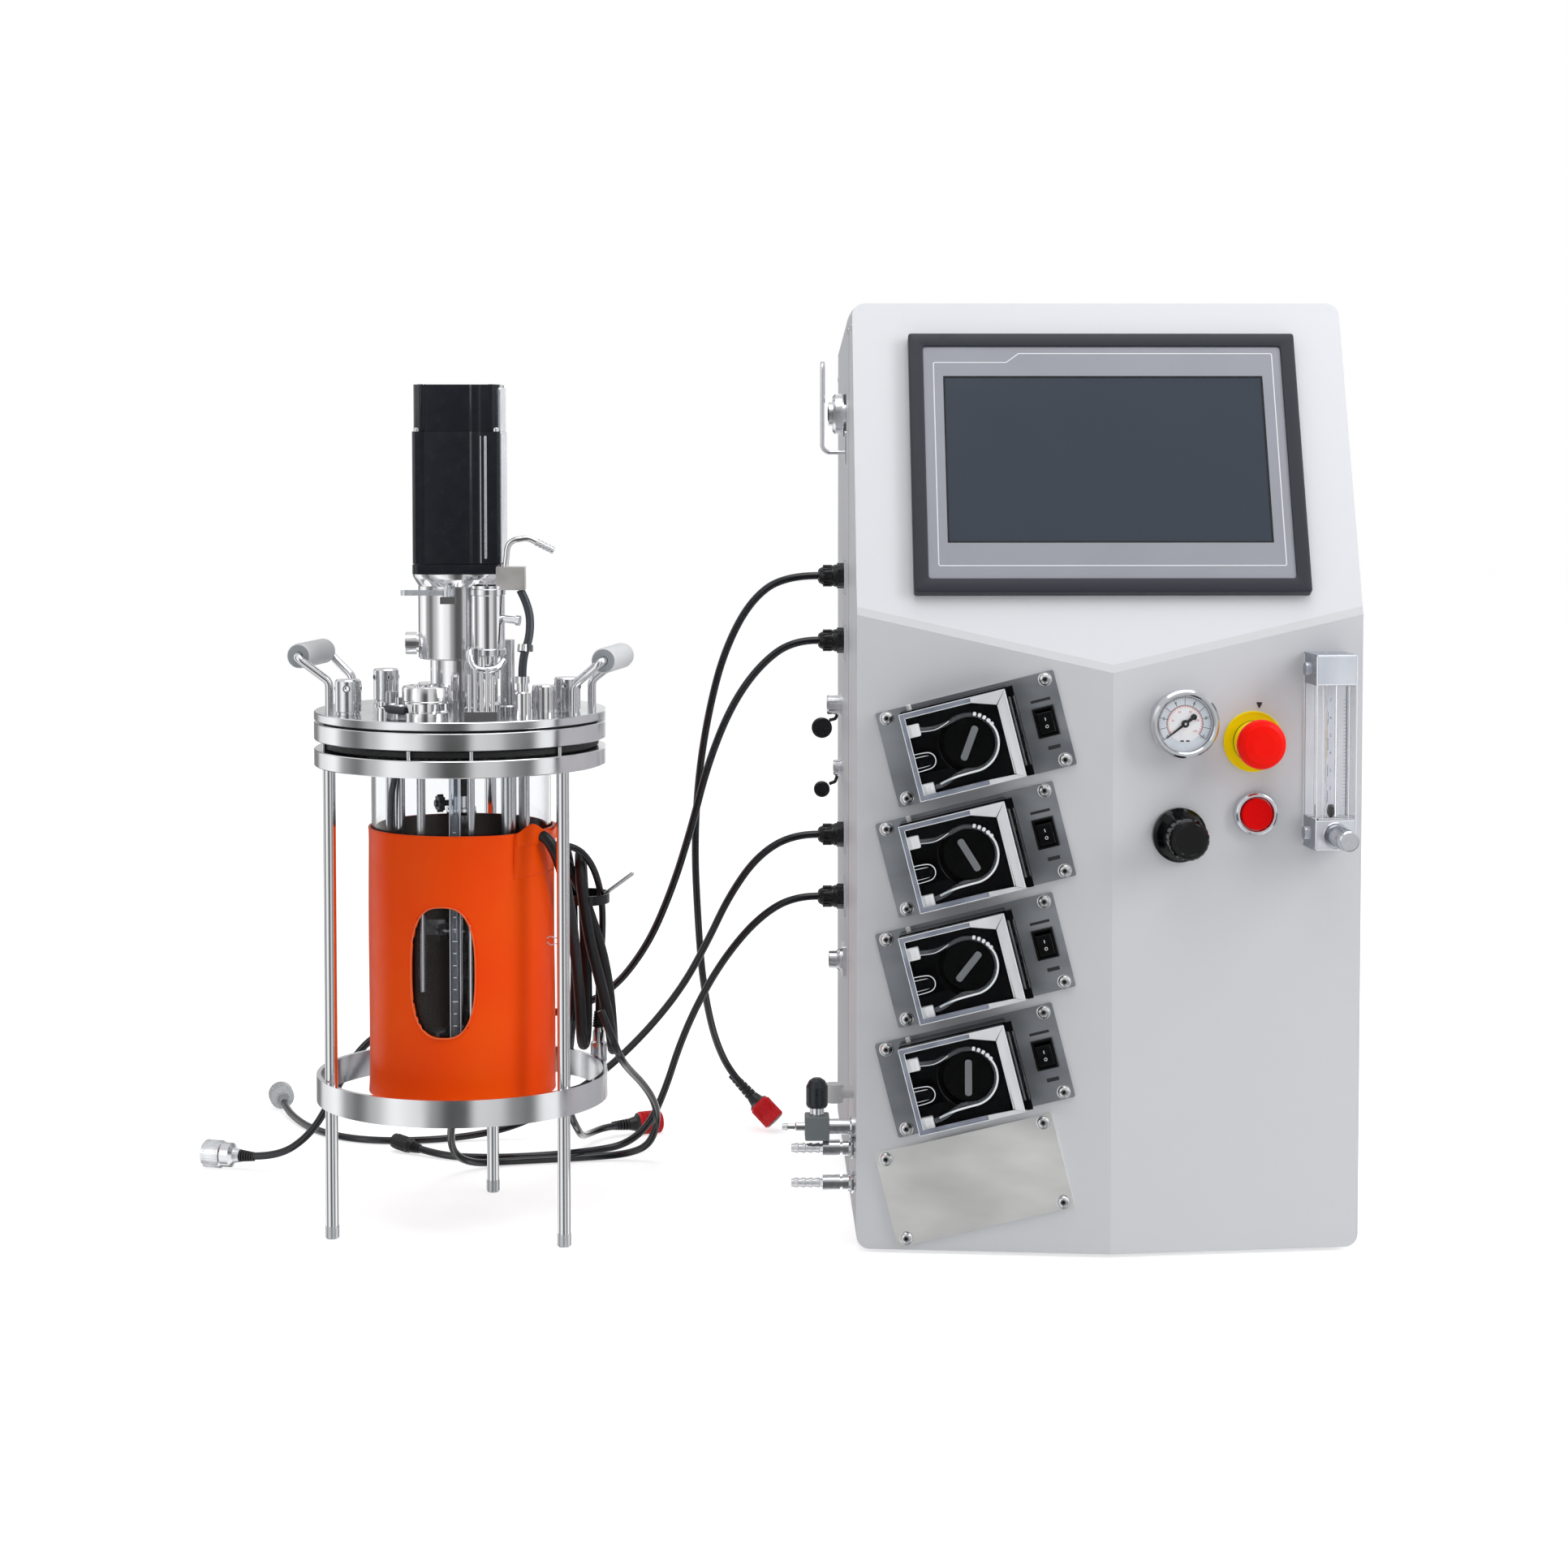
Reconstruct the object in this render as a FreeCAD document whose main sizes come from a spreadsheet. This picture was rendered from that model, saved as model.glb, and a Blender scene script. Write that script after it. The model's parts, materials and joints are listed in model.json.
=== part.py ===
import FreeCAD, Part
import math
import os
import re
import Sketcher
from FreeCAD import Vector

# Bench bioreactor: a glass stirred vessel in a stainless stand, beside a control
# cabinet with a leaning touch panel and four peristaltic pumps.
# Millimetres, +Z up, origin on the bench in the middle of the footprint (without
# the loose cables).  The front of the object looks along -Y.

os.makedirs("parts", exist_ok=True)
doc = FreeCAD.newDocument("bench_bioreactor")
sheet = doc.addObject("Spreadsheet::Sheet", "Sizes")
cell_names = []


def size(name, content):
    """One row of the sheet: a driving number, or a formula of other rows."""
    cell_names.append(name)
    row = len(cell_names)
    sheet.set("A%d" % row, name)
    sheet.set("B%d" % row, str(content))
    sheet.setAlias("B%d" % row, name)


def sizes(**rows):
    for name, content in rows.items():
        size(name, content)


# ------------------------------------------------------------------ sizes
# Whole object and cabinet
sizes(
    overall_length=754,
    cabinet_width=350,
    cabinet_depth=400,
    cabinet_wall=2.5,
    cabinet_corner=9,
    foot_height=3,
    face_height=445,
    top_height=662.7,
    rear_height=632,
    panel_lean=24.7,
    facet_turn=5.87,
    seam_setback=157,
)
sizes(
    cabinet_right="=overall_length / 2",
    cabinet_left="=cabinet_right - cabinet_width",
    cabinet_mid="=cabinet_right - cabinet_width / 2",
    prow="=cabinet_width / 2 * tan(facet_turn)",
)
# Front panel fittings: offsets are from the cabinet's middle line, along X
sizes(
    gauge_off=47.4,
    gauge_height=371.6,
    gauge_radius=23.5,
    gauge_depth=15,
    dial_depth=10,
    needle_length=16,
    stop_off=97.8,
    stop_height=357.8,
    stop_disc_radius=21,
    stop_head_radius=17,
    stop_collar=8,
    stop_reach=28,
    stop_travel=5,
    button_off=99.5,
    button_height=307.9,
    button_bezel_radius=13.9,
    button_cap_radius=11,
    button_travel=3,
    regulator_off=46.2,
    regulator_height=294,
    regulator_base_radius=18.9,
    regulator_base_depth=13,
    regulator_knob_radius=14.2,
    regulator_reach=31,
    meter_off=147.4,
    meter_bottom=285.4,
    meter_width=27,
    meter_depth=30,
    meter_end=21,
    meter_tube=92,
    meter_bore=4.2,
    float_radius=3.3,
    float_length=9,
    meter_knob_radius=7,
    meter_knob_reach=32,
    button_stem=5,
    bush_radius=6,
    bush_depth=14,
    running_gap=0.06,
    free_gap=0.3,
)
# Everything in depth is laid out from the face of the flow meter's knob, which
# stands furthest forward, to the cabinet's back.
sizes(
    front_reach="=prow - meter_off * tan(facet_turn)"
    " + (meter_depth + 1 + meter_knob_reach) * cos(facet_turn)"
    " + meter_knob_radius * sin(facet_turn)",
    cabinet_rear="=(cabinet_depth + front_reach) / 2",
    cabinet_front="=cabinet_rear - cabinet_depth",
    ridge_y="=cabinet_front - prow",
    seam_y="=cabinet_front + seam_setback",
)
# Touch panel: heights run up the leaning face from its lower line
sizes(
    screen_off=2,
    panel_bezel_width=275,
    panel_bezel_height=198,
    panel_bezel_thick=6,
    panel_up=113,
    screen_width=226,
    screen_height=127,
    screen_up=115,
    screen_thick=1.6,
    panel_body_depth=38,
)
# Pumps and their plates (a plate's own frame: X along it, Z up, -Y outward)
sizes(
    pump_off=93.4,
    plate_low=53.3,
    plate_pitch=76.7,
    plate_tilt=14.4,
    plate_length=126,
    plate_height=67,
    plate_thick=2.5,
    plate_screw_x="=plate_length / 2 - 7",
    plate_screw_z="=plate_height / 2 - 5",
    screw_radius=2,
    screw_head_radius=4.1,
    head_left=46,
    head_right=29,
    head_height=62.5,
    head_depth=16,
    race_x=-4,
    race_radius=21,
    race_floor=2,
    rotor_radius=17,
    roller_radius=4.5,
    roller_circle=13,
    rotor_shaft_radius=3,
    rotor_shaft_length=32,
    shaft_room=2,
    cover_depth=8,
    cover_wall=2,
    hinge_out=2.8,
    hinge_barrel_radius=2.4,
    hinge_pin_radius=1.2,
    hinge_lug=7,
    ear_half=2,
    motor_radius=13,
    motor_length=42,
    rocker_x=49.6,
    rocker_frame_width=15,
    rocker_frame_height=21,
    rocker_lip=0.8,
    rocker_width=10.8,
    rocker_half=7.6,
    rocker_opening_half=8.9,
    rocker_pivot=1.5,
    rocker_tilt=7,
)
# Cabinet's left side: places are set back from the front edge (along +Y)
sizes(
    gland_back=225,
    gland_radius=8,
    gland_nut=9,
    gland_dome=12,
    gland_a_height=460.7,
    gland_b_height=411.4,
    gland_c_height=262.7,
    gland_d_height=215.1,
    gas_back=17,
    gas_out=45,
    barb_a_height=70,
    barb_b_height=45.4,
    valve_height=85,
    valve_block=17,
    valve_pipe=18.5,
    valve_knob_radius=7.6,
    valve_knob_height=24,
    socket_back=296,
    socket_a_height=355.5,
    socket_b_height=306,
    socket_radius=7.8,
    flange_back=207,
    flange_height=169.5,
    air_back=225,
    air_height=583.6,
    air_radius=15.4,
    hook_back=207,
    hook_height=554.7,
    hook_top=622,
    hook_out=18.4,
    hook_radius=1.6,
    cap_radius=8,
)
# Vessel and stand
sizes(
    handle_turn=12,
    handle_inset=14,
    handle_half=25,
    handle_bend_height=393,
    grip_overhang=22,
    grip_height=411,
    grip_radius=9,
    grip_length=54,
    handle_spread=32.5,
    handle_rod=3,
    vessel_setback=80,
    lid_radius=104,
    lid_top=373,
    lid_thick=6,
    seal_thick=1.5,
    clamp_thick=12.5,
    ring_gap=6.5,
    stand_ring_thick=12,
    glass_room=2.4,
    glass_grip=4,
    glass_radius=64,
    glass_wall=3,
    glass_flange=16,
    glass_bottom=95,
    glass_corner=14,
    gasket_inset=7,
    blanket_bottom=100,
    blanket_top=290,
    blanket_thick=1.9,
    blanket_gap=0.1,
    window_off=-7.3,
    window_height=194.5,
    window_radius_low=22,
    window_radius_high=16,
    window_drop=23.5,
    window_rise=29.5,
    band_thick=3.2,
    band_bottom=94,
    band_top=113,
    weld_depth=0.2,
    leg_radius=4.5,
    leg_angle=201.8,
    leg_tip_radius=4.9,
    leg_tip_height=9,
    nut_radius=9.2,
    nut_height=24,
    housing_low_radius=21.5,
    housing_step=409.5,
    housing_radius=29.8,
    housing_top=462,
    adapter_radius=29,
    adapter_top=470.5,
    plug_radius=8,
    plug_height=420,
    plug_reach=39,
    shaft_radius=5,
    shaft_top=452,
    shaft_bottom=121,
    impeller_low=138,
    impeller_high=216,
    impeller_disc_radius=20,
    impeller_radius=28,
    blade_height=11,
    blade_thick=1.6,
    hub_radius=8.5,
    hub_height=14,
    servo_width=60,
    servo_flange=7,
    servo_step=571,
    servo_top=603.5,
    servo_top_width=54,
    servo_turn=2.5,
    lever_length=33,
    lever_width=7,
    lever_thick=5,
    lever_pivot_x=-6,
    lever_pivot_y=-33.5,
    lever_pin_radius=2.2,
    tube_bottom=118,
    stud_radius=4,
    exhaust_rise=88,
    exhaust_thick=16,
    probe_port_x=48.6,
    probe_port_y=-67,
    probe_port_height=28.7,
    condenser_x=24,
    condenser_y=-53,
    condenser_height=92,
)
sizes(
    ring_bore="=glass_radius + glass_room",
    clamp_bore="=glass_radius - glass_grip",
    glass_flange_radius="=glass_radius + glass_flange",
    blanket_radius="=glass_radius + blanket_gap + blanket_thick",
    gasket_radius="=lid_radius - gasket_inset",
    leg_circle="=lid_radius - band_thick - leg_radius + weld_depth",
    handle_radius="=lid_radius - handle_inset",
    grip_circle="=handle_radius + grip_overhang",
    exhaust_low="=lid_top + exhaust_rise",
    probe_port_top="=lid_top + probe_port_height",
    grip_reach="=grip_circle * cos(handle_turn) + grip_length / 2 * sin(handle_turn)"
    " + grip_radius * cos(handle_turn)",
    vessel_x="=grip_reach - overall_length / 2",
    vessel_y="=cabinet_front + vessel_setback",
    lid_bottom="=lid_top - lid_thick",
    clamp_top="=lid_bottom - seal_thick",
    clamp_bottom="=clamp_top - clamp_thick",
    stand_ring_top="=clamp_bottom - ring_gap",
    stand_ring_bottom="=stand_ring_top - stand_ring_thick",
)
doc.recompute()


# ------------------------------------------------------------------ makers
def formula(text):
    """The same formula with each sheet name written as Sizes.name."""
    return re.sub(r"[A-Za-z_]+", lambda word: "Sizes." + word.group()
                  if word.group() in cell_names else word.group(), str(text))


def number(text):
    return float(sheet.evalExpression(formula(text)))


def bind(feature, **properties):
    for name, text in properties.items():
        feature.setExpression(name, formula(text))
    return feature


def place(feature, x="0", y="0", z="0", yaw="0", pitch="0", roll="0"):
    """Put a feature at a point, turned by yaw about Z, pitch about Y, roll about X."""
    spot = "; ".join(formula(text) for text in (x, y, z))
    turn = "; ".join(formula(text) for text in (yaw, pitch, roll))
    feature.setExpression("Placement", "create(<<placement>>; create(<<vector>>; %s); "
                          "create(<<rotation>>; %s))" % (spot, turn))
    return feature


def cylinder(name, radius, height, **where):
    rod = bind(doc.addObject("Part::Cylinder", name), Radius=radius, Height=height)
    return place(rod, **where)


def block(name, x_range, y_range, z_range):
    """A box between two values along each axis."""
    solid = doc.addObject("Part::Box", name)
    bind(solid, Length="(%s) - (%s)" % (x_range[1], x_range[0]),
         Width="(%s) - (%s)" % (y_range[1], y_range[0]),
         Height="(%s) - (%s)" % (z_range[1], z_range[0]))
    return place(solid, x_range[0], y_range[0], z_range[0])


def outline(body, role, points):
    """A closed sketch of straight lines on an origin plane of its body."""
    sketch = body.newObject("Sketcher::SketchObject", body.Name + "_outline")
    plane = [part for part in body.Origin.OriginFeatures if part.Role == role][0]
    sketch.AttachmentSupport = (plane, [""])
    sketch.MapMode = "FlatFace"
    corners = [Vector(number(x), number(y), 0) for x, y in points]
    count = len(corners)
    for i in range(count):
        sketch.addGeometry(Part.LineSegment(corners[i], corners[(i + 1) % count]))
    for i in range(count):
        sketch.addConstraint(Sketcher.Constraint("Coincident", i, 2, (i + 1) % count, 1))
    for i in range(count):
        for kind, text, at in (("DistanceX", points[i][0], corners[i].x),
                               ("DistanceY", points[i][1], corners[i].y)):
            index = sketch.addConstraint(Sketcher.Constraint(kind, i, 1, at))
            sketch.setExpression("Constraints[%d]" % index, formula(text))
    return sketch


def padded(name, role, points, thickness, midplane=False, **where):
    """A slab: a sketch on XY, XZ or YZ, padded along the plane's normal."""
    body = doc.addObject("PartDesign::Body", name)
    sketch = outline(body, role, points)
    pad = body.newObject("PartDesign::Pad", name + "_pad")
    pad.Profile = sketch
    bind(pad, Length=thickness)
    pad.Midplane = midplane
    body.Tip = pad
    return place(body, **where)


def turned(name, points, **where):
    """A lathe part: (radius, height) points revolved about the body's Z axis."""
    body = doc.addObject("PartDesign::Body", name)
    sketch = outline(body, "XZ_Plane", points)
    lathe = body.newObject("PartDesign::Revolution", name + "_lathe")
    lathe.Profile = sketch
    lathe.ReferenceAxis = (sketch, ["V_Axis"])
    lathe.Angle = 360
    body.Tip = lathe
    return place(body, **where)


def soften(body, radius, chosen):
    """Round the edges of a body that the chosen test picks."""
    doc.recompute()
    sharp = body.Tip
    edges = ["Edge%d" % (i + 1) for i, edge in enumerate(sharp.Shape.Edges) if chosen(edge)]
    fillet = body.newObject("PartDesign::Fillet", body.Name + "_rounds%d" % len(body.Group))
    fillet.Base = (sharp, edges)
    bind(fillet, Radius=radius)
    body.Tip = fillet
    return body


def runs_along(axis):
    """A test for straight edges parallel to an axis."""
    def test(edge):
        if edge.Curve.TypeId != "Part::GeomLine":
            return False
        return abs(edge.tangentAt(edge.FirstParameter).dot(axis)) > 0.999
    return test


def rectangle(left, right, low, high):
    return [(left, low), (right, low), (right, high), (left, high)]


def cut(name, base, *tools, **where):
    taken = tools[0]
    if len(tools) > 1:
        taken = doc.addObject("Part::MultiFuse", name + "_tools")
        taken.Shapes = list(tools)
    result = doc.addObject("Part::Cut", name)
    result.Base = base
    result.Tool = taken
    return place(result, **where)


def join(name, *pieces, **where):
    result = doc.addObject("Part::MultiFuse", name)
    result.Shapes = list(pieces)
    return place(result, **where)


def common(name, *pieces):
    result = doc.addObject("Part::MultiCommon", name)
    result.Shapes = list(pieces)
    return result


def group(name, *pieces, **where):
    """Separate solids kept together, or a copy of one piece at another place."""
    result = doc.addObject("Part::Compound", name)
    result.Links = list(pieces)
    return place(result, **where)


nodes = []


def node(name, feature):
    """Name a finished sub-part: this is its file's name."""
    feature.Label = name
    nodes.append(feature)
    return feature


# Places on the object, as arguments for place()
def on_left_facet(off, height, **turn):
    """On the left half of the prow, off from the ridge towards the vessel."""
    return dict(x="cabinet_mid - (%s)" % off, y="ridge_y + (%s) * tan(facet_turn)" % off,
                z=height, yaw="-facet_turn", **turn)


def on_right_facet(off, height, **turn):
    return dict(x="cabinet_mid + (%s)" % off, y="ridge_y + (%s) * tan(facet_turn)" % off,
                z=height, yaw="facet_turn", **turn)


def on_panel(off, up):
    """On the leaning face, up from its lower line."""
    return dict(x="cabinet_mid + (%s)" % off,
                y="cabinet_front + (%s) * sin(panel_lean)" % up,
                z="face_height + (%s) * cos(panel_lean)" % up, roll="-panel_lean")


def on_left_side(back, height, out="0"):
    """On the cabinet's left wall with the part's own Z pointing away from it."""
    return dict(x="cabinet_left - (%s)" % out, y="cabinet_front + (%s)" % back,
                z=height, pitch="-90")


def at_vessel(x, y, z, **turn):
    return dict(x="vessel_x + (%s)" % x, y="vessel_y + (%s)" % y, z=z, **turn)


Y_AXIS = Vector(0, 1, 0)
Z_AXIS = Vector(0, 0, 1)
OUTWARD = dict(roll="90")


def facing_front(x="0", z="0", y="0"):
    """In a front piece's own frame: the part's Z axis points outward (-Y)."""
    return dict(x=x, y=y, z=z, roll="90")


# ------------------------------------------------------------------ cabinet
# Two moulded halves and a folded steel prow in front.  The outer form is what a
# plan, a side view and a front view have in common, and the hollow is the same
# three views drawn one wall further in.
def cabinet_form(name, wall):
    facet_y = "ridge_y + (%s) / cos(facet_turn)" % wall
    side_y = "ridge_y + (cabinet_width / 2 - (%s)) * tan(facet_turn) + (%s) / cos(facet_turn)"
    side_y = side_y % (wall, wall)
    lean_y = "cabinet_front + (%s) / cos(panel_lean)" % wall
    plan = padded(name + "_plan", "XY_Plane", [
        ("cabinet_left + (%s)" % wall, side_y),
        ("cabinet_mid", facet_y),
        ("cabinet_right - (%s)" % wall, side_y),
        ("cabinet_right - (%s)" % wall, "cabinet_rear - (%s)" % wall),
        ("cabinet_left + (%s)" % wall, "cabinet_rear - (%s)" % wall),
    ], "top_height")
    forward = "ridge_y - 10"
    side = padded(name + "_side", "YZ_Plane", [
        (forward, "foot_height + (%s)" % wall),
        ("cabinet_rear", "foot_height + (%s)" % wall),
        ("cabinet_rear", "rear_height - (%s)" % wall),
        ("(%s) + (top_height - face_height - (%s)) * tan(panel_lean)" % (lean_y, wall),
         "top_height - (%s)" % wall),
        (forward, "face_height - ((%s) - (%s)) / tan(panel_lean)" % (lean_y, forward)),
    ], "cabinet_width + 10", midplane=True, x="cabinet_mid")
    front = padded(name + "_front", "XZ_Plane", rectangle(
        "cabinet_left + (%s)" % wall, "cabinet_right - (%s)" % wall,
        "foot_height + (%s)" % wall, "top_height - (%s)" % wall),
        "2 * cabinet_depth", midplane=True)
    soften(front, "cabinet_corner - (%s)" % wall, runs_along(Y_AXIS))
    return common(name, plan, side, front)


cabinet_outside = cabinet_form("cabinet_outside", "0")
cabinet_inside = cabinet_form("cabinet_inside", "cabinet_wall")
cabinet_skin = cut("cabinet_skin", cabinet_outside, cabinet_inside)
prow_strip = padded("prow_strip", "XY_Plane", [
    ("cabinet_left", "ridge_y - 5"),
    ("cabinet_right", "ridge_y - 5"),
    ("cabinet_right", "cabinet_front + cabinet_wall / cos(facet_turn)"),
    ("cabinet_mid", "ridge_y + cabinet_wall / cos(facet_turn)"),
    ("cabinet_left", "cabinet_front + cabinet_wall / cos(facet_turn)"),
], "face_height + 5")
behind_seam = block("behind_seam", ("cabinet_left - 5", "cabinet_right + 5"),
                    ("seam_y", "cabinet_rear + 5"), ("0", "top_height + 5"))

# The leaning half has an opening for the touch panel's body.
panel_body_width = "panel_bezel_width - 20"
panel_body_height = "panel_bezel_height - 20"
panel_opening = group("panel_opening", padded("panel_opening_form", "XZ_Plane", rectangle(
    "-(%s) / 2 - free_gap" % panel_body_width, "(%s) / 2 + free_gap" % panel_body_width,
    "-(%s) / 2 - free_gap" % panel_body_height, "(%s) / 2 + free_gap" % panel_body_height),
    "30", midplane=True), **on_panel("screen_off", "panel_up"))
# Nylon glands for the cables are screwed through the left wall.
gland_heights = ["gland_a_height", "gland_b_height", "gland_c_height", "gland_d_height"]
gland_holes = [cylinder("gland_hole_%d" % (i + 1), "gland_radius - 2", "20",
                        **on_left_side("gland_back", height, "-10"))
               for i, height in enumerate(gland_heights)]
node("front_housing", cut("front_housing", cabinet_skin, prow_strip, behind_seam, panel_opening))
node("rear_housing", cut("rear_housing", common("rear_skin", cabinet_skin, behind_seam),
                         *gland_holes))


def plate_height_of(number_up):
    return "plate_low + %d * plate_pitch" % number_up


def plate_places():
    """The four pumps from the top plate down."""
    return [on_left_facet("pump_off", plate_height_of(4 - i), pitch="-plate_tilt")
            for i in range(4)]


def switch_opening(name):
    """The rocker's frame covers this opening by a lip all round."""
    half_width = "(rocker_frame_width / 2 - rocker_lip)"
    half_height = "(rocker_frame_height / 2 - rocker_lip)"
    return block(name, ("rocker_x - " + half_width, "rocker_x + " + half_width), ("-10", "10"),
                 ("-" + half_height, half_height))


fascia_holes = []
for i, where in enumerate(plate_places()):
    shaft_hole = cylinder("shaft_hole_%d" % (i + 1), "rotor_shaft_radius + shaft_room", "20",
                          **facing_front(x="race_x", y="10"))
    switch_hole = switch_opening("switch_hole_%d" % (i + 1))
    fascia_holes.append(group("fascia_holes_%d" % (i + 1), shaft_hole, switch_hole, **where))
CONTROL_HOLE = "bush_radius + 0.4"
for name, off, height in (("gauge", "gauge_off", "gauge_height"),
                          ("stop", "stop_off", "stop_height"),
                          ("button", "button_off", "button_height"),
                          ("regulator", "regulator_off", "regulator_height")):
    hole = cylinder(name + "_hole_form", CONTROL_HOLE, "20", **facing_front(y="10"))
    fascia_holes.append(group(name + "_hole", hole, **on_right_facet(off, height)))
node("lower_fascia", cut("lower_fascia", common("fascia_sheet", cabinet_skin, prow_strip),
                         *fascia_holes))

# Feet: four rubber pads under the cabinet, and a clear cap on each leg's end.
FOOT_RADIUS = "12"
FOOT_INSET = "35"
feet = []
foot_spots = [("cabinet_%s %s" % (side, FOOT_INSET), "cabinet_%s %s" % (end, FOOT_INSET))
              for end in ("front +", "rear -") for side in ("left +", "right -")]
for i, (x, y) in enumerate(foot_spots):
    feet.append(cylinder("cabinet_foot_%d" % (i + 1), FOOT_RADIUS, "foot_height", x=x, y=y))


def leg_spot(i):
    turn = "leg_angle + %d" % (120 * i)
    return "leg_circle * cos(%s)" % turn, "leg_circle * sin(%s)" % turn


for i in range(3):
    x, y = leg_spot(i)
    feet.append(turned("leg_tip_%d" % (i + 1), [
        ("0", "0"), ("leg_tip_radius - 1", "0"), ("leg_tip_radius", "1"),
        ("leg_tip_radius", "leg_tip_height"), ("leg_radius", "leg_tip_height"),
        ("leg_radius", "2"), ("0", "2"),
    ], **at_vessel(x, y, "0")))
node("bench_feet", group("bench_feet", *feet))

# ------------------------------------------------------------------ touch panel
bezel = padded("panel_bezel", "XZ_Plane", rectangle(
    "-panel_bezel_width / 2", "panel_bezel_width / 2",
    "-panel_bezel_height / 2", "panel_bezel_height / 2"), "panel_bezel_thick")
soften(bezel, "7", runs_along(Y_AXIS))
soften(bezel, "1.5", lambda edge: abs(edge.BoundBox.YMin + number("panel_bezel_thick")) < 0.01
       and edge.BoundBox.YLength < 0.01)
screen_rise = "(screen_up - panel_up)"
screen_form = dict(left="-screen_width / 2", right="screen_width / 2",
                   low="%s - screen_height / 2" % screen_rise,
                   high="%s + screen_height / 2" % screen_rise)
screen_recess = padded("screen_recess", "XZ_Plane", rectangle(
    "-screen_width / 2 - 0.1", "screen_width / 2 + 0.1",
    screen_form["low"] + " - 0.1", screen_form["high"] + " + 0.1"),
    "screen_thick + 1", y="-panel_bezel_thick + screen_thick")
panel_body = block("panel_body", ("-(%s) / 2" % panel_body_width, "(%s) / 2" % panel_body_width),
                   ("0", "panel_body_depth"),
                   ("-(%s) / 2" % panel_body_height, "(%s) / 2" % panel_body_height))
node("panel_housing", cut("panel_housing", join("panel_case", bezel, panel_body),
                          screen_recess, **on_panel("screen_off", "panel_up")))
screen_glass = padded("screen_glass", "XZ_Plane", rectangle(*screen_form.values()),
                      "screen_thick", y="-panel_bezel_thick + screen_thick")
node("panel_screen", group("panel_screen", screen_glass, **on_panel("screen_off", "panel_up")))


# ------------------------------------------------------------------ pumps
# A pump's own frame: plate on the XZ plane, -Y outward, X along the plate.
def screw_holes(name):
    return [cylinder("%s_screw_hole_%d" % (name, i + 1), "screw_radius + 0.15", "20",
                     **facing_front(x=x, z=z, y="10"))
            for i, (x, z) in enumerate(screw_spots())]


def screw_spots():
    return [("-plate_screw_x", "-plate_screw_z"), ("plate_screw_x", "-plate_screw_z"),
            ("plate_screw_x", "plate_screw_z"), ("-plate_screw_x", "plate_screw_z")]


def plate_form(name):
    plate = padded(name, "XZ_Plane", rectangle("-plate_length / 2", "plate_length / 2",
                                               "-plate_height / 2", "plate_height / 2"),
                   "plate_thick")
    return soften(plate, "1.5", runs_along(Y_AXIS))


pump_plate = cut("pump_plate", plate_form("pump_plate_sheet"), *screw_holes("pump_plate"),
                 cylinder("plate_shaft_hole", "rotor_shaft_radius + shaft_room", "20",
                          **facing_front(x="race_x", y="10")),
                 switch_opening("plate_switch_hole"))
blank_plate = cut("blank_plate", plate_form("blank_plate_sheet"), *screw_holes("blank_plate"))
blank_place = on_left_facet("pump_off", plate_height_of(0), pitch="-plate_tilt")
node("side_plates", group(
    "side_plates", *[group("plate_%d" % (i + 1), pump_plate, **where)
                     for i, where in enumerate(plate_places())],
    group("plate_5", blank_plate, **blank_place)))

# Button-head socket screws, four to a plate
screw_form = cut("screw_form", turned("screw_blank", [
    ("0", "-plate_thick"), ("screw_radius", "-plate_thick"), ("screw_radius", "0"),
    ("screw_head_radius", "0"), ("screw_head_radius", "0.7"),
    ("screw_head_radius * 0.8", "1.7"), ("screw_head_radius * 0.5", "2.3"), ("0", "2.3"),
], **OUTWARD), padded("screw_socket", "XZ_Plane", [
    ("1.45 * cos(%d)" % a, "1.45 * sin(%d)" % a) for a in range(0, 360, 60)], "3", y="-0.9"))
screw_ring = [group("screw_%d" % (i + 1), screw_form, x=x, y="-plate_thick", z=z)
              for i, (x, z) in enumerate(screw_spots())]
node("plate_screws", group("plate_screws", *[
    group("screws_of_plate_%d" % (i + 1), *screw_ring, **where)
    for i, where in enumerate(plate_places() + [blank_place])]))

# Pump head: a black moulding with the round race for the tube and a channel to
# the left for its two ends, and on the right two lugs that hold the hinge pin.
head_face = "plate_thick + head_depth"
hinge_x = "head_right + hinge_out"
hinge_y = "-(%s) - 0.5" % head_face
head_block = padded("head_block", "XZ_Plane", rectangle(
    "-head_left", "head_right", "-head_height / 2", "head_height / 2"), "head_depth",
    y="-plate_thick")
soften(head_block, "2", runs_along(Y_AXIS))
race = cylinder("race", "race_radius", "head_depth",
                **facing_front(x="race_x", y="-plate_thick - race_floor"))
channel = block("channel", ("-head_left - 1", "race_x"),
                ("-(%s) - 1" % head_face, "-plate_thick - race_floor - 4"), ("-13", "11"))
shaft_bore = cylinder("head_shaft_bore", "rotor_shaft_radius + 0.5", "head_depth",
                      **facing_front(x="race_x", y="0"))
lug_height = "head_height / 2 - hinge_lug"
lugs = []
for side, low, high in (("low", "-head_height / 2", "-(%s)" % lug_height),
                        ("high", lug_height, "head_height / 2")):
    lugs.append(block("lug_" + side, ("head_right - 1", "(%s) + ear_half" % hinge_x),
                      ("-(%s)" % head_face, "(%s) + 4" % hinge_y), (low, high)))
    lugs.append(block("ear_" + side, ("(%s) - ear_half" % hinge_x, "(%s) + ear_half" % hinge_x),
                      ("(%s) - ear_half" % hinge_y, "(%s) + 4" % hinge_y), (low, high)))
pin = cylinder("hinge_pin", "hinge_pin_radius", "head_height - 2", x=hinge_x, y=hinge_y,
               z="-head_height / 2 + 1")
pump_head = join("pump_head", cut("head_bored", head_block, race, channel, shaft_bore),
                 *lugs, pin)
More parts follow.
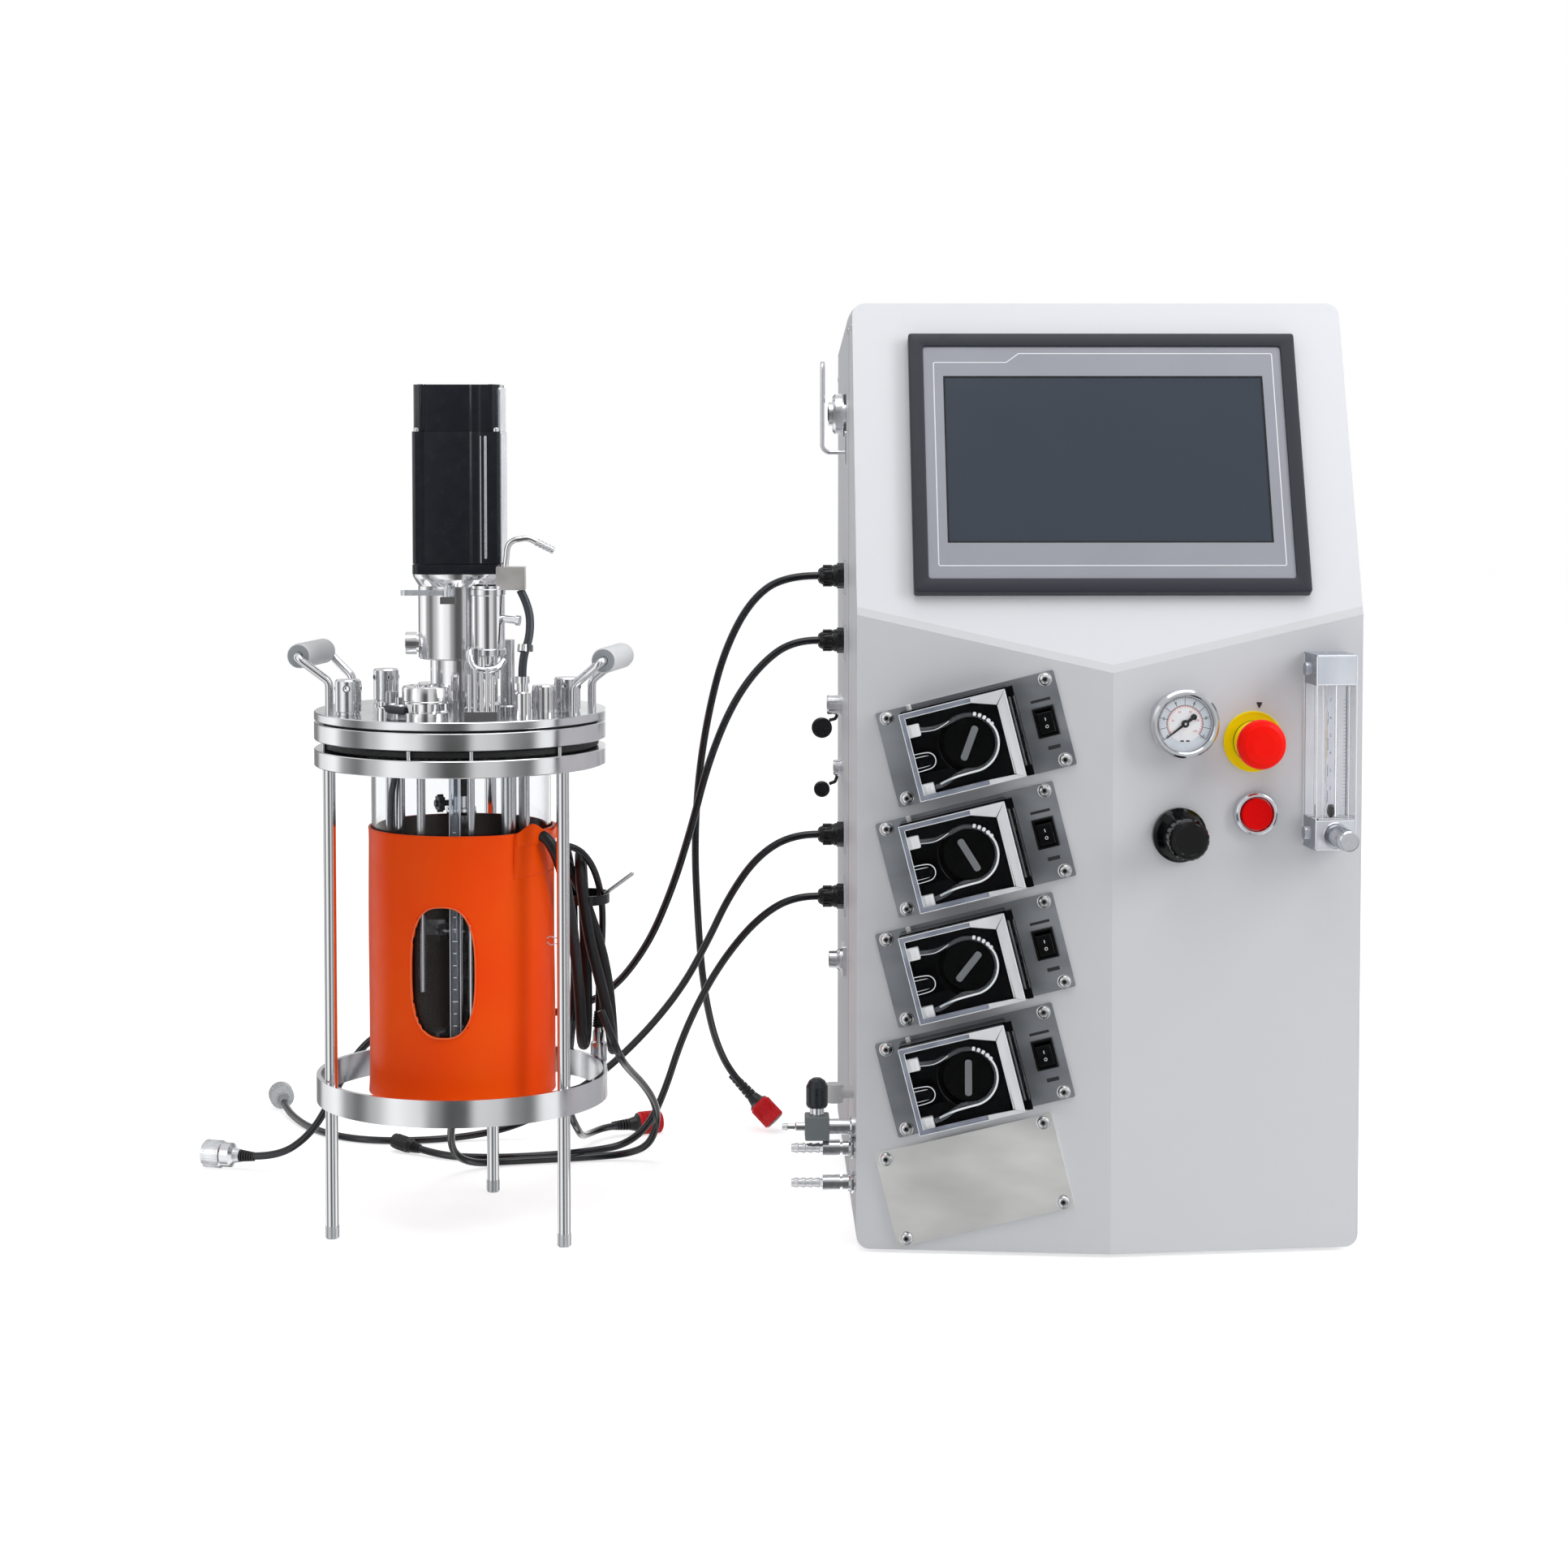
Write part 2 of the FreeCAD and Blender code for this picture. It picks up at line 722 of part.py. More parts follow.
node("pump_heads", group("pump_heads", *[
    group("pump_head_%d" % (i + 1), pump_head, **where)
    for i, where in enumerate(plate_places())]))

# Clear cover: a shallow tray over the head, with a hinge barrel at its right
# edge that turns on the pin.
cover_back = "(%s) + free_gap" % head_face
cover_tray = padded("cover_tray", "XZ_Plane", rectangle(
    "-head_left", "head_right - free_gap", "-head_height / 2 + 0.5", "head_height / 2 - 0.5"),
    "cover_depth", y="-(%s)" % cover_back)
soften(cover_tray, "2", runs_along(Y_AXIS))
soften(cover_tray, "1.2", lambda edge: edge.BoundBox.YLength < 0.01
       and edge.BoundBox.YMax < -number("cover_depth") + 0.01)
cover_hollow = padded("cover_hollow", "XZ_Plane", rectangle(
    "-head_left + cover_wall", "head_right - free_gap - cover_wall",
    "-head_height / 2 + 0.5 + cover_wall", "head_height / 2 - 0.5 - cover_wall"),
    "cover_depth - cover_wall", y="-(%s)" % cover_back)
barrel_half = "(%s) - free_gap" % lug_height
barrel = cylinder("hinge_barrel", "hinge_barrel_radius", "2 * (%s)" % barrel_half,
                  x=hinge_x, y=hinge_y, z="-(%s)" % barrel_half)
web = block("hinge_web", ("head_right - free_gap - cover_wall", hinge_x),
            ("(%s) - hinge_barrel_radius" % hinge_y, "-(%s)" % cover_back),
            ("-(%s)" % barrel_half, barrel_half))
barrel_bore = cylinder("barrel_bore", "hinge_pin_radius + running_gap", "head_height",
                       x=hinge_x, y=hinge_y, z="-head_height / 2")
pump_cover = cut("pump_cover", join("cover_blank", cut("cover_shell", cover_tray, cover_hollow),
                                    barrel, web), barrel_bore)

# Rotor: two discs, four rollers between them, a finger bar in front and the
# shaft that the gear motor turns.
rotor_back = "plate_thick + race_floor + 0.8"
rotor_front = "%s - 1.2" % head_face
DISC_THICK = "3"
ROLLER_PIN = "1.4"
ROLLER_GAP = "0.25"
rotor_discs = [
    cylinder("rotor_disc_back", "rotor_radius", DISC_THICK, **facing_front(
        x="race_x", y="-(%s)" % rotor_back)),
    cylinder("rotor_disc_front", "rotor_radius", DISC_THICK, **facing_front(
        x="race_x", y="-(%s) + %s" % (rotor_front, DISC_THICK)))]
rotor_hub = cylinder("rotor_hub", "6", "(%s) - (%s)" % (rotor_front, rotor_back),
                     **facing_front(x="race_x", y="-(%s)" % rotor_back))
rotor_shaft = cylinder("rotor_shaft", "rotor_shaft_radius", "rotor_shaft_length",
                       **facing_front(x="race_x", y="rotor_shaft_length - (%s)" % rotor_back))
finger_bar = padded("finger_bar", "XZ_Plane", rectangle("-2.4", "2.4", "-12.5", "12.5"),
                    "4", x="race_x", y="-(%s)" % rotor_front)
soften(finger_bar, "2", runs_along(Y_AXIS))
rotor_carrier = join("rotor_carrier", *rotor_discs, rotor_hub, rotor_shaft, finger_bar)
roller_pins = []
bored_rollers = []
for i in range(4):
    angle = 90 * i + 45
    spot = dict(x="race_x + roller_circle * cos(%d)" % angle,
                z="roller_circle * sin(%d)" % angle)
    roller = cylinder("roller_%d" % (i + 1), "roller_radius",
                      "(%s) - (%s) - 2 * (%s + %s)" % (rotor_front, rotor_back, DISC_THICK,
                                                       ROLLER_GAP),
                      **facing_front(y="-(%s) - %s - %s" % (rotor_back, DISC_THICK, ROLLER_GAP),
                                     **spot))
    bore = cylinder("roller_bore_%d" % (i + 1), ROLLER_PIN + " + running_gap",
                    "2 * head_depth", **facing_front(**spot))
    bored_rollers.append(cut("bored_roller_%d" % (i + 1), roller, bore))
    roller_pins.append(cylinder("roller_pin_%d" % (i + 1), ROLLER_PIN,
                                "(%s) - (%s) - 2" % (rotor_front, rotor_back),
                                **facing_front(y="-(%s) - 1" % rotor_back, **spot)))
rotor_body = join("rotor_body", rotor_carrier, *roller_pins)
pump_rotor = group("pump_rotor", rotor_body, *bored_rollers)
# The finger bars stopped at different angles when the pumps last ran.
finger_bar_angles = ["34", "-18", "52", "14"]
for i, where in enumerate(plate_places()):
    rotor_turned = group("rotor_turned_%d" % (i + 1), group(
        "rotor_centred_%d" % (i + 1), pump_rotor, x="-race_x"), x="race_x",
        pitch=finger_bar_angles[i])
    node("pump_rotor_%d" % (i + 1), group("pump_rotor_%d" % (i + 1), rotor_turned, **where))
    node("pump_cover_%d" % (i + 1), group("pump_cover_%d" % (i + 1), pump_cover, **where))

# Gear motors behind the prow
gear_motor = cut("gear_motor", join(
    "gear_motor_case",
    cylinder("motor_can", "motor_radius", "motor_length",
             **facing_front(x="race_x", y="cabinet_wall + 8 + motor_length")),
    cylinder("gear_case", "motor_radius + 3", "8",
             **facing_front(x="race_x", y="cabinet_wall + 8"))),
    cylinder("motor_bore", "rotor_shaft_radius + running_gap", "rotor_shaft_length",
             **facing_front(x="race_x", y="rotor_shaft_length - (%s) + 0.5" % rotor_back)))
node("pump_motors", group("pump_motors", *[
    group("gear_motor_%d" % (i + 1), gear_motor, **where)
    for i, where in enumerate(plate_places())]))

# Rocker switches: a frame clipped into the plate, and the rocker in it
switch_deep = 16
frame_rim = padded("frame_rim", "XZ_Plane", rectangle(
    "-rocker_frame_width / 2", "rocker_frame_width / 2",
    "-rocker_frame_height / 2", "rocker_frame_height / 2"), "2", x="rocker_x", y="-plate_thick")
soften(frame_rim, "0.8", lambda edge: edge.BoundBox.YMax < -1.99)
frame_case = block("frame_case", ("rocker_x - rocker_frame_width / 2 + 1",
                                  "rocker_x + rocker_frame_width / 2 - 1"),
                   ("-plate_thick", switch_deep),
                   ("-rocker_frame_height / 2 + 1", "rocker_frame_height / 2 - 1"))
frame_well = block("frame_well", ("rocker_x - rocker_width / 2 - 0.3",
                                  "rocker_x + rocker_width / 2 + 0.3"),
                   ("-plate_thick - 3", "6"), ("-rocker_opening_half", "rocker_opening_half"))
rocker_frame = cut("rocker_frame", join("frame_solid", frame_rim, frame_case), frame_well)
rocker_frames = [group("rocker_frame_%d" % (i + 1), rocker_frame, **where)
                 for i, where in enumerate(plate_places())]
rocker = padded("rocker", "YZ_Plane", [
    ("-plate_thick - 4", "-rocker_half"), ("-plate_thick - 2.6", "0"),
    ("-plate_thick - 4", "rocker_half"), ("-0.5", "rocker_half - 1"), ("2.5", "1"),
    ("2.5", "-1"), ("-0.5", "-rocker_half + 1"),
], "rocker_width", midplane=True, y="rocker_pivot")
soften(rocker, "0.6", lambda edge: edge.BoundBox.YMax < -number("plate_thick") - 2.5)
# All four are switched off: the lower half is pressed in.
rocker_off = group("rocker_off", rocker, x="rocker_x", y="-rocker_pivot", roll="rocker_tilt")
for i, where in enumerate(plate_places()):
    node("rocker_%d" % (i + 1), group("rocker_%d" % (i + 1), rocker_off, **where))

# ------------------------------------------------------------------ controls
# Pressure gauge: a steel case whose dial lies in a recess, a stem through the
# prow, and the needle on its pivot.
gauge_case = turned("gauge_case_form", [
    ("0", "-14"), ("5.5", "-14"), ("5.5", "0"), ("gauge_radius - 2.5", "0"),
    ("gauge_radius - 1.5", "1"), ("gauge_radius - 1.5", "gauge_depth - 6"),
    ("gauge_radius", "gauge_depth - 5"), ("gauge_radius", "gauge_depth - 1.5"),
    ("gauge_radius - 1.5", "gauge_depth"), ("gauge_radius - 3", "gauge_depth"),
    ("gauge_radius - 4", "gauge_depth - 1"), ("gauge_radius - 4", "dial_depth"),
    ("0.9", "dial_depth"), ("0.9", "gauge_depth - 2.2"), ("0", "gauge_depth - 2.2"),
], **OUTWARD)
node("gauge_case", group("gauge_case", gauge_case, **on_right_facet("gauge_off", "gauge_height")))
needle_rise = "dial_depth + 1"
needle = cut("needle_form", join(
    "needle_blank",
    padded("needle_blade", "XZ_Plane", [
        ("-1.1", "-6"), ("1.1", "-6"), ("0.35", "needle_length"), ("-0.35", "needle_length")],
        "0.5", y="-(%s) - 0.3" % needle_rise),
    cylinder("needle_hub", "2.6", "1.1", **facing_front(y="-(%s)" % needle_rise))),
    cylinder("needle_bore", "0.9 + running_gap", "20", **facing_front(y="0")))
# At rest the needle points at zero, down to the left.
ZERO_ANGLE = "-127"
node("gauge_needle", group("gauge_needle", group("needle_at_zero", needle, pitch=ZERO_ANGLE),
                           **on_right_facet("gauge_off", "gauge_height")))

# Emergency stop: a yellow disc and collar, and the red mushroom on its stem.
stop_collar_form = turned("stop_collar_form", [
    ("button_stem + running_gap", "-bush_depth"), ("bush_radius", "-bush_depth"),
    ("bush_radius", "0"), ("stop_disc_radius", "0"), ("stop_disc_radius", "1.5"),
    ("14.5", "1.5"), ("14.5", "stop_collar - 1"), ("13.5", "stop_collar"),
    ("button_stem + running_gap", "stop_collar")], **OUTWARD)
stop_mushroom = turned("stop_mushroom_form", [
    ("0", "-6"), ("button_stem", "-6"), ("button_stem", "stop_collar + stop_travel + 0.6"),
    ("9", "stop_collar + stop_travel + 0.6"),
    ("stop_head_radius - 3", "stop_reach - 11"), ("stop_head_radius", "stop_reach - 8"),
    ("stop_head_radius", "stop_reach - 5"), ("stop_head_radius - 1", "stop_reach - 2.6"),
    ("stop_head_radius - 4", "stop_reach - 0.8"), ("stop_head_radius - 9", "stop_reach"),
    ("0", "stop_reach")], **OUTWARD)
node("stop_button", group("stop_button", stop_mushroom,
                          **on_right_facet("stop_off", "stop_height")))
# Push button: a black collar and the red cap in it.
button_collar_form = turned("button_collar_form", [
    ("button_stem + running_gap", "-bush_depth"), ("bush_radius", "-bush_depth"),
    ("bush_radius", "0"), ("button_bezel_radius", "0"),
    ("button_bezel_radius", "3"), ("button_bezel_radius - 1.2", "4.2"),
    ("button_cap_radius + 0.2", "4.2"), ("button_cap_radius + 0.2", "0.6"),
    ("button_stem + running_gap", "0.6")], **OUTWARD)
button_cap = turned("button_cap_form", [
    ("0", "-8"), ("button_stem", "-8"), ("button_stem", "0.6 + button_travel + 0.3"),
    ("button_cap_radius", "0.6 + button_travel + 0.3"), ("button_cap_radius", "6"),
    ("button_cap_radius - 1", "6.8"), ("0", "7.2")], **OUTWARD)
node("push_button", group("push_button", button_cap,
                          **on_right_facet("button_off", "button_height")))

# Air regulator: a round black base and a ribbed knob on its spindle.
regulator_base_form = turned("regulator_base_form", [
    ("3 + running_gap", "-12"), ("bush_radius", "-12"), ("bush_radius", "0"),
    ("regulator_base_radius", "0"),
    ("regulator_base_radius", "4"), ("regulator_base_radius - 2", "6"),
    ("regulator_knob_radius - 1", "regulator_base_depth - 2"),
    ("regulator_knob_radius - 2", "regulator_base_depth"),
    ("3 + running_gap", "regulator_base_depth")], **OUTWARD)
node("panel_bezels", group(
    "panel_bezels", *rocker_frames,
    group("stop_collar", stop_collar_form, **on_right_facet("stop_off", "stop_height")),
    group("button_collar", button_collar_form, **on_right_facet("button_off", "button_height")),
    group("regulator_base", regulator_base_form,
          **on_right_facet("regulator_off", "regulator_height"))))
knob_blank = turned("regulator_knob_blank", [
    ("0", "-6"), ("3", "-6"), ("3", "regulator_base_depth + free_gap"),
    ("regulator_knob_radius - 1", "regulator_base_depth + free_gap"),
    ("regulator_knob_radius", "regulator_base_depth + 1.5"),
    ("regulator_knob_radius", "regulator_reach - 2"),
    ("regulator_knob_radius - 1.5", "regulator_reach"), ("0", "regulator_reach")], **OUTWARD)
KNOB_FLUTES = 20
flutes = [cylinder("flute_%d" % (i + 1), "0.8", "regulator_reach", **facing_front(
    x="(regulator_knob_radius + 0.25) * cos(%g)" % (360 / KNOB_FLUTES * i),
    z="(regulator_knob_radius + 0.25) * sin(%g)" % (360 / KNOB_FLUTES * i),
    y="-regulator_base_depth - 3")) for i in range(KNOB_FLUTES)]
node("regulator_knob", group("regulator_knob", cut("fluted_knob", knob_blank, *flutes),
                             **on_right_facet("regulator_off", "regulator_height")))

# Gas flow meter: a clear block with a bore between two black end blocks, held
# off the prow by two side nuts; the float rests at the bottom of the bore.
half_meter = "meter_width / 2"
meter_top = "2 * meter_end + meter_tube"
tube_block = cut("meter_tube_block", block(
    "meter_clear", ("-%s" % half_meter, half_meter), ("-meter_depth", "0"),
    ("meter_end", "meter_end + meter_tube")),
    cylinder("meter_bore_form", "meter_bore", "meter_tube + 2", y="-meter_depth / 2",
             z="meter_end - 1"))
end_blocks = []
for side, low, high in (("low", "0", "meter_end"), ("high", "meter_end + meter_tube", meter_top)):
    end = padded("meter_end_" + side, "XZ_Plane", rectangle(
        "-%s - 0.5" % half_meter, "%s + 0.5" % half_meter, low, high), "meter_depth + 1")
    end_blocks.append(soften(end, "1", lambda edge: edge.BoundBox.YMax < -number("meter_depth")))
needle_seat = cylinder("meter_seat", "2.5 + running_gap", "12",
                       **facing_front(y="-meter_depth + 10", z="meter_end / 2"))
end_blocks[0] = cut("meter_end_bored", end_blocks[0], needle_seat)
side_nuts = [cylinder("meter_nut_%d" % (i + 1), "4.5", "4", x="-%s - 0.5" % half_meter,
                      y="-meter_depth / 2", z=height, pitch="-90")
             for i, height in enumerate(("meter_end / 2", "meter_end * 1.5 + meter_tube"))]
meter_place = on_right_facet("meter_off", "meter_bottom")
node("flow_meter", group("flow_meter", tube_block, *end_blocks, *side_nuts, **meter_place))
node("meter_float", group("meter_float", turned("float_form", [
    ("0", "0"), ("1.2", "0"), ("float_radius", "3"), ("float_radius", "float_length - 2"),
    ("float_radius - 1", "float_length"), ("0", "float_length")],
    y="-meter_depth / 2", z="meter_end + 0.1"), **meter_place))
node("meter_knob", group("meter_knob", turned("meter_knob_form", [
    ("0", "-8"), ("2.5", "-8"), ("2.5", "2"), ("meter_knob_radius - 1.5", "2"),
    ("meter_knob_radius", "4"), ("meter_knob_radius", "meter_knob_reach - 1"),
    ("meter_knob_radius - 1", "meter_knob_reach"), ("0", "meter_knob_reach")],
    **facing_front(y="-meter_depth - 1", z="meter_end / 2")), **meter_place))


# ------------------------------------------------------------------ left side
def bent_path(points, bends):
    """Straight runs joined by tangent arcs; one bend radius for each inner point."""
    edges = []
    start = points[0]
    for i in range(1, len(points) - 1):
        before = (points[i] - points[i - 1]).normalize()
        after = (points[i + 1] - points[i]).normalize()
        half_turn = before.getAngle(after) / 2
        reach = bends[i - 1] * math.tan(half_turn)
        arc_start = points[i] - before * reach
        arc_end = points[i] + after * reach
        inward = (after - before).normalize()
        centre = points[i] + inward * (bends[i - 1] / math.cos(half_turn))
        edges.append(Part.LineSegment(start, arc_start).toShape())
        edges.append(Part.Arc(arc_start, centre - inward * bends[i - 1], arc_end).toShape())
        start = arc_end
    edges.append(Part.LineSegment(start, points[-1]).toShape())
    return Part.Wire(edges)


def swept_tube(path, radius):
    """A round rod along a path; its volume has to be its section times its length."""
    first = path.Edges[0]
    circle = Part.Circle(first.valueAt(first.FirstParameter),
                         first.tangentAt(first.FirstParameter), radius)
    tube = path.makePipeShell([Part.Wire([circle.toShape()])], True, False, 2)
    expected = math.pi * radius ** 2 * path.Length
    if abs(tube.Volume / expected - 1) > 0.01:
        raise ValueError("a swept tube has lost its shape")
    return tube


def vector(x, y, z):
    return Vector(number(x), number(y), number(z))


def bent_rod(name, points, bend, radius):
    """A bent steel rod as a document object; its points read the sheet."""
    rod = doc.addObject("Part::Feature", name)
    rod.Shape = swept_tube(bent_path(points, [bend] * (len(points) - 2)), radius)
    return rod


side_spot = "cabinet_left - hook_out"
hook_y = "cabinet_front + hook_back"
cable_hook = bent_rod("cable_hook", [
    vector("cabinet_left", hook_y, "hook_height"),
    vector(side_spot, hook_y, "hook_height"),
    vector(side_spot, hook_y, "hook_top"),
    vector("(%s) + 1" % side_spot, "(%s) + 14" % hook_y, "hook_top"),
    vector("(%s) + 1" % side_spot, "(%s) + 14" % hook_y, "hook_top - 30"),
], 6, number("hook_radius"))

# Metal fittings on the left wall: an air inlet, two instrument sockets, a
# four-hole flange socket, two hose barbs and the drain valve's body.
fittings = [
    cable_hook,
    turned("air_inlet", [("0", "0"), ("air_radius - 4", "0"), ("air_radius - 4", "3"),
                         ("air_radius", "3"), ("air_radius", "8"), ("air_radius - 2", "10"),
                         ("air_radius - 6", "10"), ("air_radius - 6", "13"), ("0", "13")],
           **on_left_side("air_back", "air_height")),
]


def socket(name, radius, length, height):
    return turned(name, [
        ("0", "0"), (radius + " + 1", "0"), (radius + " + 1", "1.5"), (radius, "1.5"),
        (radius, length + " - 1"), (radius + " - 1", length), (radius + " - 2.5", length),
        (radius + " - 2.5", "3"), ("0", "3")], **on_left_side("socket_back", height))


fittings.append(socket("socket_a", "socket_radius", "12", "socket_a_height"))
fittings.append(socket("socket_b", "(socket_radius - 1.5)", "7", "socket_b_height"))
flange = padded("flange_plate", "XY_Plane", rectangle("-12", "12", "-12", "12"), "3")
soften(flange, "2", runs_along(Z_AXIS))
flange_socket = cut("flange_socket", join("flange_blank", flange, turned("flange_boss", [
    ("0", "0"), ("9", "0"), ("9", "5"), ("7", "7"), ("7", "13"), ("0", "13")])),
    cylinder("flange_mouth", "4.5", "10", z="6"),
    *[cylinder("flange_hole_%d" % (i + 1), "1.6", "10", x=x, y=y, z="-1")
      for i, (x, y) in enumerate((("9", "9"), ("-9", "9"), ("-9", "-9"), ("9", "-9")))],
    **on_left_side("flange_back", "flange_height"))
fittings.append(flange_socket)


def hose_barb(name, height):
    ribs = [("3.4", "gas_out")]
    for i in range(4):
        low = "gas_out - %g" % (5 * i)
        ribs = ribs + [("3.6", "(%s) - 4.6" % low), ("2.7", "(%s) - 5" % low)]
    profile = [("0", "0"), ("7", "0"), ("7", "3"), ("5.5", "5"), ("5.5", "9"), ("4.2", "9"),
               ("4.2", "11"), ("5.6", "11"), ("5.6", "23"), ("3.2", "23")]
    profile = profile + list(reversed(ribs[1:])) + [("2.6", "gas_out"), ("0", "gas_out")]
    return turned(name, profile, **on_left_side("gas_back", height))


fittings.append(hose_barb("hose_barb_a", "barb_a_height"))
fittings.append(hose_barb("hose_barb_b", "barb_b_height"))
# Drain valve: a square block on a pipe, a side barb, and a stem bush on top
valve_centre = "valve_pipe + valve_block / 2"
valve_half = "valve_block / 2"
valve_block = padded("valve_block_form", "XZ_Plane", rectangle(
    "-valve_pipe - valve_block", "-valve_pipe", "-%s" % valve_half, valve_half),
    "valve_block", midplane=True)
soften(valve_block, "1.2", lambda edge: True)
valve_pipe = turned("valve_pipe_form", [("0", "0"), ("7.5", "0"), ("7.5", "3"), ("5.4", "4"),
                                        ("5.4", "valve_pipe + 1"), ("0", "valve_pipe + 1")],
                    pitch="-90")
valve_barb = turned("valve_barb", [("0", "-1"), ("3", "-1"), ("3", "6"), ("2", "7"),
                                   ("2", "12"), ("2.6", "12.4"), ("1.9", "16"), ("0", "16")],
                    x="-valve_pipe - valve_block", pitch="-90")
valve_bush = cylinder("valve_bush", "5", "6", x="-(%s)" % valve_centre, z="%s - 1" % valve_half)
valve_bore = cylinder("valve_bore", "2.5 + running_gap", "9", x="-(%s)" % valve_centre,
                      z="%s - 3" % valve_half)
valve_body = cut("valve_body", join("valve_blank", valve_block, valve_pipe, valve_barb,
                                    valve_bush), valve_bore,
                 x="cabinet_left", y="cabinet_front + gas_back", z="valve_height")
fittings.append(valve_body)
elbow = join("gas_elbow", cylinder("elbow_arm", "4.5", "16",
                                   **on_left_side("gas_back + 38", "valve_height + 16")),
             cylinder("elbow_nose", "6.5", "13", x="cabinet_left - 14",
                      y="cabinet_front + gas_back + 38", z="valve_height + 9"))
fittings.append(elbow)
node("side_fittings", group("side_fittings", *fittings))
node("valve_knob", turned("valve_knob", [
    ("0", "-2.5"), ("2.5", "-2.5"), ("2.5", "5.3"), ("valve_knob_radius - 1", "5.3"),
    ("valve_knob_radius", "7"), ("valve_knob_radius", "valve_knob_height - 4"),
    ("valve_knob_radius - 2", "valve_knob_height"), ("2.5", "valve_knob_height + 2"),
    ("0", "valve_knob_height + 2")],
    x="cabinet_left - (%s)" % valve_centre, y="cabinet_front + gas_back",
    z="valve_height + %s" % valve_half))

# Dust caps of the two sockets, hanging on their rubber straps
caps = []
for name, height, radius, sink in (("a", "socket_a_height", "cap_radius", "18"),
                                   ("b", "socket_b_height", "(cap_radius - 1.8)", "17")):
    cap = turned("cap_" + name, [("0", "0"), (radius + " - 1", "0"), (radius, "1"),
                                 (radius, "6"), (radius + " - 1.6", "6"),
                                 (radius + " - 1.6", "2"), ("0", "2")],
                 x="cabinet_left - 16", y="cabinet_front + socket_back - 3",
                 z="%s - %s" % (height, sink), roll="-90")
    strap = bent_rod("strap_" + name, [
        vector("cabinet_left - 4", "cabinet_front + socket_back",
               "%s - %s - 0.3" % (height, "socket_radius" if name == "a" else "6.3")),
        vector("cabinet_left - 5.5", "cabinet_front + socket_back - 1", "%s - 11" % height),
        vector("cabinet_left - 10", "cabinet_front + socket_back", "%s - %s + %s - 2" % (
            height, sink, radius)),
    ], 2, 1.3)
    caps.append(join("cap_and_strap_" + name, cap, strap))
node("dust_caps", group("dust_caps", *caps))

# Cable glands: hex nut, then a domed nut that grips the cable
def gland(name, height):
    return turned(name, [
        ("0", "-6"), ("gland_radius - 2.2", "-6"), ("gland_radius - 2.2", "0"),
        ("gland_radius + 0.6", "0"), ("gland_radius + 0.6", "gland_nut - 1"),
        ("gland_radius", "gland_nut"), ("gland_radius - 0.5", "gland_nut + gland_dome - 5"),
        ("gland_radius - 2.5", "gland_nut + gland_dome - 1"),
        ("gland_radius - 4", "gland_nut + gland_dome"), ("0", "gland_nut + gland_dome"),
    ], **on_left_side("gland_back", height))


node("cable_glands", group("cable_glands", *[
    gland("gland_%d" % (i + 1), height) for i, height in enumerate(gland_heights)]))

# ------------------------------------------------------------------ vessel
# Everything here is placed from the vessel's axis: X to the right, Y to the back.
vessel_spot = dict(x="vessel_x", y="vessel_y")


def on_lid(x, y, **turn):
    return at_vessel(x, y, "lid_top", **turn)


def drilled(name, radius, x, y):
    """A drill through the lid, the seal and the clamp ring."""
    return cylinder(name, radius, "lid_top - clamp_bottom + 2", x=x, y=y,
                    z="clamp_bottom - 1")


nut_spots = [("-76", "-35"), ("-60", "60"), ("2", "84"), ("77", "-17")]
stud_drills = [drilled("stud_drill_%d" % (i + 1), "stud_radius + 0.1", x, y)
               for i, (x, y) in enumerate(nut_spots)]
# Tubes and probes that pass through the lid: place, radius, lower end, upper end
dip_tubes = {
    "sampling_tube": ("-47", "-18", "4.6", "tube_bottom", "lid_top + 14"),
    "air_tube": ("-40", "-31", "3.4", "tube_bottom + 6", "lid_top + 11"),
    "feed_tube": ("-24", "-45", "3", "tube_bottom + 60", "lid_top + 9"),
    "level_probe": ("11", "-48", "2.6", "tube_bottom + 34", "lid_top + 12"),
    "temperature_probe": ("36", "-36", "5", "tube_bottom + 12", "lid_top + 52"),
    "acid_probe": ("46", "-22", "3.8", "tube_bottom + 22", "lid_top + 16"),
    "baffle_rod": ("-10", "50", "3", "tube_bottom + 4", "lid_top + 8"),
    "sparger_tube": ("34", "38", "3", "tube_bottom - 4", "lid_top + 10"),
}
tube_drills = [cylinder("drill_" + name, radius + " + 0.1", "40", x=x, y=y, z="lid_bottom - 5")
               for name, (x, y, radius, low, high) in dip_tubes.items()]
shaft_drill = cylinder("shaft_drill", "shaft_radius + 2", "40", z="lid_bottom - 5")
lid_blank = turned("lid_blank", [
    ("0", "lid_bottom"), ("lid_radius - 0.6", "lid_bottom"), ("lid_radius", "lid_bottom + 0.6"),
    ("lid_radius", "lid_top - 0.6"), ("lid_radius - 0.6", "lid_top"), ("0", "lid_top")])
node("head_plate", cut("head_plate", lid_blank, *stud_drills, *tube_drills, shaft_drill,
                       **vessel_spot))


def ring(name, bore, radius, low, high):
    """A flat ring with broken outer edges."""
    return turned(name, [(bore, low), (radius + " - 0.6", low), (radius, low + " + 0.6"),
                         (radius, high + " - 0.6"), (radius + " - 0.6", high), (bore, high)])


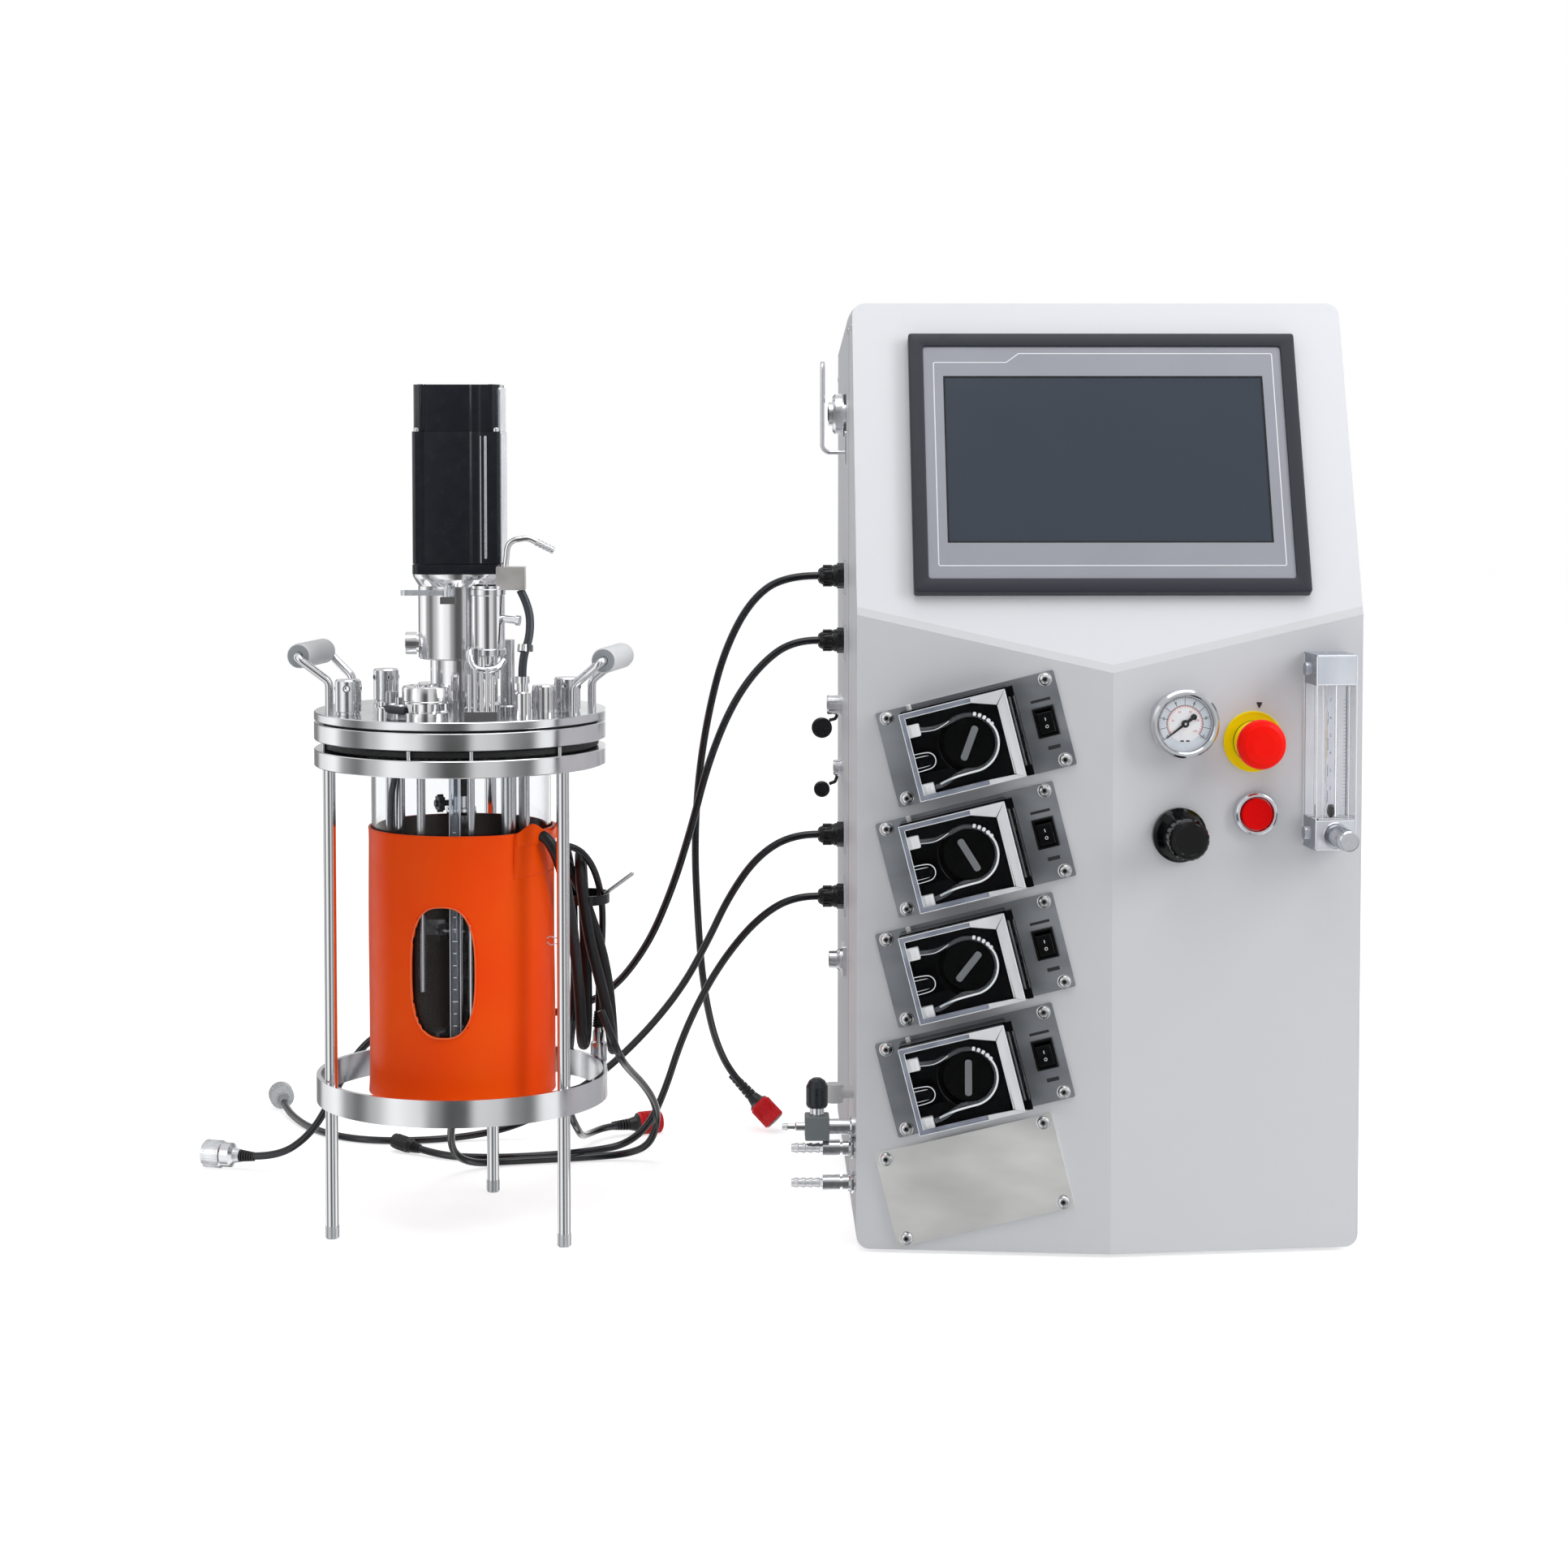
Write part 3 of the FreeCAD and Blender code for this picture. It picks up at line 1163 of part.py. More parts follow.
seal_drills = group("seal_drills", *stud_drills)
node("lid_seal", cut("lid_seal", turned("seal_blank", [
    ("clamp_bore", "clamp_top"), ("gasket_radius", "clamp_top"),
    ("gasket_radius", "lid_bottom"), ("clamp_bore", "lid_bottom")]), seal_drills, **vessel_spot))
node("clamp_ring", cut("clamp_ring", ring("clamp_blank", "clamp_bore", "lid_radius",
                                          "clamp_bottom", "clamp_top"), seal_drills,
                       **vessel_spot))
node("stand_ring", group("stand_ring", ring("stand_ring_form", "ring_bore", "lid_radius",
                                            "stand_ring_bottom", "stand_ring_top"),
                         **vessel_spot))

# Glass jar: its flange is held between the two rings.
glass_inner = "glass_radius - glass_wall"


def quarter(centre_radius, centre_height, radius):
    """Points of a rounded lower corner, from the flat base to the wall."""
    return [("(%s) + (%s) * sin(%d)" % (centre_radius, radius, a),
             "(%s) - (%s) * cos(%d)" % (centre_height, radius, a)) for a in range(0, 91, 15)]


jar_outside = quarter("glass_radius - glass_corner", "glass_bottom + glass_corner",
                      "glass_corner")
jar_inside = quarter("glass_radius - glass_corner", "glass_bottom + glass_corner",
                     "glass_corner - glass_wall")
node("glass_jar", turned("glass_jar", [("0", "glass_bottom")] + jar_outside + [
    ("glass_radius", "stand_ring_top"), ("glass_flange_radius", "stand_ring_top"),
    ("glass_flange_radius", "clamp_bottom"), (glass_inner, "clamp_bottom")]
    + list(reversed(jar_inside)) + [("0", "glass_bottom + glass_wall")], **vessel_spot))

# Heating blanket: silicone sleeve pulled tight round the jar, with an oval window.
sleeve = turned("sleeve", [
    ("glass_radius + blanket_gap", "blanket_bottom"),
    ("blanket_radius", "blanket_bottom"), ("blanket_radius", "blanket_top"),
    ("glass_radius + blanket_gap", "blanket_top")])
window_low = cylinder("window_low", "window_radius_low", "2 * glass_radius",
                      x="window_off", z="window_height - window_drop", roll="90")
window_high = cylinder("window_high", "window_radius_high", "2 * glass_radius",
                       x="window_off", z="window_height + window_rise", roll="90")
window_side = padded("window_side", "XZ_Plane", [
    ("window_off - window_radius_low", "window_height - window_drop"),
    ("window_off + window_radius_low", "window_height - window_drop"),
    ("window_off + window_radius_high", "window_height + window_rise"),
    ("window_off - window_radius_high", "window_height + window_rise")], "2 * glass_radius")
node("heating_blanket", cut("heating_blanket", sleeve, window_low, window_high, window_side,
                            **vessel_spot))

# Stand: three rods welded to a low band, and the stand ring on top of the rods.
frame_pieces = [turned("leg_band", [
    ("lid_radius - band_thick", "band_bottom"), ("lid_radius", "band_bottom"),
    ("lid_radius", "band_top"), ("lid_radius - band_thick", "band_top")])]
for i in range(3):
    x, y = leg_spot(i)
    frame_pieces.append(cylinder("leg_%d" % (i + 1), "leg_radius", "stand_ring_bottom - 2",
                                 x=x, y=y, z="2"))
node("stand_frame", join("stand_frame", *frame_pieces, **vessel_spot))

# Hold-down nuts: tall round nuts with cross holes for a bar, on studs that go
# down into the clamp ring.
nut_form = cut("hold_down_nut", join("nut_blank", turned("nut_turned", [
    ("0", "0"), ("nut_radius - 0.8", "0"), ("nut_radius - 0.8", "1"), ("nut_radius", "1.6"),
    ("nut_radius", "nut_height - 1"), ("nut_radius - 1", "nut_height"), ("0", "nut_height")]),
    cylinder("nut_stud", "stud_radius", "lid_top - clamp_bottom", z="clamp_bottom - lid_top")),
    cylinder("bar_hole_a", "1.9", "3 * nut_radius", x="-1.5 * nut_radius",
             z="nut_height - 6", pitch="90"),
    cylinder("bar_hole_b", "1.9", "3 * nut_radius", y="1.5 * nut_radius",
             z="nut_height - 6", roll="90"))
nuts = [group("nut_%d" % (i + 1), nut_form, **on_lid(x, y, yaw=str(25 * i)))
        for i, (x, y) in enumerate(nut_spots)]
node("hold_down_nuts", group("hold_down_nuts", *nuts))

# Carrying handles: two bent rods each stand on the lid and turn into the ends of
# a grip that spins freely on them.
grip_form = cut("grip_form", turned("grip_turned", [
    ("0", "-grip_length / 2"), ("grip_radius - 0.7", "-grip_length / 2"),
    ("grip_radius", "-grip_length / 2 + 0.7"), ("grip_radius", "grip_length / 2 - 0.7"),
    ("grip_radius - 0.7", "grip_length / 2"), ("0", "grip_length / 2")]),
    cylinder("grip_bore", "handle_rod + running_gap", "grip_length + 2",
             z="-grip_length / 2 - 1"))
handle_directions = {"right": "-handle_turn", "left": "180 - handle_turn"}
grip_inset = "grip_length / 2 - 9"
GRIP_BEND = 3.7
rods = []
for side, direction in handle_directions.items():
    heading = number(direction)
    for hand in (-1, 1):
        local = [("handle_radius", "handle_half", "lid_top"),
                 ("handle_radius", "handle_half", "handle_bend_height"),
                 ("grip_circle", "handle_spread", "grip_height"),
                 ("grip_circle", grip_inset, "grip_height")]
        points = []
        for reach, across, height in local:
            spot = Vector(number(reach), hand * number(across), number(height))
            points.append(FreeCAD.Rotation(heading, 0, 0).multVec(spot))
        rod = doc.addObject("Part::Feature", "handle_rod_%s_%d" % (side, hand + 2))
        rod.Shape = swept_tube(bent_path(points, [7, GRIP_BEND]), number("handle_rod"))
        rods.append(rod)
    node("grip_" + side, group("grip_" + side, grip_form, **at_vessel(
        "grip_circle * cos(%s)" % direction, "grip_circle * sin(%s)" % direction,
        "grip_height", yaw=direction, roll="-90")))
node("handle_rods", group("handle_rods", *rods, **vessel_spot))

# Drive: a bearing housing on the lid, an adapter, and the servo motor on top.
housing = turned("housing_form", [
    ("shaft_radius + running_gap", "lid_top"), ("housing_low_radius", "lid_top"),
    ("housing_low_radius", "housing_step"), ("housing_radius - 1", "housing_step"),
    ("housing_radius", "housing_step + 1"), ("housing_radius", "housing_top - 1"),
    ("housing_radius - 1", "housing_top"), ("adapter_radius", "housing_top"),
    ("adapter_radius", "adapter_top"), ("shaft_radius + 5", "adapter_top"),
    ("shaft_radius + 5", "shaft_top - 12"), ("shaft_radius + running_gap", "shaft_top - 12")])
side_plug = turned("side_plug", [
    ("0", "housing_low_radius"), ("plug_radius - 1.5", "housing_low_radius"),
    ("plug_radius - 1.5", "housing_radius + 1"), ("plug_radius", "housing_radius + 1"),
    ("plug_radius", "plug_reach - 0.6"), ("plug_radius - 0.6", "plug_reach"),
    ("0", "plug_reach")], z="plug_height", pitch="-90")
lug = block("lever_lug", ("lever_pivot_x - 5", "lever_pivot_x + 5"),
            ("lever_pivot_y - 4", "-20"), ("housing_top - 12", "housing_top - 7"))
lever_pin = cylinder("lever_pin", "lever_pin_radius", "13", x="lever_pivot_x",
                     y="lever_pivot_y", z="housing_top - 12")
node("bearing_housing", cut("bearing_housing", join("housing_blank", housing, side_plug, lug,
                                                    lever_pin),
                            cylinder("shaft_room", "shaft_radius + running_gap", "70",
                                     z="lid_top - 1"), **vessel_spot))
lever_low = "housing_top - 7 + free_gap"
lever_room = "lever_width / 2 - 1.7"
lever_reach = "lever_length - lever_width / 2"
lever_outer = join("lever_outer", cylinder("lever_boss", "4", "lever_thick"),
                   block("lever_arm", ("-(%s)" % lever_reach, "0"),
                         ("-lever_width / 2", "lever_width / 2"), ("0.7", "lever_thick - 0.7")),
                   cylinder("lever_end", "lever_width / 2", "lever_thick - 1.4",
                            x="-(%s)" % lever_reach, z="0.7"))
lever_slot = join("lever_slot", block("slot_run", ("-(%s)" % lever_reach, "-6.5"),
                                      ("-(%s)" % lever_room, lever_room), ("-1", "10")),
                  cylinder("slot_end", lever_room, "11", x="-(%s)" % lever_reach, z="-1"))
node("locking_lever", cut("locking_lever", lever_outer, lever_slot,
                          cylinder("lever_bore", "lever_pin_radius + running_gap", "10", z="-1"),
                          **at_vessel("lever_pivot_x", "lever_pivot_y", lever_low)))
# Stirrer: shaft, coupling, two bladed discs
stirrer_pieces = [
    cylinder("stirrer_shaft", "shaft_radius", "shaft_top - shaft_bottom", z="shaft_bottom"),
    cylinder("stirrer_sleeve", "shaft_radius + 2.8", "lid_bottom - 311 - 1", z="311"),
    cylinder("stirrer_coupling", "shaft_radius + 4", "10", z="301"),
]
for level, height in (("low", "impeller_low"), ("high", "impeller_high")):
    stirrer_pieces.append(cylinder("hub_" + level, "hub_radius", "hub_height",
                                   z="%s - hub_height / 2" % height))
    stirrer_pieces.append(cylinder("disc_" + level, "impeller_disc_radius", "blade_thick",
                                   z="%s - blade_thick / 2" % height))
    for i in range(6):
        blade = block("blade_%s_%d" % (level, i + 1),
                      ("impeller_disc_radius - 8", "impeller_radius"),
                      ("-blade_thick / 2", "blade_thick / 2"),
                      ("%s - blade_height / 2" % height, "%s + blade_height / 2" % height))
        stirrer_pieces.append(group("blade_turned_%s_%d" % (level, i + 1), blade,
                                    yaw=str(60 * i)))
node("stirrer", join("stirrer", *stirrer_pieces, **vessel_spot))

# Servo motor: black flange, body, and a narrower upper section
half_servo = "servo_width / 2"


def motor_block(name, half, low, high, rounding):
    solid = padded(name, "XY_Plane", rectangle("-(%s)" % half, half, "-(%s)" % half, half),
                   "(%s) - (%s)" % (high, low), z=low)
    return soften(solid, rounding, runs_along(Z_AXIS))


servo_body = motor_block("servo_body", half_servo, "adapter_top + servo_flange", "servo_step",
                         "3")
servo_flange = motor_block("servo_flange_form", half_servo, "adapter_top",
                           "adapter_top + servo_flange", "4")
servo_cap = motor_block("servo_cap", "servo_top_width / 2", "servo_step", "servo_top", "5")
soften(servo_cap, "1.8", lambda edge: edge.BoundBox.ZMin
       > number("servo_top - servo_step") - 0.01)
node("servo_motor", join("servo_motor", servo_body, servo_flange, servo_cap,
                         **at_vessel("0", "0", "0", yaw="servo_turn")))

# Tubes through the lid, each with its compression nut on the lid
hung = []
for name, (x, y, radius, low, high) in dip_tubes.items():
    tube = cylinder(name, radius, "(%s) - (%s)" % (high, low), z=low)
    nut = turned(name + "_nut", [
        ("0", "lid_top"), (radius + " + 1.7", "lid_top"), (radius + " + 1.7", "lid_top + 5"),
        (radius + " + 1", "lid_top + 6"), ("0", "lid_top + 6")])
    hung.append(join(name + "_hung", tube, nut, **at_vessel(x, y, "0")))
node("lid_tubes", group("lid_tubes", *hung))

# Fittings that stand on the lid
condenser = turned("condenser", [
    ("0", "0"), ("8.4", "0"), ("8.4", "8"), ("6.4", "10"), ("6.4", "42"), ("11.7", "42"),
    ("11.7", "condenser_height - 1"), ("8", "condenser_height"), ("0", "condenser_height")],
    x="condenser_x", y="condenser_y", z="lid_top")
septum_cap = turned("septum_cap", [
    ("0", "0"), ("15", "0"), ("15", "4"), ("10", "5"), ("10", "10.8"), ("16.4", "10.8"),
    ("16.4", "22"), ("15.4", "22.7"), ("0", "22.7")], **on_lid("-17.4", "-70"))
closed_port = turned("closed_port", [
    ("0", "0"), ("8", "0"), ("8", "20"), ("7", "21"), ("0", "21")], **on_lid("62", "-47"))
probe_port = turned("probe_port", [
    ("0", "0"), ("5.7", "0"), ("5.7", "17"), ("4", "18"), ("4", "24"), ("5", "24"),
    ("5", "probe_port_height"), ("0", "probe_port_height")],
    **on_lid("probe_port_x", "probe_port_y"))
inlet_port = turned("inlet_port", [
    ("0", "0"), ("5.4", "0"), ("5.4", "6"), ("4", "7"), ("4", "10"), ("0", "10")],
    **on_lid("-49", "-56"))
rear_port = turned("rear_port", [
    ("0", "0"), ("9", "0"), ("9", "12"), ("8", "13"), ("0", "13")], **on_lid("-29", "72"))
thin_tube_bar = block("thin_tube_bar", ("9.5", "32"), ("-79.5", "-74.5"), ("0", "5"))
thin_tubes = [cylinder("thin_tube_%d" % (i + 1), "1.4", height, x=x, y="-77")
              for i, (x, height) in enumerate((("12.7", "31"), ("16.6", "35"), ("21", "33"),
                                               ("25", "35"), ("29", "30")))]
thin_tube_port = join("thin_tube_port", thin_tube_bar, *thin_tubes, **on_lid("0", "0"))
# Exhaust: a block at the condenser's top, with a gas line that arches to the right
exhaust_top = "exhaust_low + exhaust_thick"
exhaust_block = block("exhaust_block", ("condenser_x + 6", "condenser_x + 26"),
                      ("condenser_y - 7", "condenser_y + 7"), ("exhaust_low", exhaust_top))
line_y = "condenser_y + 1"
exhaust_line = bent_rod("exhaust_line", [
    vector("condenser_x + 12", line_y, exhaust_top + " - 1"),
    vector("condenser_x + 14", line_y, exhaust_top + " + 18"),
    vector("condenser_x + 28", line_y, exhaust_top + " + 20"),
    vector("condenser_x + 46", line_y, exhaust_top + " + 11")], 8, 2.1)
exhaust = join("exhaust", exhaust_block, exhaust_line, condenser, **vessel_spot)
node("lid_fittings", group("lid_fittings", exhaust, septum_cap, closed_port, probe_port,
                           inlet_port, rear_port, thin_tube_port))

# ------------------------------------------------------------------ cables
# Each cable is a run of straight pieces and tangent arcs.  Loose ends lie on the
# bench behind the stand.
BEND_SHARE = 0.45


def cord(name, radius, points):
    """A cable along hand-laid points; each arc takes its share of the shorter run."""
    path = [Vector(*point) for point in points]
    bends = []
    for i in range(1, len(path) - 1):
        before = path[i] - path[i - 1]
        after = path[i + 1] - path[i]
        half_turn = before.getAngle(after) / 2
        shorter = min(before.Length, after.Length)
        bends.append(min(BEND_SHARE * shorter / math.tan(half_turn), LONGEST_BEND))
    wire = bent_path(path, bends)
    feature = doc.addObject("Part::Feature", name)
    feature.Shape = swept_tube(wire, radius)
    runs = [(path[i + 1] - path[i]).Length for i in range(len(path) - 1)]
    for i in range(len(runs)):
        near = [runs[k] for k in (i - 1, i + 1) if 0 <= k < len(runs)]
        if runs[i] > 2 * min(near) or runs[i] > max(30 * radius, 60):
            print("  long run", name, i, round(runs[i]), [round(run) for run in near])
    if runs[0] > runs[1] or runs[-1] > runs[-2]:
        print("  end run longer than its neighbour", name)
    print(name, "length %.0f, tightest bend %.1f" % (wire.Length, min(bends)))
    cord_ends[name] = path[-1]
    return node(name, feature)


cord_ends = {}
LONGEST_BEND = 2000.0
CABLE = 2.9
gland_x = number("cabinet_left - gland_nut - gland_dome")
gland_y = number("cabinet_front + gland_back")
glands = {letter: number("gland_%s_height" % letter) for letter in "abcd"}
cord("cable_1", CABLE, [
    (gland_x, gland_y, glands["a"]), (-20, gland_y, glands["a"]), (-46, 64, 441),
    (-66, 74, 401), (-78, 86, 353), (-86, 98, 301), (-89, 112, 246), (-87, 128, 192),
    (-84, 148, 142), (-79, 172, 104), (-72, 196, 72), (-60, 214, 44), (-44, 208, 28)])
cord("cable_2", CABLE, [
    (gland_x, gland_y, glands["b"]), (-13, gland_y, glands["b"]), (-38, 58, 393),
    (-60, 57, 362), (-80, 60, 318), (-98, 68, 270), (-114, 80, 222), (-134, 88, 176),
    (-162, 90, 138), (-204, 84, 122), (-250, 72, 120), (-298, 60, 119), (-330, 54, 112),
    (-350, 54, 92), (-366, 56, 60), (-384, 62, 30), (-412, 71, 10.8), (-440, 80, 10.8)])
cord("cable_3", CABLE, [
    (gland_x, gland_y, glands["c"]), (-13, gland_y, glands["c"]), (-40, 62, 246),
    (-64, 74, 216), (-84, 92, 180), (-106, 112, 142), (-134, 132, 104), (-164, 150, 68),
    (-196, 166, 34), (-230, 176, 12), (-272, 172, 3.2), (-320, 158, 3.2), (-366, 166, 3.2),
    (-402, 202, 3.2), (-422, 242, 4), (-432, 266, 7), (-437, 283, 10)])
cord("cable_4", CABLE, [
    (gland_x, gland_y, glands["d"]), (-13, gland_y, glands["d"]), (-40, 66, 197),
    (-62, 78, 168), (-78, 94, 130), (-92, 112, 92), (-104, 126, 54), (-117, 134, 24),
    (-138, 134, 6), (-166, 124, 3.2), (-196, 112, 3.2), (-226, 104, 3.2), (-258, 102, 3.2),
    (-290, 110, 3.2), (-312, 128, 6)])


def from_vessel(points):
    """Points measured from the vessel's axis."""
    return [(number("vessel_x") + x, number("vessel_y") + y, z) for x, y, z in points]


# A black hose from the probe port up to the exhaust block
hose_x = number("probe_port_x")
hose_y = number("probe_port_y")
cord("exhaust_hose", CABLE, from_vessel([
    (hose_x, hose_y, number("probe_port_top")), (hose_x, hose_y, 415), (50, -62, 431),
    (46.5, -55, 447), (46.5, -55, number("exhaust_low"))]))


def off_blanket(angle, height, out):
    """A point that stands out from the blanket's surface at an angle about the axis."""
    reach = number("blanket_radius - 0.1") + out
    turn = math.radians(angle)
    return reach * math.cos(turn), reach * math.sin(turn), height


cord("blanket_cable", CABLE, from_vessel([
    off_blanket(45, 284, 0), off_blanket(45, 284, 16), (71, 67, 269), (76, 67, 240),
    (77, 65, 205), (77, 65, 168), (75, 73, 132), (71, 91, 100), (67, 117, 72), (69, 149, 46),
    (73, 183, 26), (75, 217, 13), (81, 247, 9.4), (93, 269, 9.1), (109, 276, 9.1)]))
cord("sensor_cable", 2.5, from_vessel([
    off_blanket(20, 272, 0), off_blanket(20, 272, 16), (91, 38, 258), (98, 54, 231),
    (98, 66, 199), (95, 71, 170), (94.4, 71.9, 149), (94.4, 71.9, 129)]))


# Plugs on the loose ends
def plug(name, cable, direction, profile):
    """A round plug whose axis starts at its cable's end and lies along a direction."""
    form = turned(name + "_form", profile)
    body = doc.addObject("Part::Compound", name)
    body.Links = [form]
    body.Placement = FreeCAD.Placement(cord_ends[cable], FreeCAD.Rotation(
        Z_AXIS, Vector(*direction)))
    return body


signal_plug = [("0", "0"), ("4.5", "0"), ("6", "6"), ("8.4", "8"), ("8.4", "20"), ("9", "20"),
               ("9", "27"), ("8", "28"), ("0", "28")]
power_plug = [("0", "0"), ("5", "0"), ("6", "5"), ("9.4", "7"), ("9.4", "14"), ("10.5", "15"),
              ("10.5", "29"), ("9.5", "30"), ("0", "30")]
ribbed_plug = [("0", "0"), ("6", "0"), ("9.8", "3"), ("9.8", "15"), ("8.5", "16"), ("0", "16")]
small_plug = [("0", "0"), ("3.5", "0"), ("5.8", "3"), ("5.8", "20"), ("0", "20")]
round_plug = [("0", "0"), ("3.4", "0"), ("4.4", "3"), ("4.4", "10"), ("5.7", "11"),
              ("5.7", "27"), ("4.6", "28"), ("4.6", "35"), ("0", "35")]
node("cable_plugs", group(
    "cable_plugs",
    plug("plug_1", "cable_1", (16, -6, -16), signal_plug),
    plug("plug_2", "cable_2", (-28, 9, 0), power_plug),
    plug("plug_3", "cable_3", (-5, 17, 3), ribbed_plug),
    plug("plug_4", "cable_4", (-22, 18, 2.8), small_plug),
    plug("plug_5", "sensor_cable", (0, 0, -1), round_plug),
    plug("plug_6", "blanket_cable", (16, 7, 0), signal_plug)))

# ------------------------------------------------------------------ export
doc.recompute()
for part in doc.Objects:
    if "Invalid" in part.State or "Error" in part.State:
        raise ValueError("%s is %s" % (part.Label, part.State))
for part in nodes:
    if part.Shape.isNull() or not part.Shape.isValid() or not part.Shape.Solids:
        raise ValueError("%s has no sound shape" % part.Label)
for part in nodes:
    part.Shape.exportStep("parts/%s.step" % part.Label)
print(len(nodes), "sub-parts")
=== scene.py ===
import json
import math
import bmesh
import bpy
from mathutils import Matrix, Vector


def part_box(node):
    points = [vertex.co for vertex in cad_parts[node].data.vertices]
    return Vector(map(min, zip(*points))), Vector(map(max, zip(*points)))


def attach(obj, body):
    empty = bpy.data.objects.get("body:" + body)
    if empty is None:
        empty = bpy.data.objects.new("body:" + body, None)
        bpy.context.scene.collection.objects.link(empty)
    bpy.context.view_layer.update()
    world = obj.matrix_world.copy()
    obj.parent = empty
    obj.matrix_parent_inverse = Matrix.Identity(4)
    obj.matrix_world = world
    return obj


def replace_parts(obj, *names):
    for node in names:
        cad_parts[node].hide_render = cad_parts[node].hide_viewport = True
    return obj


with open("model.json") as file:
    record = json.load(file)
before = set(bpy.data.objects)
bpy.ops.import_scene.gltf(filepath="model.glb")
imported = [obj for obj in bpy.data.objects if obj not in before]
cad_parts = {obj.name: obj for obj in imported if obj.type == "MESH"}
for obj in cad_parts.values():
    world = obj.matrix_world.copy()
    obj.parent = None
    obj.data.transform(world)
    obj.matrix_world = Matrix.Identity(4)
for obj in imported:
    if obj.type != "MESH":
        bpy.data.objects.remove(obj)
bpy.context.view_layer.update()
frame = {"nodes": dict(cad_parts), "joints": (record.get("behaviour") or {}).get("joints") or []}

# ---- Bench, light and camera
# The device stands on a pale bench in a bright room.  Wide soft lamps hang over it and
# beside it, and dark screens between them give the steel its stripes.
CAMERA_DOWN = 2.8
CAMERA_RIGHT = 0.89
camera_data = bpy.data.cameras.new("camera")
camera_data.sensor_width = 36
camera_data.lens = 70.8
camera_data.shift_y = -0.135
camera_data.clip_end = 50
camera = bpy.data.objects.new("camera", camera_data)
camera.location = (-0.0563, -2.2869, 0.578)
camera.rotation_euler = (math.radians(90 - CAMERA_DOWN), 0, -math.radians(CAMERA_RIGHT))
bpy.context.collection.objects.link(camera)
bpy.context.scene.camera = camera
bpy.context.scene.view_settings.view_transform = "Standard"
WHITE = (1, 1, 1, 1)
SEEN_RAYS = ("Is Camera Ray", "Is Transmission Ray")


def hue(text):
    """A display colour such as E4E6EA as linear light."""
    parts = [int(text[i:i + 2], 16) / 255 for i in (0, 2, 4)]
    return [c / 12.92 if c < 0.04045 else ((c + 0.055) / 1.055) ** 2.4 for c in parts] + [1]


def add_node(tree, kind, sockets=None, **settings):
    """A shader node.  A socket takes a value, or the output that feeds it."""
    made = tree.nodes.new("ShaderNode" + kind)
    for name, value in settings.items():
        setattr(made, name, value)
    for name, value in (sockets or {}).items():
        if isinstance(value, bpy.types.NodeSocket):
            tree.links.new(value, made.inputs[name])
        else:
            made.inputs[name].default_value = value
    return made


class Finish:
    """A material on the plain shader.  rough is a number, or what roughen takes."""

    def __init__(self, name, colour, rough, metal=0.0, bumps=None, tint=None, shine=0.5,
                 clear=0.0, ior=1.5, streak=0.0):
        self.made = bpy.data.materials.new(name)
        self.made.use_nodes = True
        self.tree = self.made.node_tree
        self.shader = self.tree.nodes["Principled BSDF"]
        for socket, value in (("Base Color", hue(colour)), ("Metallic", metal),
                              ("Specular IOR Level", shine), ("Transmission Weight", clear),
                              ("IOR", ior), ("Anisotropic", streak)):
            self.shader.inputs[socket].default_value = value
        self.height = None
        if isinstance(rough, tuple):
            self.roughen(*rough)
        else:
            self.shader.inputs["Roughness"].default_value = rough
        if bumps:
            self.emboss(*bumps)
        if tint:
            self.drift(*tint)

    def noise(self, scale, stretch=(1, 1, 1), detail=3.0, turn=(0, 0, 0)):
        """Cloudy values over the object, drawn out along the axes by stretch."""
        place = add_node(self.tree, "TexCoord")
        spread = add_node(self.tree, "Mapping", {"Vector": place.outputs["Object"],
                                                 "Rotation": turn,
                                                 "Scale": [scale / s for s in stretch]})
        return add_node(self.tree, "TexNoise", {"Vector": spread.outputs["Vector"],
                                                "Scale": 1.0, "Detail": detail}).outputs["Fac"]

    def between(self, values, low, high):
        """The values 0.25 to 0.75 brought to low and high."""
        return add_node(self.tree, "MapRange", {"Value": values, "From Min": 0.25,
                                                "From Max": 0.75, "To Min": low,
                                                "To Max": high}).outputs["Result"]

    def roughen(self, scale, low, high, stretch=(1, 1, 1)):
        self.tree.links.new(self.between(self.noise(scale, stretch), low, high),
                            self.shader.inputs["Roughness"])

    def emboss(self, scale, deep, strength, detail=3.0, stretch=(1, 1, 1)):
        self.relief(self.noise(scale, stretch, detail), deep, strength)

    def relief(self, values, deep, strength):
        """Relief of a depth in millimetres, added over any that is there."""
        sockets = {"Strength": strength, "Distance": deep * 0.001, "Height": values}
        if self.height:
            sockets["Normal"] = self.height
        self.height = add_node(self.tree, "Bump", sockets).outputs["Normal"]
        self.tree.links.new(self.height, self.shader.inputs["Normal"])

    def drift(self, scale, first, second, stretch=(1, 1, 1)):
        """A colour that drifts between two."""
        mix = add_node(self.tree, "Mix", {
            "A": hue(first), "B": hue(second),
            "Factor": self.between(self.noise(scale, stretch), 0, 1)}, data_type="RGBA")
        self.tree.links.new(mix.outputs["Result"], self.shader.inputs["Base Color"])


def any_ray(tree, rays):
    """1 for a ray of any of these kinds."""
    path = add_node(tree, "LightPath")
    either = path.outputs[rays[0]]
    for ray in rays[1:]:
        either = add_node(tree, "Math", {0: either, 1: path.outputs[ray]},
                          operation="MAXIMUM").outputs[0]
    return either


def switch(tree, rays, others, these):
    """One shader for these rays and another for all others."""
    return add_node(tree, "MixShader", {"Fac": any_ray(tree, rays), 1: others.outputs[0],
                                        2: these.outputs[0]})


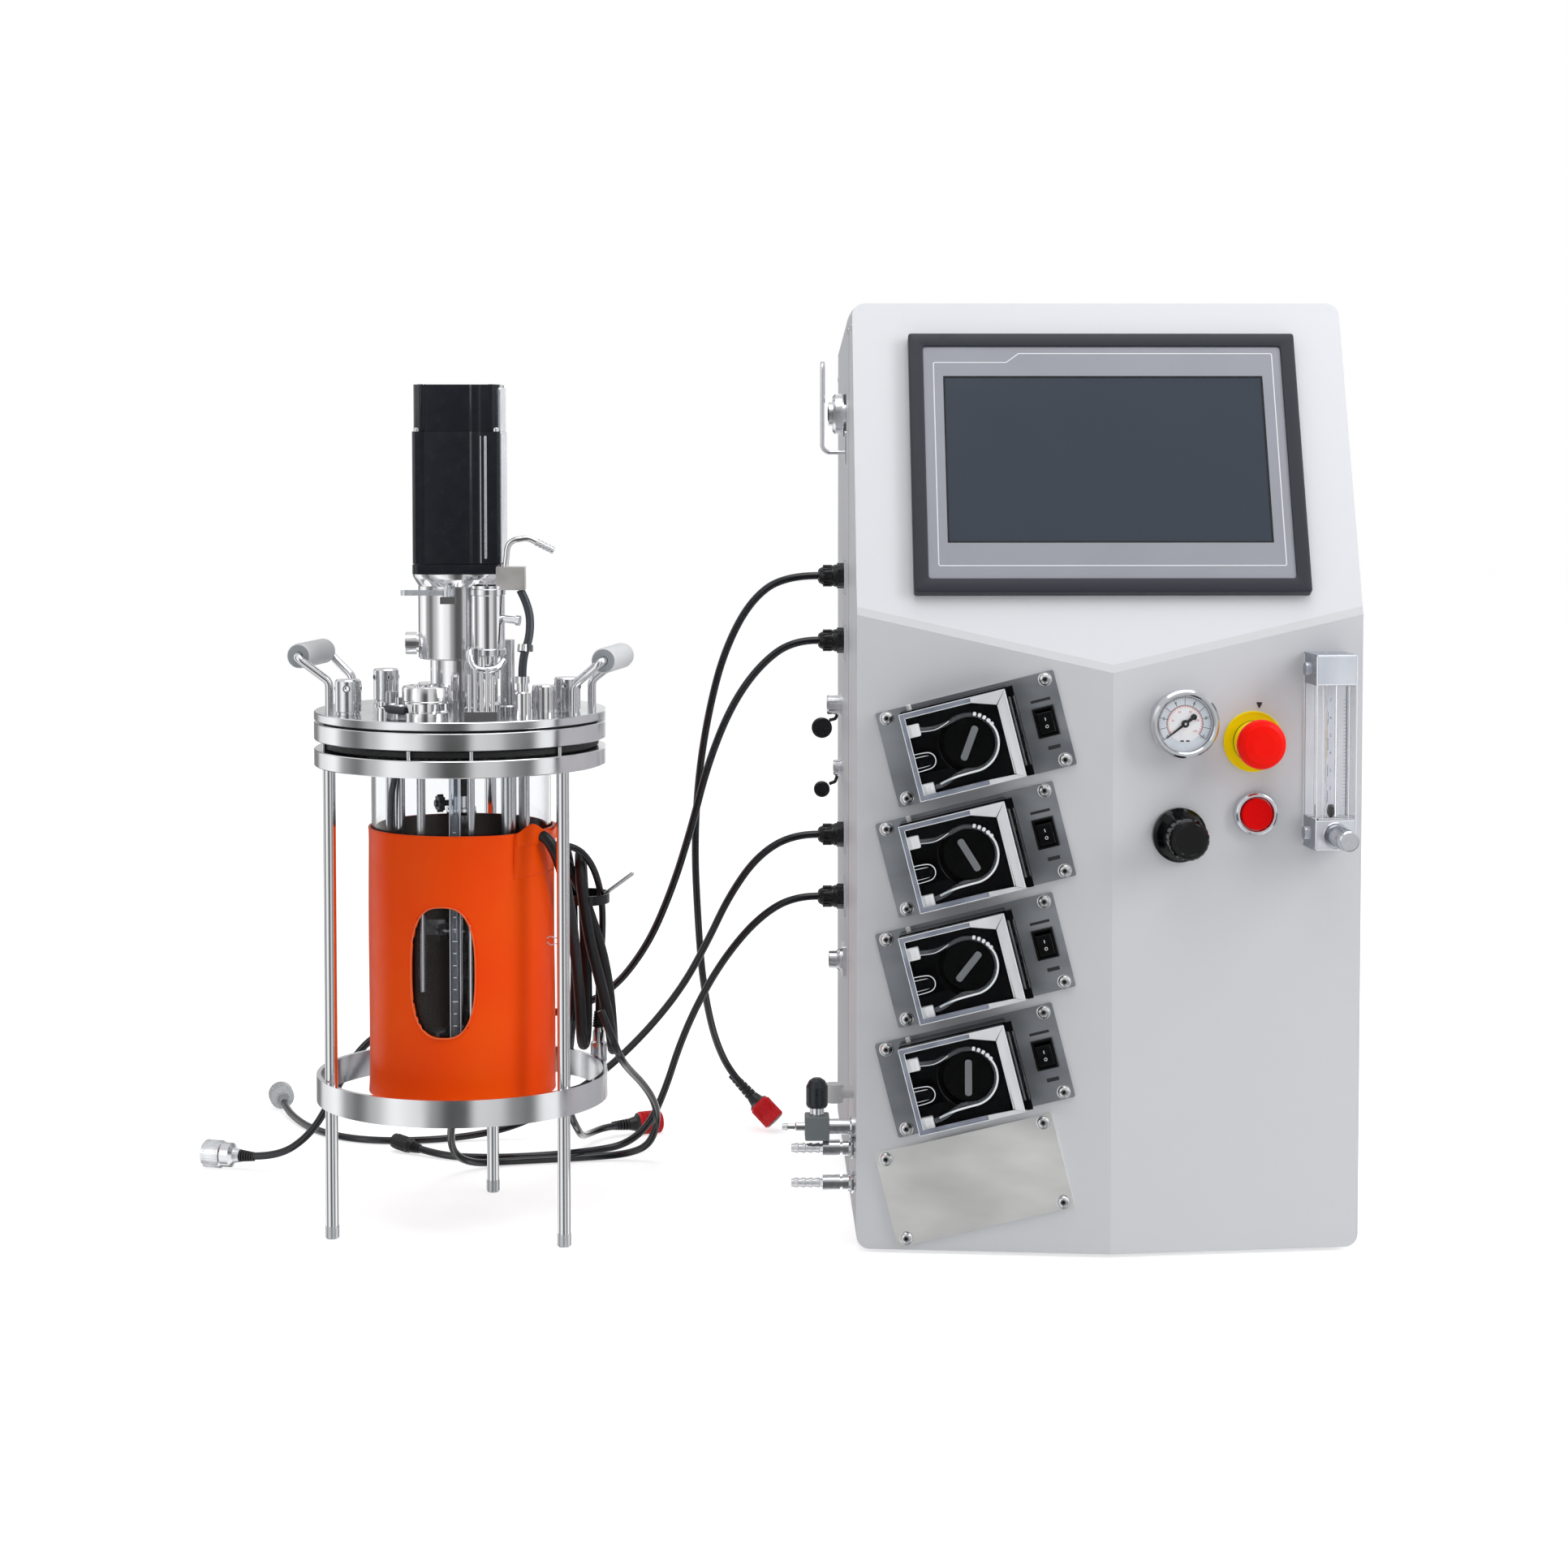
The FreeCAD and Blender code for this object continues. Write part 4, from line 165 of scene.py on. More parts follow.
# The room as steel mirrors it, by compass bearing from the front: lamp, screen, wall.
ROOM_LEVEL = 0.42
ROOM_PEAK = 1.5
ROOM_BANDS = [(-180, 0.95), (-164, 0.30), (-148, 0.24), (-136, 1.05), (-112, 1.40),
              (-98, 0.45), (-84, 0.22), (-68, 0.70), (-50, 1.35), (-30, 1.10), (-18, 0.42),
              (-6, 0.12), (7, 0.14), (16, 0.95), (32, 0.85), (46, 0.36), (60, 0.22),
              (72, 1.25), (100, 1.45), (114, 0.40), (132, 0.22), (152, 0.60), (180, 0.95)]
CEILING = (0.6, 0.6, 0.6, 1)
world = bpy.data.worlds.new("room")
bpy.context.scene.world = world
world.use_nodes = True
room = world.node_tree
way = add_node(room, "TexCoord").outputs["Generated"]
apart = add_node(room, "SeparateXYZ", {0: way})
forward = add_node(room, "Math", {0: apart.outputs["Y"], 1: -1}, operation="MULTIPLY")
angle = add_node(room, "Math", {0: apart.outputs["X"], 1: forward.outputs[0]},
                 operation="ARCTAN2")
turn = add_node(room, "MapRange", {"Value": angle.outputs[0], "From Min": -math.pi,
                                   "From Max": math.pi})
bands = add_node(room, "ValToRGB", {"Fac": turn.outputs["Result"]})
stops = bands.color_ramp.elements
bands.color_ramp.interpolation = "EASE"
for i, (degrees, level) in enumerate(ROOM_BANDS):
    at = (degrees + 180) / 360
    stop = stops[0] if i == 0 else stops.new(at)
    stop.position = at
    stop.color = (level / ROOM_PEAK, level / ROOM_PEAK, level / ROOM_PEAK, 1)
# Overhead the bands fade into the ceiling's even light.
overhead = add_node(room, "MapRange", {"Value": apart.outputs["Z"], "From Min": 0.25,
                                       "From Max": 0.75})
blend = add_node(room, "Mix", {"Factor": overhead.outputs["Result"],
                               "A": bands.outputs["Color"], "B": CEILING}, data_type="RGBA")
walls = add_node(room, "Background", {"Color": WHITE, "Strength": ROOM_LEVEL})
sight = add_node(room, "Background", {"Color": WHITE, "Strength": 1.0})
mirrored = add_node(room, "Background", {"Color": blend.outputs["Result"],
                                         "Strength": ROOM_PEAK})
direct = switch(room, SEEN_RAYS, walls, sight)
room.links.new(switch(room, ("Glossy Depth",), direct, mirrored).outputs[0],
               room.nodes["World Output"].inputs["Surface"])
# The bench shows nearly white, less the object's own soft shadow, and steel looks past it
# to the room.
BENCH_GLOW = 0.62
bench = Finish("bench", "F2F2F3", 0.9, shine=0.0)
lift = add_node(bench.tree, "Math", {0: any_ray(bench.tree, SEEN_RAYS), 1: BENCH_GLOW},
                operation="MULTIPLY")
bench.shader.inputs["Emission Color"].default_value = WHITE
bench.tree.links.new(lift.outputs[0], bench.shader.inputs["Emission Strength"])
unseen = add_node(bench.tree, "BsdfTransparent")
bench.tree.links.new(switch(bench.tree, ("Is Glossy Ray",), bench.shader, unseen).outputs[0],
                     bench.tree.nodes["Material Output"].inputs["Surface"])
bpy.ops.mesh.primitive_plane_add(size=1, location=(0, 2, 0))
bench_top = bpy.context.object
bench_top.name = "bench_top"
bench_top.scale = (16, 16, 1)
bench_top.data.materials.append(bench.made)
# Soft boxes: name, size, place, the point that it faces, watts
for name, size, place, aim, watts in (
        ("top_lamp", (2.2, 1.6), (0.3, -0.5, 2.5), (0, 0, 0.3), 24),
        ("right_lamp", (0.9, 1.8), (2.3, -1.2, 1.5), (0.2, 0, 0.3), 28),
        ("left_lamp", (0.7, 1.8), (-2.1, -1.4, 1.2), (-0.2, 0, 0.3), 3)):
    lamp = bpy.data.lights.new(name, "AREA")
    lamp.shape = "RECTANGLE"
    lamp.size, lamp.size_y = size
    lamp.energy = watts
    hung = bpy.data.objects.new(name, lamp)
    hung.location = place
    hung.rotation_euler = (Vector(aim) - Vector(place)).to_track_quat("-Z", "Y").to_euler()
    bpy.context.collection.objects.link(hung)


# ---- Cabinet shells
# Two folded sheet-steel halves and the steel prow below the leaning face, powder coated
# off-white.  They meet at a seam behind the prow and are screwed from the sides.
nodes = frame["nodes"]
MM = Matrix.Scale(0.001, 4)
HERE = Matrix()


def dress(finish, *names):
    """Give CAD nodes a finish."""
    for name in names:
        slots = nodes[name].data.materials
        slots.clear()
        slots.append(finish.made)


def shift(x=0.0, y=0.0, z=0.0):
    return Matrix.Translation((x, y, z))


def turned_about(axis, degrees):
    return Matrix.Rotation(math.radians(degrees), 4, axis)


def polar(reach, degrees):
    return reach * math.cos(math.radians(degrees)), reach * math.sin(math.radians(degrees))


def oblong(left, right, low, high, corner=0.0, steps=4):
    """The outline of a rectangle, its corners rounded."""
    if not corner:
        return [(left, low), (right, low), (right, high), (left, high)]
    points = []
    for x, z, start in ((right - corner, low + corner, -90), (right - corner, high - corner, 0),
                        (left + corner, high - corner, 90), (left + corner, low + corner, 180)):
        for i in range(steps + 1):
            along, up = polar(corner, start + 90 * i / steps)
            points.append((x + along, z + up))
    return points


class Shape:
    """A mesh in millimetres, built from slabs and turned parts."""

    def __init__(self):
        self.mesh = bmesh.new()

    def join(self, made, place=None):
        if place:
            made.transform(place)
        data = bpy.data.meshes.new("spare")
        made.to_mesh(data)
        made.free()
        self.mesh.from_mesh(data)
        bpy.data.meshes.remove(data)
        return self

    def slab(self, corners, depth, bevel=0.0, place=None):
        """A face drawn out along a depth."""
        made = bmesh.new()
        floor = made.faces.new([made.verts.new(corner) for corner in corners])
        grown = bmesh.ops.extrude_face_region(made, geom=[floor])["geom"]
        bmesh.ops.translate(made, vec=depth,
                            verts=[v for v in grown if isinstance(v, bmesh.types.BMVert)])
        bmesh.ops.recalc_face_normals(made, faces=made.faces)
        if bevel:
            bmesh.ops.bevel(made, geom=made.edges[:], offset=bevel, segments=2,
                            affect="EDGES", profile=0.6, clamp_overlap=True)
        return self.join(made, place)

    def prism(self, outline, low, high, bevel=0.0, flat="XZ", place=None):
        """A slab between two depths; outline is a list of corners in the flat plane."""
        if flat == "XZ":
            corners, depth = [(x, low, z) for x, z in outline], (0, high - low, 0)
        else:
            corners, depth = [(x, z, low) for x, z in outline], (0, 0, high - low)
        return self.slab(corners, depth, bevel, place)

    def ribs(self, count, outline, low, high, bevel=0.0, flat="XY", place=HERE):
        """The same slab again and again round an axis."""
        for k in range(count):
            about = turned_about("Z" if flat == "XY" else "Y", 360 * k / count)
            self.prism(outline, low, high, bevel, flat, place @ about)
        return self

    def spun(self, profile, place=None, steps=40):
        """A turned part: (radius, height) points about the Z axis."""
        made = bmesh.new()
        rings = []
        for radius, height in profile:
            count = steps if radius > 1e-6 else 1
            rings.append([made.verts.new((*polar(radius, 360 * i / steps), height))
                          for i in range(count)])
        for low, high in zip(rings, rings[1:]):
            for i in range(steps):
                k = (i + 1) % steps
                corners = dict.fromkeys([low[i % len(low)], low[k % len(low)],
                                         high[k % len(high)], high[i % len(high)]])
                if len(corners) > 2:
                    made.faces.new(list(corners))
        return self.join(made, place)

    def strip(self, outer, inner, low, high, bevel=0.0):
        """A flat frame between two outlines that have the same number of corners."""
        made = bmesh.new()
        (back_out, back_in), (front_out, front_in) = [
            [[made.verts.new((x, y, z)) for x, z in loop] for loop in (outer, inner)]
            for y in (low, high)]
        for i in range(len(outer)):
            k = (i + 1) % len(outer)
            made.faces.new([back_out[i], back_out[k], back_in[k], back_in[i]])
            made.faces.new([front_out[i], front_in[i], front_in[k], front_out[k]])
            made.faces.new([back_out[i], front_out[i], front_out[k], back_out[k]])
            made.faces.new([back_in[i], back_in[k], front_in[k], front_in[i]])
        bmesh.ops.recalc_face_normals(made, faces=made.faces)
        if bevel:
            rims = [edge for edge in made.edges
                    if all(abs(v.co.y - high) < 1e-4 for v in edge.verts)
                    and abs(sum(f.normal.y for f in edge.link_faces)) < 1.5
                    and not all(abs(f.normal.y) > 0.9 for f in edge.link_faces)]
            bmesh.ops.bevel(made, geom=rims, offset=bevel, segments=3, affect="EDGES",
                            profile=0.5, clamp_overlap=True)
        return self.join(made)

    def show(self, name, finish, place=HERE, body="base", sharp=35):
        """A shown piece, on the body that it moves with."""
        data = bpy.data.meshes.new(name)
        bmesh.ops.recalc_face_normals(self.mesh, faces=self.mesh.faces)
        self.mesh.to_mesh(data)
        self.mesh.free()
        data.transform(MM @ place)
        data.materials.append(finish.made)
        data.shade_smooth()
        data.set_sharp_from_angle(angle=math.radians(sharp))
        shown = bpy.data.objects.new(name, data)
        bpy.context.collection.objects.link(shown)
        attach(shown, body)
        return shown


COAT_ROUGH, COAT_GRAIN = (60, 0.36, 0.46), (900, 0.06, 0.25, 2)
dress(Finish("shell_coat", "E4E6EB", COAT_ROUGH, bumps=COAT_GRAIN), "front_housing",
      "rear_housing")
# The prow's coat is a shade greyer than the shell's: painted shade for its upright faces, which
# take less light than the leaning face.
dress(Finish("prow_coat_painted_shade", "D8DADE", COAT_ROUGH, bumps=COAT_GRAIN), "lower_fascia")
shell_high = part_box("rear_housing")[1]
front_low, front_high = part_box("front_housing")
cabinet_left, cabinet_right = front_low.x * 1000, front_high.x * 1000
seam_y, seam_top = front_high.y * 1000, shell_high.z * 1000
shell_back = shell_high.y * 1000
# A grey sealing cord fills the seam between the halves, along both sides and the top.
SEAM_PROUD = 0.15
seam_span = (seam_y - 0.55, seam_y + 0.55)
seam = Shape()
for left, right in ((cabinet_left - SEAM_PROUD, cabinet_left + 0.3),
                    (cabinet_right - 0.3, cabinet_right + SEAM_PROUD)):
    seam.prism(oblong(left, right, 4, seam_top - 8), *seam_span)
seam.prism(oblong(cabinet_left + 8, cabinet_right - 8, seam_top - 0.4, seam_top + SEAM_PROUD),
           *seam_span)
seam.show("seam_cord", Finish("dark_gap", "8B8E96", (200, 0.5, 0.7)))
steel = Finish("steel", "CFD0D3", (90, 0.15, 0.25, (1, 1, 6)), 1.0)
# Painted shade: a near-black finish for the insides of sockets, mouths and gaps, and for the
# window's edge.
recess_shade = Finish("recess_shade", "141518", (300, 0.7, 0.9))
# Countersunk screws through the side walls; their sockets are dark hexagons of painted shade.
screws, sockets = Shape(), Shape()
for x, pitch in ((cabinet_left, -90), (cabinet_right, 90)):
    for y, z in ((-58, 646), (-58, 30), (seam_y + 9, 30), (seam_y + 9, seam_top - 12),
                 (shell_back - 14, 30), (shell_back - 14, 612)):
        at = shift(x, y, z) @ turned_about("Y", pitch)
        screws.spun([(3.1, -0.5), (3.1, 0.25), (2.7, 0.5), (0, 0.6)], at, 20)
        sockets.spun([(1.5, 0.3), (1.5, 0.66), (0, 0.66)], at, 6)
screws.show("wall_screws", steel)
sockets.show("wall_screw_sockets", recess_shade)

# ---- Feet
# Black rubber pads screwed under the cabinet, and a clear soft cap pushed on each of the
# stand's rods.


def dress_where(name, finish, test, place=HERE):
    """Another finish for a CAD node's faces whose middle and normal, seen from a place in
    millimetres, pass a test."""
    data = nodes[name].data
    data.materials.append(finish.made)
    inside = (MM @ place).inverted()
    facing = place.to_3x3().inverted()
    for face in data.polygons:
        if test(inside @ face.center, facing @ face.normal):
            face.material_index = len(data.materials) - 1


dress(Finish("rubber", "1C1D1F", 0.75, bumps=(1500, 0.08, 0.4)), "bench_feet")
dress_where("bench_feet", Finish("soft_cap", "C6C9CC", (400, 0.2, 0.3), 0.5),
            lambda middle, normal: middle.x < 0)

# ---- Touch panel
# A leaning operator panel: a dark moulded case with a raised rim, a printed grey sheet
# with a fine white line round the window, and dark glass behind it.
CABINET_DEEP = 400
cabinet_front = shell_back - CABINET_DEEP
cabinet_mid = (cabinet_left + cabinet_right) / 2
FACE_HEIGHT = 445
LEAN = 24.7
PANEL_OFF = 2
PANEL_UP = 113
PANEL_WIDE = 275
PANEL_HIGH = 198
PANEL_THICK = 6
RIM_WIDE = 10.2
SCREEN_WIDE = 226
SCREEN_HIGH = 127
SCREEN_RISE = 2
panel_in, panel_up = polar(PANEL_UP, 90 - LEAN)


def centred(wide, high, corner=0.0):
    return oblong(-wide / 2, wide / 2, -high / 2, high / 2, corner)


on_panel = (shift(cabinet_mid + PANEL_OFF, cabinet_front + panel_in, FACE_HEIGHT + panel_up)
            @ turned_about("X", -LEAN))
panel_plastic = Finish("panel_plastic", "262A33", (120, 0.38, 0.5), shine=0.35,
                       bumps=(2200, 0.05, 0.3, 2))
dress(panel_plastic, "panel_housing")
dress(Finish("screen_glass", "3A414C", (25, 0.1, 0.16), shine=0.25), "panel_screen")
Shape().strip(centred(PANEL_WIDE + 0.3, PANEL_HIGH + 0.3, 2),
              centred(PANEL_WIDE - 2 * RIM_WIDE, PANEL_HIGH - 2 * RIM_WIDE, 2),
              -0.2, -PANEL_THICK - 1.7, 0.9).show("panel_rim", panel_plastic, on_panel)


def screen_outline(wider):
    low = SCREEN_RISE - SCREEN_HIGH / 2
    return oblong(-SCREEN_WIDE / 2 - wider, SCREEN_WIDE / 2 + wider, low - wider,
                  low + SCREEN_HIGH + wider, 0.4)


def inset(points, by):
    """An outline moved inwards, its corners mitred; the outline runs anticlockwise."""
    moved = []
    for i, (x, z) in enumerate(points):
        here = Vector((x, z))
        first = (here - Vector(points[i - 1])).normalized()
        second = (Vector(points[(i + 1) % len(points)]) - here).normalized()
        way = Vector((-first.y - second.y, first.x + second.x)).normalized()
        reach = by / max(0.3, way.dot(Vector((-first.y, first.x))))
        moved.append((x + way.x * reach, z + way.y * reach))
    return moved


Shape().strip(centred(PANEL_WIDE - 2 * RIM_WIDE + 0.4, PANEL_HIGH - 2 * RIM_WIDE + 0.4, 2),
              screen_outline(0), -PANEL_THICK + 0.2, -PANEL_THICK - 0.35).show(
    "panel_sheet", Finish("printed_sheet", "989BA4", (300, 0.4, 0.52),
                          tint=(12, "94979F", "9C9FA9")), on_panel)
# The line runs round the window with a step near its upper left corner.
LINE_WIDE = 0.75
line_left, line_right = 17 - PANEL_WIDE / 2, PANEL_WIDE / 2 - 16
line_low, line_high = 19.5 - PANEL_HIGH / 2, PANEL_HIGH / 2 - 15
line = [(line_left, line_low + 1), (line_left + 1, line_low), (line_right - 1, line_low),
        (line_right, line_low + 1), (line_right, line_high - 1), (line_right - 1, line_high),
        (line_left + 61, line_high), (line_left + 52, line_high - 7),
        (line_left + 1, line_high - 7), (line_left, line_high - 8)]
white_print = Finish("white_print", "E6E8EC", (300, 0.45, 0.6))
Shape().strip(line, inset(line, LINE_WIDE), -PANEL_THICK - 0.3, -PANEL_THICK - 0.42).show(
    "panel_line", white_print, on_panel)
# A dark band round the window's edge is painted shade.
Shape().strip(screen_outline(0.5), inset(screen_outline(0), 0.7), -PANEL_THICK + 0.1,
              -PANEL_THICK - 0.4).show("panel_window_edge", recess_shade, on_panel)

# ---- Pump plates and their screws
# Five brushed stainless plates, set across the left facet at a slant; each is held by
# four button-head socket screws, and the lowest one is a blank.
PLATE_TILT = 14.4
PLATE_THICK = 2.5
PLATE_LONG = 126
PLATE_HIGH = 67
RACE_X = -4
PUMPS = (1, 2, 3, 4)
OUTWARD = turned_about("X", 90)
joints = {joint["name"]: joint for joint in frame["joints"]}


def brushed(name, dark, light):
    """Stainless sheet with its grain along the slanted plates."""
    made = Finish(name, light, (9, 0.34, 0.62), 1.0, tint=(11, dark, light, (1, 1, 0.4)),
                  streak=0.3)
    grain = made.noise(14, (1, 1, 14 / 1900), 4, (0, math.radians(PLATE_TILT), 0))
    made.relief(grain, 0.02, 0.3)
    return made


dress(brushed("plate_steel", "7B7F85", "AEB2B8"), "side_plates")
screw_steel = Finish("screw_steel", "C6C7C9", (500, 0.2, 0.34), 1.0)
dress(screw_steel, "plate_screws")


def on_plate(number_down):
    """The frame of a pump from the top down: X along its plate, -Y outward."""
    spin = joints["pump_rotor_%d_spin" % number_down]
    inward = -Vector(spin["axis"])
    upward = Vector(joints["pump_cover_%d_swing" % number_down]["axis"])
    frame_of = Matrix((inward.cross(upward), inward, upward)).transposed().to_4x4()
    return shift(*[v * 1000 for v in spin["pos_m"]]) @ frame_of @ shift(-RACE_X)


plates = [on_plate(i) for i in PUMPS]
blank_plate = shift(*(plates[3].translation - plates[2].translation)) @ plates[3]
# The blank plate gets a lighter copy of the same stainless: painted light.
dress_where("side_plates", brushed("blank_steel_painted_light", "D2D2D1", "F8F8F7"), lambda middle, normal: (
    abs(middle.x) < PLATE_LONG / 2 + 0.5 and abs(middle.z) < PLATE_HIGH / 2 + 0.5), blank_plate)
SCREW_X = PLATE_LONG / 2 - 7
SCREW_Z = PLATE_HIGH / 2 - 5
# The screws' sockets are dark hexagons of painted shade.
washers, sockets = Shape(), Shape()
for plate in plates + [blank_plate]:
    for x in (-SCREW_X, SCREW_X):
        for z in (-SCREW_Z, SCREW_Z):
            at = plate @ shift(x, -PLATE_THICK, z) @ OUTWARD
            washers.spun([(2.2, 0), (4.9, 0), (4.9, 0.3), (4.6, 0.45), (2.2, 0.45)], at, 28)
            sockets.spun([(1.4, 0.92), (1.4, 1.0), (0, 1.0)], at, 6)
washers.show("plate_washers", screw_steel)
sockets.show("plate_screw_sockets", recess_shade)
# The short legends over and under each switch are plain dark bars.
dark_print = Finish("dark_print", "232427", (400, 0.5, 0.7))
for i, plate in zip(PUMPS, plates):
    legends = Shape()
    for bar in ((42.6, 56.4, 14.2, 16.1), (46.6, 55.2, -19.6, -17.0)):
        legends.prism(oblong(*bar, 0.3), -PLATE_THICK - 0.12, -PLATE_THICK + 0.1)
    legends.show("switch_legends_%d" % i, dark_print, plate)

# ---- Pump heads
# Black moulded heads.  A clear silicone tube comes in through a white clamp, runs round
# the race outside the rollers and leaves by a second clamp; a latch sits between them.
HEAD_FACE = 18.5
HEAD_LEFT = -46
head_black = Finish("head_black", "0A0B0E", (150, 0.1, 0.2), shine=0.12,
                    bumps=(1300, 0.02, 0.2, 2))
dress(head_black, "pump_heads")
dress(Finish("motor_can", "8D8F92", (200, 0.3, 0.42), 1.0), "pump_motors")
clamp_white = Finish("clamp_white", "E4E6E8", (200, 0.34, 0.5), bumps=(900, 0.05, 0.3))
silicone = Finish("silicone", "E9EDF4", (600, 0.05, 0.12), clear=0.93, ior=1.2)
# Painted highlights: a bright white finish for edges, tube runs, ribs and rims where they catch
# the light, and a pale half-clear blue-white finish as painted light on the pump covers' lit
# edges.
painted_highlight = Finish("painted_highlight", "F2F5FA", (700, 0.08, 0.18))
edge_painted_light = Finish("edge_painted_light", "A9B1C2", (500, 0.1, 0.2), clear=0.45, ior=1.3,
                   tint=(60, "8F97A8", "C3CAD8"))


def tube_along(name, points, radius, finish, place=HERE, steps=3, between=8):
    """A round tube on a smooth line through control points in millimetres."""
    curve = bpy.data.curves.new(name, "CURVE")
    curve.dimensions = "3D"
    line = curve.splines.new("NURBS")
    line.points.add(len(points) - 1)
    for point, at in zip(line.points, points):
        point.co = (*(MM @ place @ Vector(at)), 1)
        point.radius = radius * 0.001
    line.order_u = 3
    line.use_endpoint_u = True
    line.resolution_u = between
    curve.bevel_depth = 1.0
    curve.bevel_resolution = steps
    curve.use_fill_caps = True
    curve.materials.append(finish.made)
    made = bpy.data.objects.new(name, curve)
    bpy.context.collection.objects.link(made)
    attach(made, "base")
    return made


def turned(name, finish, profile, place=HERE, steps=40, body="base"):
    """A piece that is one turned part."""
    return Shape().spun(profile, None, steps).show(name, finish, place, body)


def on_race(reach, deep, degrees):
    """A point at an angle round the rotor's axis."""
    along, up = polar(reach, degrees)
    return (RACE_X + along, deep, up)


TUBE_RACE = 19.1 * 1.03
HIGHLIGHT_RACE = 20.2
tube_points = ([(HEAD_LEFT + 1.5, -20.4, 17.2), (-36, -20.4, 17.2), (-29, -20.3, 15.6),
                (-22, -19.8, 15.4)]
               + [on_race(TUBE_RACE, -16.6, a) for a in range(118, -119, -26)]
               + [(-22, -19.8, -21.0), (-29, -20.3, -23.4), (-36, -20.4, -24.2),
                  (HEAD_LEFT + 1.5, -20.4, -24.2)])
# Where the clear tube catches the light it is painted: a thin white core round the right of the
# race is a painted highlight, a fine white line along its upper run is a painted glint, and five
# short bright ribs at the upper right of the race are painted glints.
highlight_points = ([on_race(HIGHLIGHT_RACE, -19.4, a) for a in range(40, -101, -20)]
                  + [(-22, -20.6, -20.4), (-30, -20.8, -22.6)])
glint_points = [(-35, -21.6, 15.6), (-27, -21.4, 14.2), (-20, -21.0, 15.2), (-14, -20.4, 17.8)]
for i, plate in zip(PUMPS, plates):
    tube_along("pump_tube_%d" % i, tube_points, 1.75, silicone, plate)
    tube_along("pump_tube_pressed_%d" % i, highlight_points, 0.75, painted_highlight, plate, 2)
    tube_along("pump_tube_glint_%d" % i, glint_points, 0.3, painted_highlight, plate, 1)
    ribs = Shape()
    for a in (66, 56, 46, 36, 27):
        ribs.prism(centred(2.2, 2.6, 0.7), -20.4, -19.2, 0.3,
                   place=shift(*on_race(HIGHLIGHT_RACE, 0, a)) @ turned_about("Y", 90 - a))
    ribs.show("race_painted_glints_%d" % i, painted_highlight, plate)
    clamps = Shape()
    for z in (17.2, -24.2):
        clamps.prism(oblong(-45.5, -34.5, z - 4.2, z + 4.2, 0.8), -23.4, -HEAD_FACE + 0.1, 0.5)
        for x in (-43.2, -40, -36.8):
            clamps.prism(oblong(x - 0.45, x + 0.45, z - 3.2, z + 3.2), -23.8, -23.2, 0.15)
    clamps.spun([(1.7, 0), (1.7, 3.4), (1.3, 3.9), (0, 3.9)], shift(-39, -9, 30.6), 16)
    clamps.show("tube_clamps_%d" % i, clamp_white, plate)
    latch = Shape().prism(oblong(-45.5, -28, -11.5, 1.5, 6, 8), -20.2, -HEAD_FACE + 2, 0.6)
    latch.prism(oblong(-45.6, -31, -8.4, -1.6, 3, 6), -21.4, -20, 0.5)
    latch.show("tube_latch_%d" % i, head_black, plate)
    # Bright rims round the latch are painted highlights.
    for name, wide, near in (("outer", 6.1, -28.6), ("inner", 3.7, -31.2)):
        bend = [polar(wide, 90 - a) for a in range(0, 181, 45)]
        loop = [(-45.4, -20.4, -5 + wide)] + [(near - wide + x, -20.4, -5 + z) for x, z in bend]
        tube_along("latch_painted_glint_%s_%d" % (name, i), loop + [(-45.4, -20.4, -5 - wide)], 0.32,
                   painted_highlight, plate, 1)
    turned("race_rim_%d" % i, head_black, [(21.0, 0), (22.1, 0), (22.1, 0.28), (21.3, 0.28),
                                           (21.0, 0)],
           plate @ shift(RACE_X, -HEAD_FACE, 0) @ OUTWARD, 64)

# ---- Pump covers
# Clear acrylic trays on a hinge at the right.  Their edges are painted where they catch the
# light: pale strips and bright glints along the edges are painted highlights, and the broad
# chamfer along the hinge side and over the upper right corner is painted silver as a painted
# reflection.
COVER_FRONT = -26.8
COVER_RIGHT = 28.5
EDGE = 3.8
GLINT = 0.5
TOP, LOW = 30.75, -30.75
CHAMFER_PROUD = 0.75
CHAMFER_THICK = 0.5
dress(Finish("clear_acrylic", "FFFFFF", (80, 0.0, 0.01), clear=1.0, ior=1.1),
      *["pump_cover_%d" % i for i in PUMPS])
chamfer_painted_reflection = Finish("chamfer_painted_reflection", "F2F4F7", (30, 0.16, 0.24), 0.15,
                     tint=(40, "D6DAE0", "FCFDFF", (1, 1, 5)))
strip_boxes = ((HEAD_LEFT, HEAD_LEFT + EDGE, LOW, TOP), (HEAD_LEFT + EDGE, 4, TOP - EDGE, TOP),
               (HEAD_LEFT + EDGE, 3, LOW, LOW + EDGE))
glint_boxes = ((HEAD_LEFT, HEAD_LEFT + GLINT, LOW, TOP),
               (HEAD_LEFT + EDGE - GLINT, HEAD_LEFT + EDGE, LOW + EDGE, TOP - EDGE),
               (HEAD_LEFT, 4, TOP - GLINT, TOP),
               (HEAD_LEFT + EDGE, 4, TOP - EDGE, TOP - EDGE + GLINT),
               (HEAD_LEFT, 3, LOW, LOW + GLINT), (20.9, 21.8, -27, 21.2),
               (27.7, COVER_RIGHT, LOW + 1, TOP - 1))
chamfer_faces = [((4, TOP - EDGE), (4, TOP), (COVER_RIGHT, TOP), (20.6, 21.6)),
                 ((21.4, 21.6), (COVER_RIGHT, TOP), (COVER_RIGHT, LOW), (22.2, -27.6)),
                 ((21.6, -27.6), (COVER_RIGHT, LOW), (3, LOW), (3, LOW + EDGE))]
